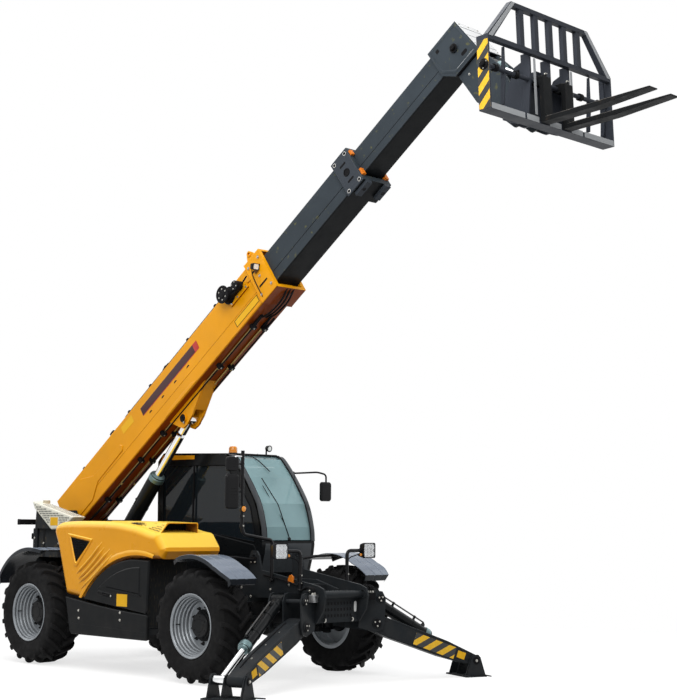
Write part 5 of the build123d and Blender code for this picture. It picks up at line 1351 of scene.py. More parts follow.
def cylinder_details():
    """Glands, eyes, grease nipples and feed pipes on every cylinder."""
    teal, black, zinc = "gland_teal", "cylinder_black", "zinc"
    for node in ("lift_cylinder_barrel", "tilt_cylinder_barrel", "stabiliser_barrel_left",
                 "stabiliser_barrel_right"):
        coat_node(node, black, 0.003)
    for node in ("lift_cylinder_rod", "lift_rod_eye", "tilt_cylinder_rod", "tilt_rod_eye",
                 "stabiliser_rod_left", "stabiliser_rod_right", "front_steering_rod", "rear_steering_rod"):
        coat_node(node, "chrome", 0.002)

    def dress(name, body, start, way, length, radius, rod, side):
        """Gland ring, ports and a pipe along a barrel that starts at a pin."""
        start, way, side = Vector(start), Vector(way).normalized(), Vector(side).normalized()
        fit = Shape()
        end = start + way * length
        fit.lathe(end, way, [(-0.075, radius + 0.001), (-0.07, radius + 0.007), (-0.02, radius + 0.007),
                             (-0.015, radius + 0.002), (0.004, radius - 0.004), (0.012, rod + 0.02),
                             (0.018, rod + 0.006), (0.018, rod + 0.001)], teal, 48)
        u, v = cross_axes(way)
        for a in turns(8):
            fit.bolt(end + way * 0.004 + (u * cos(a) + v * sin(a)) * (radius * 0.5 + rod * 0.5 + 0.004),
                     way, 0.0055, zinc, washer=False)
        fit.lathe(start + way * 0.09, way, [(0, radius + 0.001), (0.006, radius + 0.006),
                                            (0.03, radius + 0.006), (0.036, radius + 0.001)], black, 48)
        for place in (0.16, length - 0.12):
            spot = start + way * place + side * radius
            fit.lathe(spot - side * 0.01, side, [(0, 0.024), (0.022, 0.024), (0.026, 0.018),
                                                 (0.036, 0.018)], black, 6)
        path = [start + way * 0.16 + side * (radius + 0.012), start + way * 0.16 + side * (radius + 0.034),
                start + way * (length - 0.12) + side * (radius + 0.034),
                start + way * (length - 0.12) + side * (radius + 0.012)]
        fit.tube(path, 0.0085, "pipe_dark", 10, bend=0.022)
        for share in (0.35, 0.7):
            spot = start + way * (length * share)
            fit.lathe(spot, way, [(-0.01, radius + 0.001), (-0.01, radius + 0.004), (0.01, radius + 0.004),
                                  (0.01, radius + 0.001)], black, 48)
            fit.prism([spot + side * radius - way * 0.012, spot + side * (radius + 0.045) - way * 0.012,
                       spot + side * (radius + 0.045) + way * 0.012, spot + side * radius + way * 0.012],
                      way.cross(side) * 0.012, black)
        fit.make(name, body, bevel=0.0012)

    foot = joint_point("lift_barrel_pivot")
    way = Vector(JOINT["lift_rod_slide"]["axis"])
    dress("lift_barrel_fittings", "lift_barrel", foot, way, 1.6, 0.09, 0.052, way.cross(Vector((0, 1, 0))))
    head = joint_point("tilt_barrel_pivot")
    way = Vector(JOINT["tilt_rod_slide"]["axis"])
    dress("tilt_barrel_fittings", "tilt_barrel", head, way, 0.56, 0.062, 0.034, Vector((0, 1, 0)))
    for hand in ("left", "right"):
        head = joint_point("stabiliser_barrel_pivot_" + hand)
        way = Vector(JOINT["stabiliser_rod_slide_" + hand]["axis"])
        dress("stabiliser_barrel_fittings_" + hand, "leg_barrel_" + hand, head, way, 0.85, 0.062, 0.032,
              UP - way * UP.dot(way))
    eye = Shape()
    for hand in (1, -1):
        eye.lathe(on_boom(*LIFT_PIN, hand * 0.0595), (0, hand, 0),
                  [(0, 0.06), (0.005, 0.058), (0.005, 0.036), (0, 0.036)], black, 40, closed=True)
    eye.lathe(on_boom(*LIFT_PIN), -BOOM_UP, [(0.066, 0.01), (0.074, 0.01), (0.08, 0.005)], zinc, 6)
    eye.make("lift_eye_rings", "boom_base", bevel=0.001)


# ------------------------------------------------------------------ carriage and forks
def carriage_parts():
    """Striped side plates, rails, pins, knobs and bolts on the carriage, and the tapered forks."""
    grey, light, black, zinc = "carriage_grey", "strip_light", "trim_black", "zinc"
    coat_node("carriage_coupler", grey, 0.004)
    coat_node("fork_frame", grey, 0.004)
    coat_node("forks", "fork_black", 0.005)
    rig = Shape()
    face, back, bottom, top = 0.338, 0.201, -0.175, 0.523
    ahead = on_carriage(1, 0) - on_carriage(0, 0)
    up = on_carriage(0, 1) - on_carriage(0, 0)
    for hand in (1, -1):
        side = hand * 0.952
        start = on_carriage(back + 0.004 if hand < 0 else face - 0.006, bottom + 0.012, side)
        decal(rig, start, ahead * (-hand) * 0.127, up * 0.64, "hazard_stripes", (0, hand * 0.0015, 0))
        # pin retainer with its black knob at the shaft's end
        centre = on_carriage(0.277, 0.247, side)
        rig.lathe(centre, (0, hand, 0), [(0, 0.052), (0.008, 0.052), (0.012, 0.046), (0.012, 0.026),
                                         (0.034, 0.026), (0.04, 0.02), (0.041, 0.0)], black, 36)
        for a in turns(3, 0.5):
            rig.bolt(on_carriage(0.277 + 0.04 * cos(a), 0.247 + 0.04 * sin(a), side + hand * 0.009),
                     (0, hand, 0), 0.007, zinc)
        # pale slanted brace faces in front of the upper corners
        outer = [(0.945, top - 0.012), (0.585, BACKREST_TOP - 0.004), (0.538, BACKREST_TOP - 0.004),
                 (0.888, top - 0.012)]
        rig.prism([on_carriage(face + 0.0005, h, hand * y) for y, h in outer], ahead * 0.0025, light)
    # light faces of the lower rail between the uprights, and two upright light strips
    rows = [(-0.94, -0.46), (-0.43, -0.25), (-0.09, 0.09), (0.25, 0.43), (0.46, 0.94)]
    faces = [rectangle(row, (-0.173, -0.118)) for row in rows]
    faces += [rectangle((y - 0.018, y + 0.018), (-0.1, 0.44)) for y in (-0.285, 0.285)]
    for outline in faces:
        rig.prism([on_carriage(face, h, y) for y, h in outline], ahead * 0.002, light)
    for y in (-0.44, -0.22, 0.0, 0.22, 0.44):
        # weld fillets at the upright's feet
        rig.tube([on_carriage(face - 0.002, top, y - 0.032), on_carriage(face - 0.002, top, y + 0.032)],
                 0.005, grey, 8)
    hook = [(back + 0.02, bottom + 0.112), (back + 0.06, bottom + 0.112), (0.285, 0.18),
            (0.285, top - 0.045), (back + 0.06, top - 0.045)]
    for y in (-0.9, -0.66, 0.66, 0.9):
        rig.plate(on_carriage, hook, 0.016, grey, y)
    for y in (-0.8, -0.5, 0.5, 0.8):
        rig.lathe(on_carriage(0.277, 0.247, y), (0, 1, 0), [(-0.022, 0.0225), (-0.022, 0.036),
                (0.022, 0.036), (0.022, 0.0225)], black, 32, closed=True)
    # coupler: pin heads, grease nipples, latch and hose couplings
    for hand in (1, -1):
        end = on_carriage(0, 0, hand * 0.331)
        rig.lathe(end, (0, hand, 0), [(0, 0.05), (0.006, 0.05), (0.01, 0.044), (0.01, 0.0)], black, 36)
        for a in turns(3, 0.9):
            rig.bolt(on_carriage(0.034 * cos(a), 0.034 * sin(a), hand * 0.34), (0, hand, 0), 0.007, zinc)
        rig.lathe(on_carriage(0.067, 0.347, hand * 0.074), (0, hand, 0),
                  [(0, 0.034), (0.008, 0.034), (0.012, 0.028), (0.012, 0.0)], black, 32)
        rig.bolt(on_carriage(0.067, 0.347, hand * 0.085), (0, hand, 0), 0.012, zinc)
        block(rig, on_carriage, (0.15, 0.182), (0.3, 0.36), both_ways(hand, 0.312, 0.33), black)
        rig.bolt(on_carriage(0.166, 0.33, hand * 0.33), (0, hand, 0), 0.01, zinc)
        face_plate(rig, on_carriage, [(0.02, -0.06), (0.15, -0.12), (0.15, 0.02), (0.02, 0.05)],
                   hand * 0.311, hand * 0.003, grey)
    for y in (-0.22, -0.15, 0.15, 0.22):
        rig.lathe(on_carriage(0.175, 0.27, y), -ahead, [(0, 0.02), (0.012, 0.02), (0.014, 0.015),
                (0.036, 0.015), (0.038, 0.0)], zinc, 6)
    rig.make("carriage_fittings", "carriage", bevel=0.0018)

    blades = Shape()
    steel, worn_edge = "fork_black", "fork_worn"
    for y in (-0.169, 0.169):
        for hand in (1, -1):
            side = y + hand * 0.0625
            bead(blades, on_carriage, [(0.395, -0.121), (1.4, -0.119)], side - hand * 0.0004, 0.0022,
                 worn_edge)
            block(blades, on_carriage, (0.345, 0.388), (-0.1, 0.24), sorted((side, side + hand * 0.0008)),
                  steel)
        # latch on the shank's top, rounded heel and wear strip on the blade
        blades.lathe(on_carriage(0.366, 0.277, y), up,
                     [(0, 0.019), (0.02, 0.019), (0.024, 0.015), (0.024, 0.0)], steel, 24)
        blades.tube([on_carriage(0.366, 0.3, y), on_carriage(0.366, 0.318, y),
                     on_carriage(0.366, 0.318, y + 0.035)], 0.006, zinc, 10, bend=0.01)
        block(blades, on_carriage, (0.42, 1.48), (-0.1175, -0.1158), (y - 0.05, y + 0.05), worn_edge)
        blades.prism(run([(0.39, -0.117), (0.42, -0.117), (0.39, -0.087)], y - 0.06, on_carriage),
                     Vector((0, 0.12, 0)), steel)
    blades.make("fork_details", "carriage", bevel=0.0015)


# ------------------------------------------------------------------ nose and stabilisers
def tread_plate(shape, low, high, start, count, pitch, finish):
    """Sheet with raised tears that lean to alternate sides."""
    shape.box(low, high, finish)
    for row in range(count[0]):
        for column in range(count[1]):
            centre = at(start[0] + row * pitch[0], start[1] + column * pitch[1], start[2])
            way = Vector((1, 1 if (row + column) % 2 else -1, 0)).normalized()
            cross = Vector((-way.y, way.x, 0))
            ring = [centre + way * 0.012, centre + cross * 0.004, centre - way * 0.012,
                    centre - cross * 0.004]
            shape.loft([ring, [centre + (p - centre) * 0.5 + Vector((0, 0, 0.0018)) for p in ring]], finish)


def nose_details():
    """Tread plate, perforated face, reflectors, hooks, lamp wiring and bolts on the nose."""
    grey, black, zinc = "chassis_grey", "trim_black", "zinc"
    for node in ("front_nose", "stabiliser_brackets", "chassis_plates", "chassis_frame"):
        coat_node(node, grey, 0.004)
    for node in ("front_axle", "rear_axle"):
        coat_node(node, "axle_black", 0.006)
    for corner in CORNERS:
        coat_node("knuckle_" + corner, "axle_black", 0.004)
    nose = Shape()
    # perforated plate on the front: three rows of slots with raised rims, their openings filled with black
    # faces as painted shade
    for row in range(3):
        for column in range(9):
            y = -0.184 + column * 0.046
            z = 0.7 + row * 0.062
            outline = [(a + y, b + z) for a, b in round_rect(0.03, 0.042, 0.012, 3)]
            rings = [[at(2.4502, a, b) for a, b in outline], [at(2.4525, a, b) for a, b in outline],
                     [at(2.4525, y + (a - y) * 0.78, z + (b - z) * 0.82) for a, b in outline],
                     [at(NOSE_FACE, y + (a - y) * 0.74, z + (b - z) * 0.78) for a, b in outline]]
            nose.loft(rings, grey, caps=False)
            nose.add([at(2.4504, y + (a - y) * 0.76, z + (b - z) * 0.8) for a, b in outline],
                     [list(range(len(outline)))], black)
    for hand in (1, -1):
        outer = hand * NOSE_SIDE
        # raised fields and bolts on the side plates
        field = [(1.7, 1.085), (2.42, 0.975), (2.5, 0.9), (2.44, 0.72), (2.1, 0.7), (1.95, 0.9),
                 (1.7, 0.92)]
        face_plate(nose, on_side, field, outer, hand * 0.003, grey)
        for x, z in ((1.76, 1.05), (2.05, 1.005), (2.36, 0.955), (2.12, 0.74), (2.4, 0.75), (1.76, 0.95)):
            nose.bolt(at(x, outer + hand * 0.003, z), (0, hand, 0), 0.012, zinc)
        # eye collars in the ears
        nose.lathe(at(1.496, outer, 1.286), (0, hand, 0), [(0, 0.036), (0.005, 0.034), (0.005, 0.0215),
                (0, 0.0215)], grey, 32, closed=True)
        # reflectors and shackle hooks on the face
        plate = round_rect(0.034, 0.11, 0.016)
        nose.layers(at(NOSE_FACE, hand * 0.252, 0.785), plate, ((0, 1.0), (0.005, 1.0), (0.007, 0.88)),
                    "reflector_white")
        nose.tube(run([(2.452, 0.672), (2.475, 0.672), (2.475, 0.648), (2.458, 0.64)], hand * 0.2), 0.008,
                  zinc, 10, bend=0.012)
        nose.lathe(at(2.5265, hand * 0.2975, 0.915), (0, hand, 0),
                   [(-0.01, 0.039), (-0.01, 0.044), (0.0, 0.044), (0.0, 0.039)], grey, 32, closed=True)
        nose.hose([at(1.66, hand * 0.335, 1.1), at(1.95, hand * 0.338, 1.06), at(2.15, hand * 0.342, 1.02),
                   at(2.225, hand * 0.35, 1.02), at(2.236, hand * 0.365, 1.12)], 0.008)
    # tread plate between the side plates, behind the front tube: a sheet with raised tears
    tread_plate(nose, at(2.27, -0.295, 0.942), at(2.448, 0.295, 0.947), (2.288, -0.275, 0.947), (5, 17),
                (0.035, 0.0345), grey)
    # step plate over the crosswise blocks
    tread_plate(nose, at(1.7, -0.29, 1.001), at(2.02, 0.29, 1.006), (1.72, -0.265, 1.006), (8, 15),
                (0.04, 0.038), grey)
    # orange lug beside the nose
    lug = [(2.05, 1.03), (2.13, 1.02), (2.13, 1.09), (2.1, 1.115), (2.07, 1.105), (2.05, 1.07)]
    nose.plate(on_side, lug, 0.014, "pad_orange", -0.334)
    nose.make("nose_fittings", "chassis", bevel=0.0018)

    frame_bolts = Shape()
    for hand in (1, -1):
        outer = hand * 0.2352
        for x, z in ((-2.12, 1.0), (-2.12, 1.3), (-1.95, 0.9), (-1.2, 0.95), (-1.2, 0.75), (-0.6, 0.6),
                     (-0.6, 0.95), (0.1, 0.55), (0.1, 0.95), (0.7, 0.6), (0.7, 0.95), (1.2, 0.95),
                     (1.35, 0.86)):
            frame_bolts.bolt(at(x, outer, z), (0, hand, 0), 0.012, zinc)
        flat = [(-0.75, 0.52), (0.75, 0.52), (0.9, 0.82), (0.9, 1.0), (-0.9, 1.0), (-0.9, 0.82)]
        face_plate(frame_bolts, on_side, flat, outer, hand * 0.004, grey)
        pivot = BOOM_PIVOT + Vector((0, hand * 0.252, 0))
        frame_bolts.lathe(pivot, (0, hand, 0), [(0, 0.075), (0.006, 0.075), (0.009, 0.068), (0.009, 0.0)],
                          black, 40)
        for a in turns(4, 0.78):
            frame_bolts.bolt(pivot + Vector((0.052 * cos(a), hand * 0.009, 0.052 * sin(a))), (0, hand, 0),
                             0.009, zinc)
    for k in range(3):
        z = 0.56 + k * 0.035
        frame_bolts.hose([at(-1.1, 0.17, 0.86), at(-0.8, 0.16, z + 0.1), at(-0.5, 0.15, z),
                          at(0.6, 0.15, z), at(0.95, 0.16, 0.8)], 0.011, 10)
    frame_bolts.make("chassis_fittings", "chassis", bevel=0.0015)


def stabiliser_details():
    """Warning stripes, labels, seams, hoses and blocks on the stabilisers, and the feet's cheeks."""
    grey, black, zinc = "chassis_grey", "trim_black", "zinc"
    for hand, name in ((1, "left"), (-1, "right")):
        coat_node("stabiliser_leg_" + name, grey, 0.006)
        coat_node("stabiliser_foot_" + name, grey, 0.003)

        def leg(along, up, depth):
            return on_leg(along * cos(LEG_DROP) + up * sin(LEG_DROP),
                          -along * sin(LEG_DROP) + up * cos(LEG_DROP), depth, hand)

        fit = Shape()
        front, back = -0.0006, 0.1706
        # striped panel and plain label on the front face
        corner = leg(0.5, -0.07, front) if hand > 0 else leg(1.02, -0.07, front)
        along = (leg(1, 0, 0) - leg(0, 0, 0)) * hand
        up = leg(0, 1, 0) - leg(0, 0, 0)
        out = leg(0, 0, -1) - leg(0, 0, 0)
        decal(fit, corner, along * 0.52, up * 0.13, "hazard_stripes" if hand > 0 else "hazard_mirrored",
              out * 0.0012)
        corner = leg(1.05, -0.036, front) if hand > 0 else leg(1.15, -0.036, front)
        decal(fit, corner, along * 0.1, up * 0.075, "label_plain", out * 0.0012)
        for depth, way in ((front, out), (back, -out)):
            for edge in (0.088, -0.088):
                seam = ((0.1, edge * 0.98), (0.854, edge * 0.9), (1.22, edge * 0.66))
                fit.tube(run(seam, depth, leg), 0.0035, grey, 8)
            fit.lathe(leg(0, 0, depth), way, [(0, 0.066), (0.004, 0.064), (0.004, 0.031), (0, 0.031)], grey,
                      40, closed=True)
            fit.lathe(leg(LEG_LENGTH, 0, depth), way, [(0, 0.056), (0.005, 0.054), (0.005, 0.031),
                    (0, 0.031)], grey, 40, closed=True)
        # top face: bolts and a hose run
        for share in (0.3, 0.55, 0.8):
            place = leg(share * 1.2, 0.094 - share * 0.012, 0.085)
            fit.bolt(place, up, 0.01, zinc)
        fit.tube([leg(0.14, 0.1, 0.12), leg(0.62, 0.102, 0.12), leg(1.05, 0.085, 0.12),
                  leg(1.14, 0.072, 0.118)], 0.008, "hose_black", 8, bend=0.05)
        fit.make("stabiliser_leg_fittings_" + name, "leg_" + name, bevel=0.0012)

        foot = Shape()
        # trapezoid cheeks outside the pin, and round bars across the plate
        w0, z0 = LEG_LENGTH * cos(LEG_DROP), -LEG_LENGTH * sin(LEG_DROP)
        cheek = [(-0.115, -0.158), (0.115, -0.158), (0.052, 0.03), (0.028, 0.052), (-0.028, 0.052),
                 (-0.052, 0.03)]
        deep = on_leg(0, 0, 1, hand) - on_leg(0, 0, 0, hand)
        for depth in (-0.036, 0.196):
            foot.prism([on_leg(w0 + w, z0 + z, depth, hand) for w, z in cheek], deep * 0.01, grey)
            way = deep * (1 if depth > 0 else -1)
            spot = on_leg(w0, z0, depth + (0.01 if depth > 0 else 0), hand)
            foot.lathe(spot, way, [(0, 0.04), (0.006, 0.04), (0.009, 0.034), (0.009, 0.0)], black, 32)
            foot.bolt(spot + way * 0.008, way, 0.011, zinc)
        for w in (-0.118, 0.118):
            foot.tube([on_leg(w0 + w, z0 - 0.16, -0.15, hand), on_leg(w0 + w, z0 - 0.16, 0.29, hand)],
                      0.007, grey, 10)
        foot.make("stabiliser_foot_fittings_" + name, "foot_" + name, bevel=0.0012)

        # valve block on the right, plate block on the left, with hoses to the cylinder
        bracket = Shape()
        finish = "valve_silver" if hand < 0 else black
        base = on_leg(-0.145, 0.245, -0.03, hand)
        way = on_leg(0, 0, -1, hand) - on_leg(0, 0, 0, hand)
        across = on_leg(1, 0, 0, hand) - on_leg(0, 0, 0, hand)
        corners = [base, base + across * 0.1, base + across * 0.1 + Vector((0, 0, 0.075)),
                   base + Vector((0, 0, 0.075))]
        bracket.prism(corners, way * 0.06, finish)
        for k in range(3):
            spot = base + across * (0.02 + 0.03 * k) + Vector((0, 0, 0.075)) + way * 0.03
            bracket.lathe(spot, UP, [(0, 0.012), (0.012, 0.012), (0.014, 0.009), (0.022, 0.009),
                                     (0.022, 0.0)], zinc, 6)
            bracket.hose([spot + Vector((0, 0, 0.02)), spot + Vector((0, 0, 0.06)),
                          spot + Vector((-0.05, 0, 0.075)) - way * 0.02,
                          spot + Vector((-0.13, -hand * 0.02, 0.045)) - way * 0.03], 0.0075)
        for place, radius in (((0, 0), 0.046), ((0.042, 0.257), 0.036)):
            spot = on_leg(place[0], place[1], -0.0395, hand)
            bracket.lathe(spot, way, [(0, radius), (0.005, radius), (0.008, radius - 0.007), (0.008, 0.0)],
                          black, 36)
            for a in turns(3, 0.6):
                bracket.bolt(spot + way * 0.007 + across * (radius * 0.65 * cos(a))
                             + Vector((0, 0, radius * 0.65 * sin(a))), way, 0.007, zinc)
        bracket.make("stabiliser_valves_" + name, "chassis", bevel=0.0015)


# ------------------------------------------------------------------ cab, seat, lamps and mirrors
def cab_parts():
    """Pillar trims, rubber seals, roof edge, wipers, step ledge, handles and work lamps on the cab."""
    black, grey, seal, zinc, yellow = "cab_black", "pillar_grey", "seal_black", "zinc", "cover_yellow"
    coat_node("cab_frame", black, 0.01)
    coat_node("cab_glass", "cab_glass", 0.0)
    coat_node("cab_door", black, 0.006)
    coat_node("cab_door_glass", "cab_glass", 0.0)
    trim = Shape()
    screen = [(0.31, 2.436), (0.405, 2.402), (0.606, 2.182), (0.824, 1.872), (0.914, 1.602), (0.932, 1.44)]
    for hand_y in (0.3, 1.12):
        inward = 0.062 if hand_y < 0.5 else -0.062
        outer = run(screen, hand_y)
        path = smooth_line(outer, 5)
        rings = []
        for p in path:
            up = Vector((0.01, 0, 0.006))
            rings.append([p - Vector((0.03, 0, 0.016)), p + up * 0.4,
                          p + up + Vector((0, inward * 0.25, 0)), p + up * 0.8 + Vector((0, inward, 0)),
                          p - Vector((0.012, 0, 0.01)) + Vector((0, inward, 0))])
        trim.loft(rings, grey)
    # screen seal round the glass, and the roof front's edge
    for y in (0.3652, 1.0548):
        trim.tube(smooth_line([at(x + 0.004, y, z + 0.003) for x, z in screen], 5), 0.006, seal, 8)
    trim.tube([at(0.3, 0.345, 2.446), at(0.3, 1.075, 2.446)], 0.012, black, 10)
    # front panel below the screen: dash cowl with slots
    cowl = [(0.921, 1.43), (0.935, 1.4), (0.921, 1.3), (0.856, 1.085), (0.85, 1.087), (0.905, 1.3),
            (0.915, 1.42)]
    trim.prism(run(cowl, 0.352), Vector((0, 0.716, 0)), grey)
    for k in range(7):
        y = 0.46 + k * 0.022
        trim.prism([at(0.928, y, 1.345), at(0.931, y, 1.385), at(0.931, y + 0.01, 1.385),
                    at(0.928, y + 0.01, 1.345)], Vector((0.002, 0, 0)), black)
    # right wall: sill panel and seal
    sill = [(-0.93, 1.28), (0.87, 1.28), (0.79, 1.4), (-0.2, 1.56), (-0.9, 1.61)]
    face_plate(trim, on_side, sill, 0.3, -0.006, black, 0.014)
    windows = (
        (0.3 - 0.0015, [(-0.88, 1.64), (-0.89, 2.33), (0.27, 2.31), (0.5, 2.1), (0.72, 1.83), (0.79, 1.56),
                        (0.8, 1.43)]),
        (1.12 + 0.0015, [(-0.88, 1.5), (-0.89, 2.33), (-0.36, 2.33), (-0.35, 1.3), (-0.88, 1.3)]),
    )
    for y, window in windows:
        trim.tube(run(window + [window[0]], y), 0.0065, seal, 8)
    trim.tube([at(-0.3, 0.293, 1.64), at(-0.292, 0.293, 2.322)], 0.012, seal, 8)
    # roof: shallow pressed panel, gutter and the yellow rear corner edge
    roof_rear, roof_front = Vector((-0.9, 0, 2.471)), Vector((0.296, 0, 2.441))
    for y0, y1 in ((0.36, 0.66), (0.76, 1.06)):
        ring = []
        for t, y in ((0.08, y0), (0.92, y0), (0.92, y1), (0.08, y1)):
            p = roof_rear.lerp(roof_front, t)
            ring.append(at(p.x, y, p.z))
        rings = [ring, [p + Vector((0.02 if i in (0, 3) else -0.02, 0.02 if i < 2 else -0.02, 0.01))
                        for i, p in enumerate(ring)]]
        trim.loft(rings, black)
    for y in (0.306, 1.114):
        trim.tube(run([(-0.985, 2.392), (-0.898, 2.474), (0.296, 2.444), (0.396, 2.402)], y),
                  0.007, seal, 8)
    trim.prism(run([(-0.94, 2.395), (-0.3, 2.395), (-0.3, 2.44), (-0.9, 2.455)], 0.2965),
               Vector((0, 0.005, 0)), yellow)
    trim.prism([at(-1.003, 0.33, 2.33), at(-1.003, 1.09, 2.33), at(-0.985, 1.09, 2.385),
                at(-0.985, 0.33, 2.385)], Vector((0.004, 0, 0)), yellow)
    # rear wall louvres
    for k in range(6):
        z = 1.315 + k * 0.026
        trim.prism([at(-0.9835 - (z - 1.27) * 0.018, 0.45, z), at(-0.9835 - (z - 1.27) * 0.018, 0.97, z),
                    at(-0.99 - (z - 1.27) * 0.018, 0.97, z - 0.01),
                    at(-0.99 - (z - 1.27) * 0.018, 0.45, z - 0.01)], Vector((0, 0, 0.004)), black)
    # ledge and handle by the door, bolts at the floor
    trim.box(at(-0.3, 1.06, 0.742), at(0.62, 1.15, 0.764), black)
    for k in range(12):
        trim.box(at(-0.27 + k * 0.072, 1.12, 0.764), at(-0.25 + k * 0.072, 1.148, 0.77), zinc)
    trim.tube([at(0.72, 1.122, 1.05), at(0.735, 1.16, 1.07), at(0.845, 1.16, 1.4), at(0.85, 1.122, 1.42)],
              0.01, black, 10, bend=0.02)
    for x in (-0.5, -0.2, 0.1, 0.4, 0.65):
        trim.bolt(at(x, 0.3, 0.8), (0, -1, 0), 0.009, zinc)
        trim.bolt(at(x, 1.12, 0.8), (0, 1, 0), 0.009, zinc)
    trim.make("cab_trim", "chassis", bevel=0.0025, smooth=35)

    wiper = Shape()
    start = at(0.918, 0.72, 1.47)
    elbow = at(0.842, 0.6, 1.852)
    tip = at(0.645, 0.52, 2.152)
    wiper.lathe(at(0.922, 0.72, 1.462), (1, 0, 0.25), [(0, 0.022), (0.01, 0.022), (0.018, 0.015),
            (0.02, 0.0)], black, 24)
    wiper.tube([start + Vector((0.012, 0, 0)), elbow + Vector((0.016, 0, 0.008)),
                tip + Vector((0.014, 0, 0.01))], 0.0055, black, 8, bend=0.1)
    wiper.tube([at(0.892, 0.66, 1.66), at(0.7, 0.5, 2.075)], 0.004, seal, 8)
    wiper.lathe(at(0.1, 0.95, 2.449), UP, [(0, 0.018), (0.01, 0.018), (0.014, 0.01), (0.02, 0.004),
                                           (0.026, 0.003)], black, 20)
    wiper.tube([at(0.35, 0.6, 2.436), at(0.44, 0.66, 2.376), at(0.56, 0.74, 2.246)], 0.0055, black, 8,
               bend=0.05)
    # work lamp at the roof's front edge
    centre = at(0.345, 0.92, 2.525)
    front = Vector((1, 0, -0.15)).normalized()
    wiper.tube([at(0.29, 0.92, 2.445), at(0.29, 0.92, 2.5), centre - front * 0.04], 0.01, black, 10,
               bend=0.02)
    wiper.lathe(centre, front, [(-0.05, 0.012), (-0.044, 0.03), (-0.012, 0.038), (0.006, 0.04),
                                (0.01, 0.036), (0.006, 0.032)], black, 28)
    wiper.lathe(centre + front * 0.002, front, [(0, 0.033), (0.005, 0.026), (0.007, 0.0)], "lens_clear", 28)
    wiper.make("cab_wipers", "chassis", bevel=0.001)

    door = Shape()
    hole = [(-0.28, 0.9), (-0.29, 2.33), (0.27, 2.31), (0.5, 2.1), (0.72, 1.83), (0.8, 1.56), (0.82, 1.4),
            (0.74, 1.095), (0.64, 0.9)]
    for inset, y, size in ((0.064, 1.1185, 0.006), (0.01, 1.1175, 0.005)):
        line = inset_outline(hole, inset)
        door.tube(run(line + [line[0]], y), size, seal, 8)
    door.tube([at(0.62, 1.119, 1.24), at(0.62, 1.155, 1.26), at(0.66, 1.155, 1.5), at(0.66, 1.119, 1.52)],
              0.009, black, 10, bend=0.02)
    plate = [(0.585, 1.255), (0.7, 1.255), (0.712, 1.34), (0.597, 1.34)]
    face_plate(door, on_side, plate, 1.118, 0.01, black, 0.006)
    door.lathe(at(0.645, 1.128, 1.298), (0, 1, 0), [(0, 0.014), (0.004, 0.014), (0.005, 0.01)], zinc, 20)
    for z in (1.15, 2.15):
        for dz in (-0.016, 0.016):
            door.bolt(at(-0.255, 1.14, z + dz), (0, 1, 0), 0.006, zinc)
    low = inset_outline([(-0.22, 0.965), (0.6, 0.965), (0.69, 1.11), (0.705, 1.16), (-0.22, 1.16)], 0.012)
    for k in range(4):
        z = 0.985 + k * 0.045
        door.tube([at(low[0][0] + 0.03, 1.1185, z), at(0.56 + k * 0.02, 1.1185, z)], 0.004, seal, 6)
    door.make("cab_door_trim", "door", bevel=0.0015)


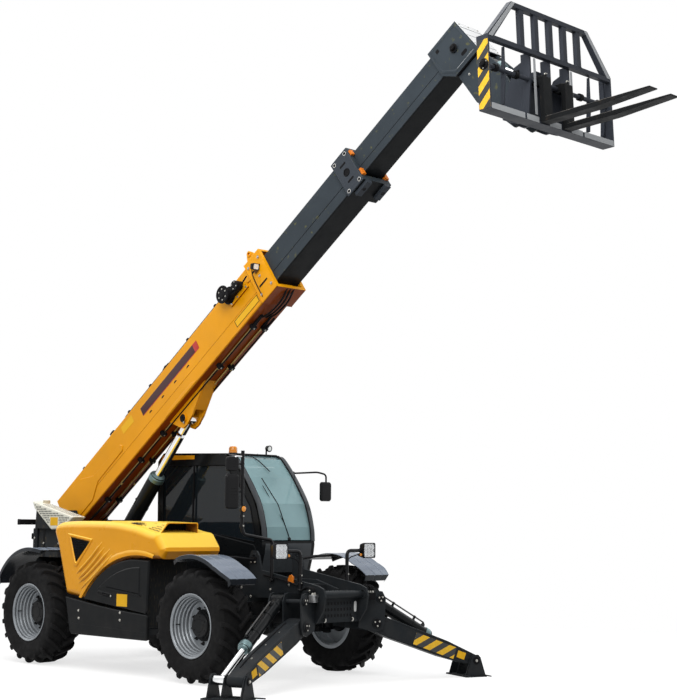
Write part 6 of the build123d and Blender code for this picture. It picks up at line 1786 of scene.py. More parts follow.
def seat_and_console():
    """Operator's seat with bolsters on its suspension, and the console with wheel, screen, switches and
    pedals.
    """
    fabric, plastic_black, zinc = "seat_fabric", "console_plastic", "zinc"
    low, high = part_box("operator_seat")
    middle = (low.y + high.y) / 2
    seat = Shape()

    def cushion(frame_at, length, width, thick, crown):
        """Stuffed block with bolstered sides."""
        rings = []
        for k in range(9):
            t = k / 8
            u = -length / 2 + length * t
            shrink = 1 - 0.16 * abs(2 * t - 1) ** 4
            ring = []
            for m in range(20):
                a = 2 * pi * m / 20
                v = width / 2 * shrink * max(-1, min(1, 1.22 * cos(a)))
                w = thick / 2 * max(-1, min(1, 1.25 * sin(a))) * shrink
                if w > 0:
                    w += crown * (abs(v) / (width / 2)) ** 3
                ring.append(frame_at(u, v, w))
            rings.append(ring)
        seat.loft(rings, fabric)

    cushion(lambda u, v, w: at(-0.345 + u, middle + v, 1.165 + w + 0.03 * u), 0.5, 0.44, 0.12, 0.022)
    lean = Vector((-0.143, 0, 0.99))
    ahead = Vector((0.99, 0, 0.143))
    base = at(-0.585, middle, 1.5)
    cushion(lambda u, v, w: base + lean * u + Vector((0, v, 0)) + ahead * w, 0.56, 0.42, 0.11, 0.025)
    head = at(-0.65, middle, 1.825)
    cushion(lambda u, v, w: head + lean * u + Vector((0, v, 0)) + ahead * w, 0.15, 0.26, 0.08, 0.006)
    piece = seat.make("seat_cushions", "chassis", bevel=0, subdivide=1)
    stand = Shape()
    narrow, wide = round_rect(0.36, 0.34, 0.05), round_rect(0.4, 0.38, 0.05)
    for k in range(7):
        fold = ((narrow, 0.0), (wide, 0.015), (narrow, 0.03))
        stand.loft([[at(-0.35 + a, middle + b, 0.85 + k * 0.03 + lift) for a, b in line]
                    for line, lift in fold], plastic_black)
    stand.box(at(-0.54, middle - 0.2, 0.822), at(-0.16, middle + 0.2, 0.85), plastic_black)
    stand.loft([[at(-0.35 + a, middle + b, 1.062) for a, b in round_rect(0.44, 0.42, 0.04)],
                [at(-0.35 + a, middle + b, 1.1) for a, b in round_rect(0.48, 0.44, 0.05)]], plastic_black)
    for hand in (1, -1):
        y = middle + hand * 0.205
        stand.tube(run([(-0.6, 1.3), (-0.58, 1.345), (-0.3, 1.345)], y), 0.022, plastic_black, 12,
                   bend=0.03)
    for x in (-0.5, -0.2):
        for hand in (1, -1):
            stand.bolt(at(x, middle + hand * 0.17, 0.85), UP, 0.008, zinc)
    piece = stand.make("seat_base", "chassis", bevel=0.003)
    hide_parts("operator_seat")

    dash = Shape()
    outline = [(0.42, 0.822), (0.56, 0.822), (0.7, 1.1), (0.74, 1.38), (0.6, 1.42), (0.48, 1.38),
               (0.46, 1.2)]
    rings = []
    for y, inset in ((-0.258, 0.02), (-0.25, 0.006), (-0.235, 0.0), (0.235, 0.0), (0.25, 0.006),
                     (0.258, 0.02)):
        rings.append(run(inset_outline(outline, inset), 0.71 + y))
    dash.loft(rings, plastic_black)
    dash.tube([at(0.53, 0.71, 1.37), at(0.345, 0.71, 1.545)], 0.026, plastic_black, 20)
    axis = Vector((-0.726, 0, 0.688))
    centre = at(0.33, 0.71, 1.56) + axis * 0.008
    u, v = cross_axes(axis)
    rim = [centre + (u * cos(a) + v * sin(a)) * 0.171 for a in turns(48)]
    rings = []
    for k, p in enumerate(rim):
        outward = (p - centre).normalized()
        rings.append([p + outward * (0.0125 * cos(b)) + axis * (0.0115 * sin(b)) for b in turns(12)])
    rings.append(rings[0])
    dash.loft(rings, plastic_black, caps=False)
    for a in (0.35, 2.45, 4.71):
        dash.tube([centre + (u * cos(a) + v * sin(a)) * 0.03, centre + (u * cos(a) + v * sin(a)) * 0.165],
                  0.009, plastic_black, 10)
    dash.lathe(centre, axis, [(-0.012, 0.03), (-0.012, 0.046), (0.004, 0.044), (0.01, 0.034), (0.011, 0.0)],
               plastic_black, 32)
    dash.tube([centre + u * 0.16 + axis * 0.008, centre + u * 0.16 + axis * 0.04], 0.008, plastic_black, 10)
    # instrument screen, switches and pedals
    dash.prism([at(0.6, 0.8, 1.428), at(0.52, 0.8, 1.404), at(0.52, 0.94, 1.404), at(0.6, 0.94, 1.428)],
               Vector((0.004, 0, -0.016)), plastic_black)
    decal(dash, at(0.524, 0.81, 1.4055), (0, 0.12, 0), (0.072, 0, 0.0215), "screen_dark",
          (-0.0006, 0, 0.002))
    for k in range(6):
        dash.box(at(0.53, 0.5 + k * 0.032, 1.398), at(0.556, 0.522 + k * 0.032, 1.41), "trim_grey")
    for y in (0.6, 0.8):
        dash.prism([at(0.3, y - 0.04, 0.86), at(0.4, y - 0.04, 0.93), at(0.4, y + 0.04, 0.93),
                    at(0.3, y + 0.04, 0.86)], Vector((0.006, 0, -0.008)), "trim_black")
        dash.tube([at(0.37, y, 0.9), at(0.44, y, 0.93)], 0.008, "trim_black", 8)
    piece = dash.make("console_and_wheel", "chassis", bevel=0.0035)
    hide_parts("steering_console")


def mirror_head(shape, centre, section, steps, glass_depth):
    """Mirror's rounded shell with its glass just behind the rear edge."""
    shape.layers(centre, section, steps, "lamp_black")
    glass = [centre + Vector((-glass_depth, a * 0.92, b * 0.92)) for a, b in section]
    shape.add(glass, [range(len(section))[::-1]], "mirror_glass")


def lamps_and_mirrors():
    """Headlamps with their reflectors, the beacon, and the mirrors on their bent arms."""
    black, zinc = "lamp_black", "zinc"
    x, y, z = 2.238, 0.644, 1.359
    lamps = Shape()
    for hand in (1, -1):
        middle = at(x, hand * y, z)
        section = round_rect(0.18, 0.164, 0.02)
        for steps in (((-0.06, 0.55), (-0.03, 0.86)), ((-0.03, 0.86), (0.02, 1.0))):
            lamps.layers(middle, section, steps, black)
        lamps.layers(middle, section, ((0.02, 1.0), (0.0445, 1.0), (0.0448, 0.9), (0.022, 0.88)), black,
                     caps=False)
        decal(lamps, at(x + 0.03, hand * y - 0.079, z - 0.072), (0, 0.158, 0), (0, 0, 0.144),
              "reflector_bowl", (0.001, 0, 0))
        for row in range(2):
            for column in range(3):
                centre = at(x + 0.032, hand * y - 0.052 + column * 0.052, z - 0.034 + row * 0.068)
                lamps.lathe(centre, (1, 0, 0), [(0.008, 0.025), (0.01, 0.022), (0.004, 0.014),
                                                (0.001, 0.009), (0.004, 0.006), (0.005, 0.0)],
                            "reflector_bowl", 24)
        lamps.layers(middle, section, ((0.0405, 0.885), (0.0435, 0.84)), "lens_glass")
        post_y = hand * POST_Y
        lamps.tube([at(x, post_y, 0.955), at(x, post_y, z), at(x, hand * (y - 0.088), z)], 0.019, black, 16,
                   bend=0.06)
        lamps.lathe(at(x, post_y, 0.955), UP, [(0, 0.03), (0.012, 0.03), (0.02, 0.021)], black, 24)
        lamps.lathe(at(x, hand * (y - 0.1), z), (0, hand, 0), [(0, 0.028), (0.014, 0.028), (0.018, 0.022)],
                    black, 24)
        for spot in (at(x, post_y, 1.02), at(x, post_y, 1.1)):
            lamps.lathe(spot, UP, [(0, 0.0195), (0, 0.024), (0.02, 0.024), (0.02, 0.0195)], black, 24)
            lamps.bolt(spot + Vector((0.024, 0, 0.01)), (1, 0, 0), 0.006, zinc)
        # indicator beside the lamp
        centre = at(x + 0.012, hand * (y - 0.115), z - 0.045)
        lamps.lathe(centre, (1, 0, 0), [(-0.02, 0.014), (0.0, 0.018), (0.012, 0.018)], black, 20)
        lamps.lathe(centre + Vector((0.012, 0, 0)), (1, 0, 0), [(0, 0.016), (0.006, 0.013), (0.009, 0.0)],
                    "lens_amber", 20)
        lamps.hose([at(x - 0.055, hand * y, z - 0.02), at(x - 0.075, hand * (y - 0.08), z - 0.05),
                    at(x - 0.012, post_y + hand * 0.03, z - 0.1),
                    at(x - 0.01, post_y + hand * 0.024, 1.05)], 0.006)
    piece = lamps.make("headlamp_pair", "chassis", bevel=0.0015)
    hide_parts("headlights")

    low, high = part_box("beacon")
    centre = Vector(((low.x + high.x) / 2, (low.y + high.y) / 2, low.z))
    light = Shape()
    height = high.z - low.z
    light.lathe(centre, UP, [(0, 0.062), (0.012, 0.062), (0.018, 0.055), (0.022, 0.052)], black, 48)
    light.lathe(centre + Vector((0, 0, 0.02)), UP, [(0, 0.05), (0.004, 0.052), (height - 0.04, 0.048),
            (height - 0.026, 0.04), (height - 0.021, 0.022), (height - 0.02, 0.0)], "beacon_amber", 48)
    for k in range(3):
        light.lathe(centre + Vector((0, 0, 0.034 + k * 0.018)), UP,
                    [(-0.002, 0.0505), (0, 0.0525), (0.002, 0.0505)], "beacon_amber", 48)
    for a in turns(3):
        light.bolt(centre + Vector((0.056 * cos(a), 0.056 * sin(a), 0.012)), UP, 0.004, zinc, washer=False)
    piece = light.make("beacon_lamp", "chassis", bevel=0.001)
    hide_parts("beacon")

    mirrors = Shape()
    foot_y = -POST_Y
    mirrors.tube([at(1.8, foot_y, 1.045), at(1.8, foot_y, 1.465), at(1.8, -0.74, 1.525),
                  at(1.8, -0.77, 1.6), at(1.8, -0.77, 2.395)], 0.019, black, 16, bend=0.05)
    mirrors.lathe(at(1.8, foot_y, 1.045), UP, [(0, 0.032), (0.014, 0.032), (0.022, 0.021)], black, 24)
    for z0 in (1.6, 1.7):
        mirrors.lathe(at(1.8, -0.77, z0), UP, [(0, 0.0195), (0, 0.026), (0.03, 0.026), (0.03, 0.0195)],
                      black, 24)
        mirrors.bolt(at(1.826, -0.77, z0 + 0.015), (1, 0, 0), 0.007, zinc)
    mirrors.tube([at(1.8, -0.772, 2.335), at(1.8, -0.86, 2.335), at(1.8, -0.9, 2.3)], 0.009, "chrome", 12,
                 bend=0.04)
    for centre_y, z0, width, height in ((-0.905, 1.97, 0.17, 0.36), (-0.905, 2.255, 0.16, 0.15)):
        section = round_rect(width, height, 0.03)
        steps = ((0.018, 0.7), (0.014, 0.93), (0.002, 1.0), (-0.014, 1.0), (-0.02, 0.97))
        mirror_head(mirrors, at(1.795, centre_y, z0), section, steps, 0.0202)
        mirrors.tube([at(1.8, -0.77, z0), at(1.8, centre_y + width * 0.3, z0)], 0.01, black, 10)
        for k in range(3):
            mirrors.tube([at(1.8135, centre_y - width * 0.3, z0 - 0.03 + k * 0.03),
                          at(1.8135, centre_y + width * 0.3, z0 - 0.03 + k * 0.03)], 0.002, black, 6)
    # round lamp on the post
    lamp = at(1.815, -0.77, 1.79)
    mirrors.lathe(lamp, (1, 0, 0), [(-0.03, 0.016), (-0.02, 0.034), (0.004, 0.04), (0.012, 0.04),
                                    (0.014, 0.034)], black, 28)
    mirrors.lathe(lamp + Vector((0.01, 0, 0)), (1, 0, 0), [(0, 0.035), (0.005, 0.028), (0.007, 0.0)],
                  "lens_amber", 28)
    # left mirror on its bent arm from the front pillar
    arm_y = 1.1315
    mirrors.tube([at(0.545, arm_y, 2.235), at(0.955, arm_y, 2.24), at(0.985, 1.245, 2.215),
                  at(0.985, 1.245, 2.11)], 0.0105, black, 12, bend=0.05)
    mirrors.lathe(at(0.545, arm_y - 0.009, 2.235), (0, 1, 0), [(0, 0.022), (0.012, 0.022), (0.014, 0.012)],
                  black, 20)
    steps = ((0.018, 0.72), (0.013, 0.94), (0.002, 1.0), (-0.014, 1.0), (-0.019, 0.97))
    mirror_head(mirrors, at(0.98, 1.245, 2.015), round_rect(0.168, 0.226, 0.03), steps, 0.0192)
    piece = mirrors.make("mirror_set", "chassis", bevel=0.0012)
    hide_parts("mirrors")


# ------------------------------------------------------------------ mudguards, rear end and tank
def mudguards():
    """Glossy guards with two pressed grooves, rolled edges and faceted tips, on their brackets."""
    grey, black, zinc = "guard_grey", "trim_black", "zinc"
    table = (("front", HALF_BASE, 0.715, 40, 116), ("rear", -HALF_BASE, 0.738, 75, 155))
    for name, x, radius, first, last in table:
        guard = Shape()
        for hand in (1, -1):
            # section across: place from the middle, lift from the inner radius; outer side last
            across = [(-0.2, 0.0), (-0.199, 0.006), (-0.19, 0.0095), (-0.075, 0.0095), (-0.066, 0.0035),
                      (-0.05, 0.0035), (-0.041, 0.0095), (0.06, 0.0095), (0.069, 0.0035), (0.085, 0.0035),
                      (0.094, 0.0095), (0.184, 0.0095), (0.194, 0.014), (0.204, 0.01), (0.206, -0.03),
                      (0.201, -0.03), (0.197, 0.001), (-0.194, 0.0005)]
            rings = []
            steps = 44
            for k in range(-2 if name == "front" else 0, steps + 1):
                t = max(0, k) / steps
                a = radians(first + (last - first) * t + min(0, k) * 1.2)
                end = min(t, 1 - t) * (last - first) + min(0, k) * 3
                narrow = 1.0 if end > 9 else 0.8 + 0.2 * max(-6.0, end) / 9
                flare = 0.0
                if name == "front":
                    flare = 0.045 * max(0.0, 59 - first - (last - first) * t) / 19 + min(0, k) * 0.028
                ring = []
                for v, lift in across:
                    r = radius + flare + (lift if v > 0.19 else max(lift, 0.0005))
                    ring.append(at(x + r * cos(a), hand * (1.0 + v * (narrow if v > 0 else 1.0)),
                                   HUB_Z + r * sin(a)))
                rings.append(ring)
            guard.loft(rings, grey)
            # rolled bead along both ends and the outer edge
            for t in (1,) if name == "front" else (0, 1):
                a = radians(first + (last - first) * t)
                turn = 0.0045 / radius * (1 if t == 0 else -1)
                r = radius + 0.005
                guard.tube([at(x + r * cos(a + turn), hand * (1.0 - 0.196), HUB_Z + r * sin(a + turn)),
                            at(x + r * cos(a + turn), hand * (1.0 + 0.156), HUB_Z + r * sin(a + turn))],
                           0.0045, grey, 8)
            top = HUB_Z + radius
            if name == "front":
                for dx in (-0.02, 0.02):
                    guard.tube([at(x + dx, hand * 0.33, top - 0.055), at(x + dx, hand * 0.6, top - 0.022),
                                at(x + dx, hand * 0.95, top - 0.014)], 0.013, black, 12, bend=0.08)
                hand_box(guard, hand, (x - 0.045, x + 0.045), (0.3226, 0.332), (top - 0.09, top - 0.02),
                         black)
                for dx in (-0.03, 0.03):
                    guard.bolt(at(x + dx, hand * 0.332, top - 0.075), (0, hand, 0), 0.008, zinc)
            else:
                rail, post = 0.2353, 0.3803
                hand_box(guard, hand, (x - 0.03, x + 0.03), (rail, post), (0.97, 1.01), black)
                hand_box(guard, hand, (x - 0.03, x + 0.03), (post - 0.03, post), (1.005, top - 0.004),
                         black)
                hand_box(guard, hand, (x - 0.024, x + 0.024), (post - 0.005, 0.92),
                         (top - 0.036, top - 0.004), black)
                for z in (1.06, 1.16, 1.26):
                    guard.bolt(at(x, hand * post, z), (0, hand, 0), 0.008, zinc)
            for v in (-0.13, 0.0, 0.13):
                guard.bolt(at(x, hand * (1.0 + v), HUB_Z + radius + 0.0035), UP, 0.0055, zinc)
        piece = guard.make(name + "_guards", "chassis", bevel=0.001, smooth=28)
        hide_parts(name + "_mudguards")


def rear_end():
    """Counterweight with its cast edges, lamps and plain plates, and the bar of lamps above it."""
    grey, black, zinc = "weight_grey", "trim_black", "zinc"
    coat_node("counterweight", grey, 0.014)
    fit = Shape()
    back = -2.3305
    ahead = Vector((-1, 0, 0))

    def rear_frame(u, v, y):
        return at(back - y, -u, v)

    # cast field with a raised rim, twin vents and bolts
    for y0, y1 in ((-0.56, -0.24), (0.24, 0.56)):
        outline = rectangle((y0, y1), (0.78, 1.18))
        rim = ((0.0, 0.0), (0.006, 0.005), (0.018, 0.005), (0.024, 0.0))
        fit.loft([run(inset_outline(outline, inset), lift, rear_frame) for inset, lift in rim], grey,
                 caps=False)
        for k in range(6):
            z = 0.86 + k * 0.05
            block(fit, rear_frame, (y0 + 0.06, y1 - 0.06), (z, z + 0.02), (0.0, 0.004), black)
    for u in (-0.2, 0.2):
        for z in (0.74, 1.0, 1.3):
            fit.lathe(rear_frame(u, z, 0), ahead, [(0, 0.032), (0.004, 0.032), (0.006, 0.026)], grey, 28)
            fit.bolt(rear_frame(u, z, 0.005), ahead, 0.017, zinc)
    # number-plate holder left plain, towing pin with its chain
    face_plate(fit, rear_frame, rectangle((-0.13, 0.13), (1.22, 1.34)), 0.0, 0.004, black, 0.004)
    fit.tube([rear_frame(0.065, 0.92, 0.02), rear_frame(0.075, 0.86, 0.035), rear_frame(0.062, 0.8, 0.02)],
             0.004, zinc, 8)
    for z in (0.761, 0.861):
        for y in (-0.045, 0.045):
            fit.tube([at(-2.332, y, z + 0.015), at(-2.42, y, z + 0.015)], 0.0035, grey, 6)
    fit.lathe(at(-2.39, 0, 0.89), UP, [(0, 0.04), (0.003, 0.038), (0.003, 0.0172), (0, 0.0172)], zinc, 32,
              closed=True)
    for hand in (1, -1):
        side = hand * 0.6205
        face_plate(fit, on_side, rectangle((-2.28, -2.22), (0.74, 1.5)), side, hand * 0.004, grey, 0.01)
        for z in (0.8, 1.12, 1.44):
            fit.bolt(at(-2.25, side + hand * 0.004, z), (0, hand, 0), 0.01, zinc)
    fit.make("counterweight_fittings", "chassis", bevel=0.0015)

    lamps = Shape()
    for hand in (1, -1):
        for k, (finish, y, width) in enumerate((("lens_red", 0.395, 0.11), ("lens_amber", 0.505, 0.08),
                                                ("lens_clear", 0.585, 0.05))):
            centre = hand * y
            section = round_rect(width, 0.075, 0.012)
            lamps.layers(at(back, centre, 1.46), section, ((0, 1.0), (-0.01, 1.0), (-0.014, 0.94)), black)
            lamps.layers(at(back, centre, 1.46), section, ((-0.013, 0.88), (-0.019, 0.84)), finish)
        # light bar: box section with end caps, holes, red lenses and brackets
        caps = [((0.06, 0.07, 0.012), (hand * y - 0.006, hand * y + 0.006)) for y in (0.84, 0.27)]
        for size, ends in (((0.056, 0.066, 0.01), both_ways(hand, 0.262, 0.848)), *caps):
            section = [(u - 2.27, v + 1.635) for u, v in round_rect(*size)]
            lamps.loft([run(section, y) for y in ends], black)
        for y in (0.5, 0.62):
            lamps.lathe(at(-2.2425, hand * y, 1.635), (1, 0, 0),
                        [(-0.001, 0.02), (0.002, 0.02), (0.002, 0.015), (-0.0005, 0.013), (-0.0005, 0.0)],
                        black, 24)
        lamps.layers(at(-2.2985, hand * 0.72, 1.635), round_rect(0.14, 0.046, 0.01),
                     ((0.0, 1.0), (-0.001, 0.96)), "lens_red")
        hand_box(lamps, hand, (-2.296, -2.244), (0.322, 0.378), (1.5605, 1.606), black)
        for y in (0.335, 0.365):
            lamps.bolt(at(-2.244, hand * y, 1.583), (1, 0, 0), 0.006, zinc)
        lamps.hose([at(-2.262, hand * 0.42, 1.604), at(-2.268, hand * 0.4, 1.575),
                    at(-2.275, hand * 0.3, 1.5655), at(-2.262, hand * 0.22, 1.5625)], 0.006)
    piece = lamps.make("rear_lamps", "chassis", bevel=0.001)
    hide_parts("rear_light_bar")


def exhaust_parts():
    """Silencer in a perforated pale guard, with a plain label and the upright pipe."""
    white, cream, dark, zinc = "exhaust_white", "pipe_cream", "trim_black", "zinc"
    guard = Shape()
    line = [(-2.17, 1.8), (-2.223, 1.895), (-1.33, 1.698), (-1.56, 1.562), (-1.8, 1.545)]
    y_out, y_in = -0.698, -0.502
    rings = []
    for y, inset in ((y_out, 0.022), (y_out + 0.007, 0.006), (y_out + 0.022, 0.0), (y_in - 0.022, 0.0),
                     (y_in - 0.007, 0.006), (y_in, 0.022)):
        rings.append(run(inset_outline(line, inset), y))
    guard.loft(rings, white)
    # the guard's holes are dark discs: painted shade where the holes are
    inner = inset_outline(line, 0.028)
    zs = [p[1] for p in inner]
    row, z = 0, min(zs) + 0.01
    while z < max(zs):
        for low, high in crossings(inner, z):
            x = low + (0.015 if row % 2 else 0.0) + 0.012
            while x < high - 0.01:
                if not (-1.83 < x < -1.63 and 1.58 < z < 1.71):
                    guard.lathe(at(x, y_out - 0.0004, z), (0, 1, 0),
                                [(-0.0008, 0.0098), (0.0004, 0.0098), (0.0002, 0.0)], dark, 6)
                x += 0.03
        z += 0.026
        row += 1
    # holes along the sloping top, dark discs of painted shade
    a, b = Vector((-2.223, 1.895)), Vector((-1.33, 1.698))
    normal = Vector((-(b - a).normalized().y, (b - a).normalized().x))
    for row in range(5):
        for k in range(26):
            p = a.lerp(b, 0.06 + k * 0.035) + normal * 0.0006
            if (p - Vector((-2.107, p.y))).length < 0.075:
                continue
            guard.lathe(at(p.x, y_out + 0.034 + row * 0.032, p.y), (normal.x, 0, normal.y),
                        [(-0.0004, 0.0095), (0.0006, 0.0095), (0.0004, 0.0)], dark, 6)
    decal(guard, at(-1.81, y_out, 1.595), (0.16, 0, 0), (0, 0, 0.1), "label_plain", (0, -0.0012, 0))
    # straps and bolts round the silencer's box
    guard.box(at(-2.19, -0.6, 1.212), at(-1.64, -0.2355, 1.56), "engine_iron")
    wedge = [(-2.185, 1.558), (-2.165, 1.795), (-1.815, 1.558)]
    guard.prism(run(wedge, -0.665), Vector((0, 0.36, 0)), "engine_iron")
    for x in (-2.08, -1.76):
        guard.box(at(x - 0.02, -0.604, 1.214), at(x + 0.02, -0.236, 1.5645), dark)
        guard.bolt(at(x, -0.604, 1.38), (0, -1, 0), 0.01, zinc)
    for k in range(5):
        guard.box(at(-2.15, -0.56 + k * 0.065, 1.5595), at(-1.68, -0.54 + k * 0.065, 1.566), "engine_iron")
    # pipe with its clamp and mitred tip
    foot = at(-2.107, -0.56, 1.86)
    guard.lathe(foot, UP, [(-0.02, 0.038), (0.0, 0.038), (-0.015, 0.045)], cream, 40)
    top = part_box("exhaust")[1].z - 0.002
    guard.lathe(at(-2.107, -0.56, 0), UP, [(top, 0.037), (top - 0.003, 0.043), (top - 0.01, 0.0445),
                                           (1.72, 0.0445), (1.72, 0.034), (top - 0.02, 0.034)], cream, 48,
                closed=True)
    guard.lathe(at(-2.107, -0.56, top - 0.05), UP, [(0, 0.001), (0.001, 0.0345)], dark, 32)
    piece = guard.make("exhaust_guard", "chassis", bevel=0.0012)
    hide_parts("exhaust")


def tank_and_steps():
    """Left tank with its straps, filler and ribs, and the steps up to the cab."""
    black, zinc, grey = "tank_black", "zinc", "chassis_grey"
    low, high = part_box("left_tank")
    tank = Shape()
    section = round_rect(high.y - low.y - 0.002, high.z - low.z - 0.002, 0.045, 5)
    middle = ((low.y + high.y) / 2, (low.z + high.z) / 2)
    length_x = high.x - low.x
    steps = ((0, 0.965), (0.012, 0.99), (0.03, 1.0), (length_x - 0.03, 1.0), (length_x - 0.012, 0.99),
             (length_x, 0.965))
    tank.layers((low.x, *middle), section, steps, black)
    for k in range(4):
        x = low.x + 0.15 + k * (high.x - low.x - 0.3) / 3
        tank.loft([[Vector((x + d, middle[0] + a, middle[1] + b)) for a, b in section]
                   for d in (-0.022, 0.022)], grey)
        tank.bolt((x, high.y - 0.001, high.z - 0.1), (0, 1, 0), 0.008, zinc)
    # steps: two treads in side cheeks, standing off the tank's face
    face = high.y
    for z in (0.44, 0.6):
        tank.box(at(0.02, face, z), at(0.46, face + 0.055, z + 0.014), grey)
        for k in range(9):
            tank.box(at(0.04 + k * 0.047, face + 0.006, z + 0.014),
                     at(0.065 + k * 0.047, face + 0.052, z + 0.019), zinc)
    for x in (0.008, 0.46):
        cheek = [at(x, face + y, z) for y, z in ((-0.001, 0.42), (0.058, 0.44), (0.058, 0.62),
                                                 (-0.001, 0.66))]
        tank.prism(cheek, (0.012, 0, 0), grey)
    filler = at(-0.5, face, 0.6)
    tank.lathe(filler, (0, 1, 0), [(0, 0.055), (0.014, 0.055), (0.018, 0.048), (0.034, 0.046),
                                   (0.04, 0.038), (0.04, 0.0)], black, 36)
    for a in turns(8):
        tank.cylinder(filler + Vector((0.047 * cos(a), 0.018, 0.047 * sin(a))),
                      filler + Vector((0.044 * cos(a), 0.038, 0.044 * sin(a))), 0.005, black, 8)
    face_plate(tank, on_side, rectangle((-0.58, -0.12), (0.43, 0.52)), face, 0.006, black, 0.008)
    piece = tank.make("fuel_tank_and_steps", "chassis", bevel=0.002)
    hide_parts("left_tank")


# ------------------------------------------------------------------ the machine's finishes, and the stage
def make_finishes(settings):
    """Every finish of the machine, by name."""
    # cover yellow: the last two colours are painted shade on faces that look down and a painted highlight
    # on faces that look up
    paint("cover_yellow", tuple(settings.cover_colour), 0.3, 0.1, 0.0, (0.3, 0.1, 0.004),
          (0.92, 0.62, 0.07))
    # base orange: the last colour is painted shade on faces that look down
    paint("base_orange", tuple(settings.boom_colour), 0.36, 0.04, 0.0, (0.24, 0.045, 0.002))
    # boom slate: the last colour is painted shade on faces that look down
    worn("boom_slate", tuple(settings.section_colour), (0.12, 0.12, 0.05), 0.42, (0.62, 0.76), 0.0, 0.04,
         (0.006, 0.007, 0.008))
    paint("collar_dark", (0.044, 0.052, 0.064), 0.4, 0.05, 0.1)
    paint("chassis_grey", tuple(settings.frame_colour), 0.42, 0.04, 0.15)
    paint("weight_grey", (0.013, 0.015, 0.017), 0.5, 0.03, 0.15)
    paint("panel_grey", (0.008, 0.009, 0.01), 0.36, 0.05, 0.08)
    paint("carriage_grey", (0.044, 0.05, 0.063), 0.4, 0.05, 0.1)
    # guard grey: lit and shaded copies of one paint, the lighter colour a painted highlight on faces that
    # look up, the darker sides painted shade
    paint("guard_grey", (0.022, 0.026, 0.032), 0.24, 0.3, 0.0, None, (0.15, 0.18, 0.23))
    paint("pillar_grey", (0.05, 0.056, 0.062), 0.24, 0.25, 0.0)
    paint("cab_black", (0.006, 0.007, 0.008), 0.26, 0.12, 0.02)
    paint("cylinder_black", (0.006, 0.007, 0.008), 0.28, 0.12, 0.04)
    paint("axle_black", (0.007, 0.008, 0.009), 0.42, 0.05, 0.2)
    paint("hub_black", (0.008, 0.009, 0.01), 0.4, 0.15, 0.15)
    paint("exhaust_white", (0.78, 0.77, 0.67), 0.45, 0.1, 0.1)
    paint("pipe_cream", (0.52, 0.46, 0.34), 0.5, 0.0, 0.0)
    paint("band_maroon", (0.055, 0.018, 0.022), 0.35, 0.2, 0.0)
    paint("band_red", (0.46, 0.02, 0.014), 0.35, 0.2, 0.0)
    paint("label_white", (0.7, 0.7, 0.68), 0.5, 0.0, 0.05)
    paint("label_plain", (0.85, 0.47, 0.02), 0.5, 0.0, 0.05)
    paint("strip_light", (0.42, 0.44, 0.46), 0.4, 0.1, 0.1)
    paint("cover_pale", (0.72, 0.73, 0.74), 0.4, 0.2, 0.05)
    paint("pad_orange", (0.75, 0.2, 0.015), 0.4, 0.1, 0.0)
    paint("beacon_amber", (0.85, 0.3, 0.012), 0.12, 0.8, 0.0)
    paint("lens_amber", (0.85, 0.3, 0.012), 0.12, 0.8, 0.0)
    paint("lens_red", (0.55, 0.015, 0.01), 0.12, 0.8, 0.0)
    paint("reflector_white", (0.75, 0.76, 0.76), 0.12, 0.8, 0.0)
    worn("fork_black", (0.012, 0.013, 0.014), (0.04, 0.032, 0.026), 0.46, (0.62, 0.82))
    worn("fork_worn", (0.08, 0.08, 0.08), (0.2, 0.18, 0.16), 0.38, (0.45, 0.65), 0.6)
    # darker orange copy of the yellow and orange paints: painted shade inside the scoop and behind the
    # collar lamps
    worn("painted_shade_orange", (0.26, 0.1, 0.01), (0.1, 0.06, 0.02), 0.55, (0.55, 0.8))
    worn("engine_iron", (0.03, 0.032, 0.034), (0.1, 0.08, 0.05), 0.6, (0.55, 0.8))
    rubber("tyre_rubber", (0.01, 0.01, 0.0105))
    rubber("hose_black", (0.008, 0.008, 0.009))
    plastic("trim_black", (0.008, 0.008, 0.009), 0.45)
    plastic("trim_grey", (0.03, 0.033, 0.037), 0.5)
    plastic("seal_black", (0.006, 0.006, 0.007), 0.6)
    plastic("console_plastic", (0.026, 0.027, 0.029), 0.55, 500.0, 0.25)
    plastic("lamp_black", (0.008, 0.008, 0.009), 0.35, 420.0, 0.1, 0.15)
    plastic("tank_black", (0.01, 0.011, 0.012), 0.5, 300.0, 0.2)
    metal("rim_silver", (0.25, 0.27, 0.29), 0.4, 0.0, 0.5)
    metal("zinc", (0.42, 0.41, 0.38), 0.32)
    metal("brass", (0.4, 0.29, 0.11), 0.34)
    metal("pipe_dark", (0.07, 0.07, 0.07), 0.35, 0.0, 0.7)
    metal("chrome", (0.8, 0.81, 0.82), 0.07)
    metal("valve_silver", (0.58, 0.59, 0.6), 0.3)
    metal("gland_teal", (0.13, 0.2, 0.21), 0.35, 0.0, 0.6)
    metal("reflector_bowl", (0.8, 0.81, 0.82), 0.12)
    metal("mirror_glass", (0.72, 0.74, 0.76), 0.03)
    stripes("hazard_stripes", (0.9, 0.52, 0.015), (0.016, 0.018, 0.02), 0.17, -1.0)
    stripes("hazard_mirrored", (0.9, 0.52, 0.015), (0.016, 0.018, 0.02), 0.17, 1.0)
    # cab glass: its last colour is the painted near-black shade of the side windows
    tinted_glass("cab_glass", tuple(settings.glass_tint), 0.02, 0.55, (0.01, 0.014, 0.018))
    tinted_glass("lens_glass", (0.75, 0.78, 0.8), 0.02, 0.25)
    tinted_glass("screen_dark", (0.01, 0.014, 0.018), 0.05, 1.0)
    glow("lens_clear", (0.8, 0.82, 0.8), 0.25)
    cloth("seat_fabric", (0.02, 0.02, 0.022))


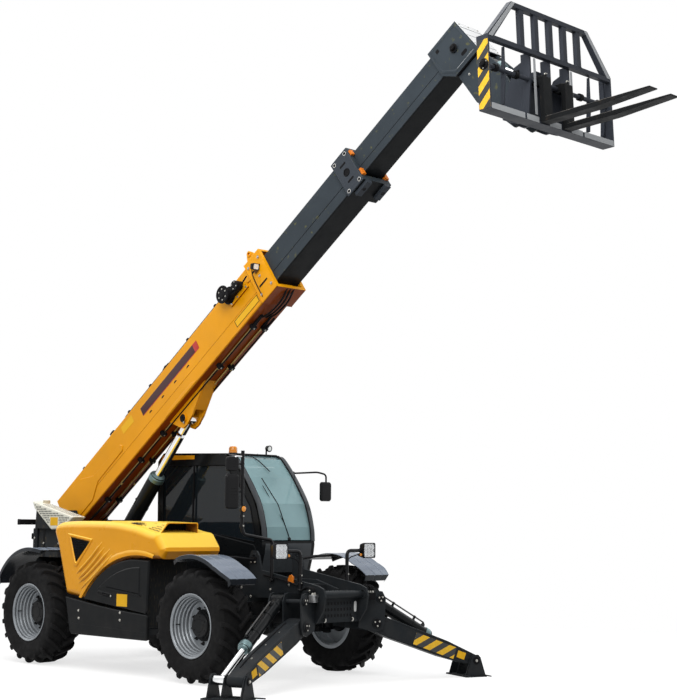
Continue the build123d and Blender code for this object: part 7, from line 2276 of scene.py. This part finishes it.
def floor_material():
    """Studio floor: white where it is looked at, with shadows kept, and grey for the light it returns."""
    n = Nodes("floor_pale")
    n.colour(n.ramp(n.noise(0.6, 3), [(0.3, (0.36, 0.36, 0.36)), (0.7, (0.38, 0.38, 0.38))]))
    n.set(Roughness=0.9, Specular_IOR_Level=0.0)
    lift = n.node("ShaderNodeEmission", Strength=0.7)
    lifted = n.node("ShaderNodeAddShader")
    n.link(n.shader.outputs[0], lifted.inputs[0])
    n.link(lift.outputs[0], lifted.inputs[1])
    # plain white away from the object
    white = n.node("ShaderNodeEmission", Strength=1.0)
    reach = n.node("ShaderNodeVectorMath", operation="LENGTH")
    n.link(n.place, reach.inputs[0])
    away = n.span(reach.outputs["Value"], 0.0, 1.0, 5.5, 9.0)
    shown = n.node("ShaderNodeMixShader")
    n.link(away, shown.inputs[0])
    n.link(lifted.outputs[0], shown.inputs[1])
    n.link(white.outputs[0], shown.inputs[2])
    result = n.node("ShaderNodeMixShader")
    n.link(looked_at(n.tree), result.inputs[0])
    n.link(n.shader.outputs[0], result.inputs[1])
    n.link(shown.outputs[0], result.inputs[2])
    n.link(result.outputs[0], n.tree.nodes["Material Output"].inputs["Surface"])
    return n.material


def looked_at(tree):
    """One for rays that look at a surface, straight or through glass or a mirror, and zero for the rest."""
    path = tree.nodes.new("ShaderNodeLightPath")
    seen = path.outputs["Is Camera Ray"]
    for name in ("Is Glossy Ray", "Is Transmission Ray"):
        most = tree.nodes.new("ShaderNodeMath")
        most.operation = "MAXIMUM"
        tree.links.new(seen, most.inputs[0])
        tree.links.new(path.outputs[name], most.inputs[1])
        seen = most.outputs[0]
    return seen


def build_stage(settings):
    """Floor, lights, world and the camera of the reference view."""
    floor_mesh = bpy.data.meshes.new("studio_floor")
    corners = [(x, y, 0) for x, y in rectangle((-FLOOR_REACH, FLOOR_REACH), (-FLOOR_REACH, FLOOR_REACH))]
    floor_mesh.from_pydata(corners, [], [(0, 1, 2, 3)])
    floor = bpy.data.objects.new("studio_floor", floor_mesh)
    bpy.context.scene.collection.objects.link(floor)
    floor_mesh.materials.append(floor_material())

    for name, place, size, power, colour in (
        ("key_light", at(7.0, -7.5, 8.5), 7.0, settings.key_power, (1.0, 0.985, 0.96)),
        ("fill_light", at(3.5, 9.0, 5.5), 8.0, settings.fill_power, (0.95, 0.98, 1.0)),
        ("rear_light", at(-9.0, -4.0, 7.0), 7.0, settings.fill_power * 0.9, (1.0, 1.0, 1.0)),
        ("top_light", at(0.5, -1.0, 11.0), 9.0, settings.key_power * 0.85, (1.0, 1.0, 1.0)),
    ):
        data = bpy.data.lights.new(name, "AREA")
        data.shape = "SQUARE"
        data.size = size
        data.energy = power
        data.color = colour
        light = bpy.data.objects.new(name, data)
        light.location = place
        aim = at(*LIGHT_AIM) - place
        light.rotation_euler = aim.to_track_quat("-Z", "Y").to_euler()
        bpy.context.scene.collection.objects.link(light)

    world = bpy.data.worlds.new("studio_world")
    bpy.context.scene.world = world
    world.use_nodes = True
    tree = world.node_tree
    background = tree.nodes["Background"]
    strength = tree.nodes.new("ShaderNodeMapRange")
    strength.inputs["To Min"].default_value = settings.sky_strength
    strength.inputs["To Max"].default_value = 1.0
    tree.links.new(looked_at(tree), strength.inputs["Value"])
    tree.links.new(strength.outputs["Result"], background.inputs["Strength"])
    background.inputs["Color"].default_value = (1.0, 1.0, 1.0, 1.0)

    camera_data = bpy.data.cameras.new("reference_camera")
    camera = bpy.data.objects.new("reference_camera", camera_data)
    bpy.context.scene.collection.objects.link(camera)
    ahead = Vector((cos(CAMERA_PITCH) * cos(CAMERA_YAW), cos(CAMERA_PITCH) * sin(CAMERA_YAW),
                    sin(CAMERA_PITCH)))
    right = ahead.cross(UP).normalized()
    up = right.cross(ahead)
    tilted_right = right * cos(CAMERA_ROLL) + up * sin(CAMERA_ROLL)
    tilted_up = up * cos(CAMERA_ROLL) - right * sin(CAMERA_ROLL)
    turn = Matrix((tilted_right, tilted_up, -ahead)).transposed().to_4x4()
    camera.matrix_world = Matrix.Translation(at(*CAMERA_PLACE)) @ turn
    camera_data.sensor_width = SENSOR_WIDTH
    camera_data.lens = settings.lens
    camera_data.clip_end = 200.0
    bpy.context.scene.camera = camera
    bpy.context.scene.view_settings.view_transform = "Standard"


# ------------------------------------------------------------------ settings, operators and panel
def length(name, text, value, low, high):
    return bpy.props.FloatProperty(name=name, description=text, default=value, min=low, max=high,
                                   unit="LENGTH", subtype="DISTANCE")


def tint(name, text, value):
    return bpy.props.FloatVectorProperty(name=name, description=text, default=value, min=0.0, max=1.0,
                                         size=3, subtype="COLOR")


class TELEHANDLER_PG_settings(bpy.types.PropertyGroup):
    lug_height: length("Lug height", "How far the tyre's lugs stand off its carcass", 0.042, 0.02, 0.06)
    lug_count: bpy.props.IntProperty(name="Lugs a side",
                                     description="Number of lugs on each side of the tread", default=19,
                                     min=12, max=26)
    cover_round: length("Cover shoulder", "Radius of the engine cover's outer shoulder", 0.085, 0.03, 0.14)
    cover_colour: tint("Cover", "Yellow of the engine cover", (0.84, 0.36, 0.008))
    boom_colour: tint("Boom base", "Golden orange of the boom's base section", (0.8, 0.34, 0.003))
    section_colour: tint("Boom sections", "Slate grey of the two moving sections", (0.038, 0.048, 0.058))
    frame_colour: tint("Chassis", "Dark grey of the chassis and stabilisers", (0.018, 0.021, 0.024))
    glass_tint: tint("Glass", "Green-blue tint of the cab's glass", (0.38, 0.6, 0.64))
    key_power: bpy.props.FloatProperty(name="Key light", description="Power of the main studio light",
                                       default=750.0, min=0.0, unit="POWER")
    fill_power: bpy.props.FloatProperty(name="Fill light", description="Power of the fill lights",
                                        default=260.0, min=0.0, unit="POWER")
    sky_strength: bpy.props.FloatProperty(name="Sky strength",
                                          description="Light from the studio's surroundings", default=0.45,
                                          min=0.0, max=2.0)
    lens: bpy.props.FloatProperty(name="Lens", description="Focal length of the reference camera",
                                  default=75.85, min=20.0, max=200.0, unit="CAMERA")


class PieceOperator:
    """Shared behaviour of the operators that build pieces."""

    bl_options = {"REGISTER", "UNDO"}

    def execute(self, context):
        self.build(context.scene.telehandler)
        return {"FINISHED"}


class TELEHANDLER_OT_finishes(PieceOperator, bpy.types.Operator):
    """Make every paint, metal, rubber, plastic and glass finish"""

    bl_idname = "telehandler.finishes"
    bl_label = "Finishes"

    def build(self, settings):
        make_finishes(settings)


class TELEHANDLER_OT_wheels(PieceOperator, bpy.types.Operator):
    """Build the four tyres and rims, and the axles' covers, bolts and hoses"""

    bl_idname = "telehandler.wheels"
    bl_label = "Wheels and axles"

    def build(self, settings):
        for corner in CORNERS:
            wheel_parts(settings, corner)
        axle_details()


class TELEHANDLER_OT_engine_side(PieceOperator, bpy.types.Operator):
    """Build the engine cover with its grille and scoop, the side door, the skirt and the engine"""

    bl_idname = "telehandler.engine_side"
    bl_label = "Engine side"

    def build(self, settings):
        engine_cover(settings)
        side_door()
        skirt()
        engine_bay()


class TELEHANDLER_OT_boom(PieceOperator, bpy.types.Operator):
    """Dress the boom's three sections, the hose drum and every cylinder"""

    bl_idname = "telehandler.boom"
    bl_label = "Boom and cylinders"

    def build(self, settings):
        boom_base_fittings()
        hose_reel()
        boom_sections()
        cylinder_details()


class TELEHANDLER_OT_carriage(PieceOperator, bpy.types.Operator):
    """Dress the fork carriage and the forks"""

    bl_idname = "telehandler.carriage"
    bl_label = "Carriage and forks"

    def build(self, settings):
        carriage_parts()


class TELEHANDLER_OT_nose(PieceOperator, bpy.types.Operator):
    """Dress the nose, the chassis and the stabilisers"""

    bl_idname = "telehandler.nose"
    bl_label = "Nose and stabilisers"

    def build(self, settings):
        nose_details()
        stabiliser_details()


class TELEHANDLER_OT_cab(PieceOperator, bpy.types.Operator):
    """Dress the cab and its door, and build the seat and the steering console"""

    bl_idname = "telehandler.cab"
    bl_label = "Cab"

    def build(self, settings):
        cab_parts()
        seat_and_console()


class TELEHANDLER_OT_lamps(PieceOperator, bpy.types.Operator):
    """Build the headlamps, the beacon and the mirrors"""

    bl_idname = "telehandler.lamps"
    bl_label = "Lamps and mirrors"

    def build(self, settings):
        lamps_and_mirrors()


class TELEHANDLER_OT_rear(PieceOperator, bpy.types.Operator):
    """Build the mudguards, rear lamps, exhaust guard, tank and steps"""

    bl_idname = "telehandler.rear"
    bl_label = "Mudguards and rear end"

    def build(self, settings):
        mudguards()
        rear_end()
        exhaust_parts()
        tank_and_steps()


class TELEHANDLER_OT_stage(PieceOperator, bpy.types.Operator):
    """Set up the floor, the lights, the world and the reference camera"""

    bl_idname = "telehandler.stage"
    bl_label = "Stage"

    def build(self, settings):
        build_stage(settings)


OPERATORS = (
    TELEHANDLER_OT_finishes,
    TELEHANDLER_OT_wheels,
    TELEHANDLER_OT_engine_side,
    TELEHANDLER_OT_boom,
    TELEHANDLER_OT_carriage,
    TELEHANDLER_OT_nose,
    TELEHANDLER_OT_cab,
    TELEHANDLER_OT_lamps,
    TELEHANDLER_OT_rear,
    TELEHANDLER_OT_stage,
)


class TELEHANDLER_PT_panel(bpy.types.Panel):
    """Sizes, colours and steps of the telehandler"""

    bl_label = "Telehandler"
    bl_idname = "TELEHANDLER_PT_panel"
    bl_space_type = "VIEW_3D"
    bl_region_type = "UI"
    bl_category = "Telehandler"

    def draw(self, context):
        settings = context.scene.telehandler
        for name in settings.bl_rna.properties.keys():
            if name not in ("rna_type", "name"):
                self.layout.prop(settings, name)
        for operator in OPERATORS:
            self.layout.operator(operator.bl_idname)


CLASSES = (TELEHANDLER_PG_settings, *OPERATORS, TELEHANDLER_PT_panel)


def register():
    for item in CLASSES:
        bpy.utils.register_class(item)
    bpy.types.Scene.telehandler = bpy.props.PointerProperty(type=TELEHANDLER_PG_settings)


def unregister():
    del bpy.types.Scene.telehandler
    for item in reversed(CLASSES):
        bpy.utils.unregister_class(item)


def main():
    register()
    for operator in OPERATORS:
        group, name = operator.bl_idname.split(".")
        getattr(getattr(bpy.ops, group), name)()
    bpy.context.view_layer.update()


if __name__ == "__main__":
    main()
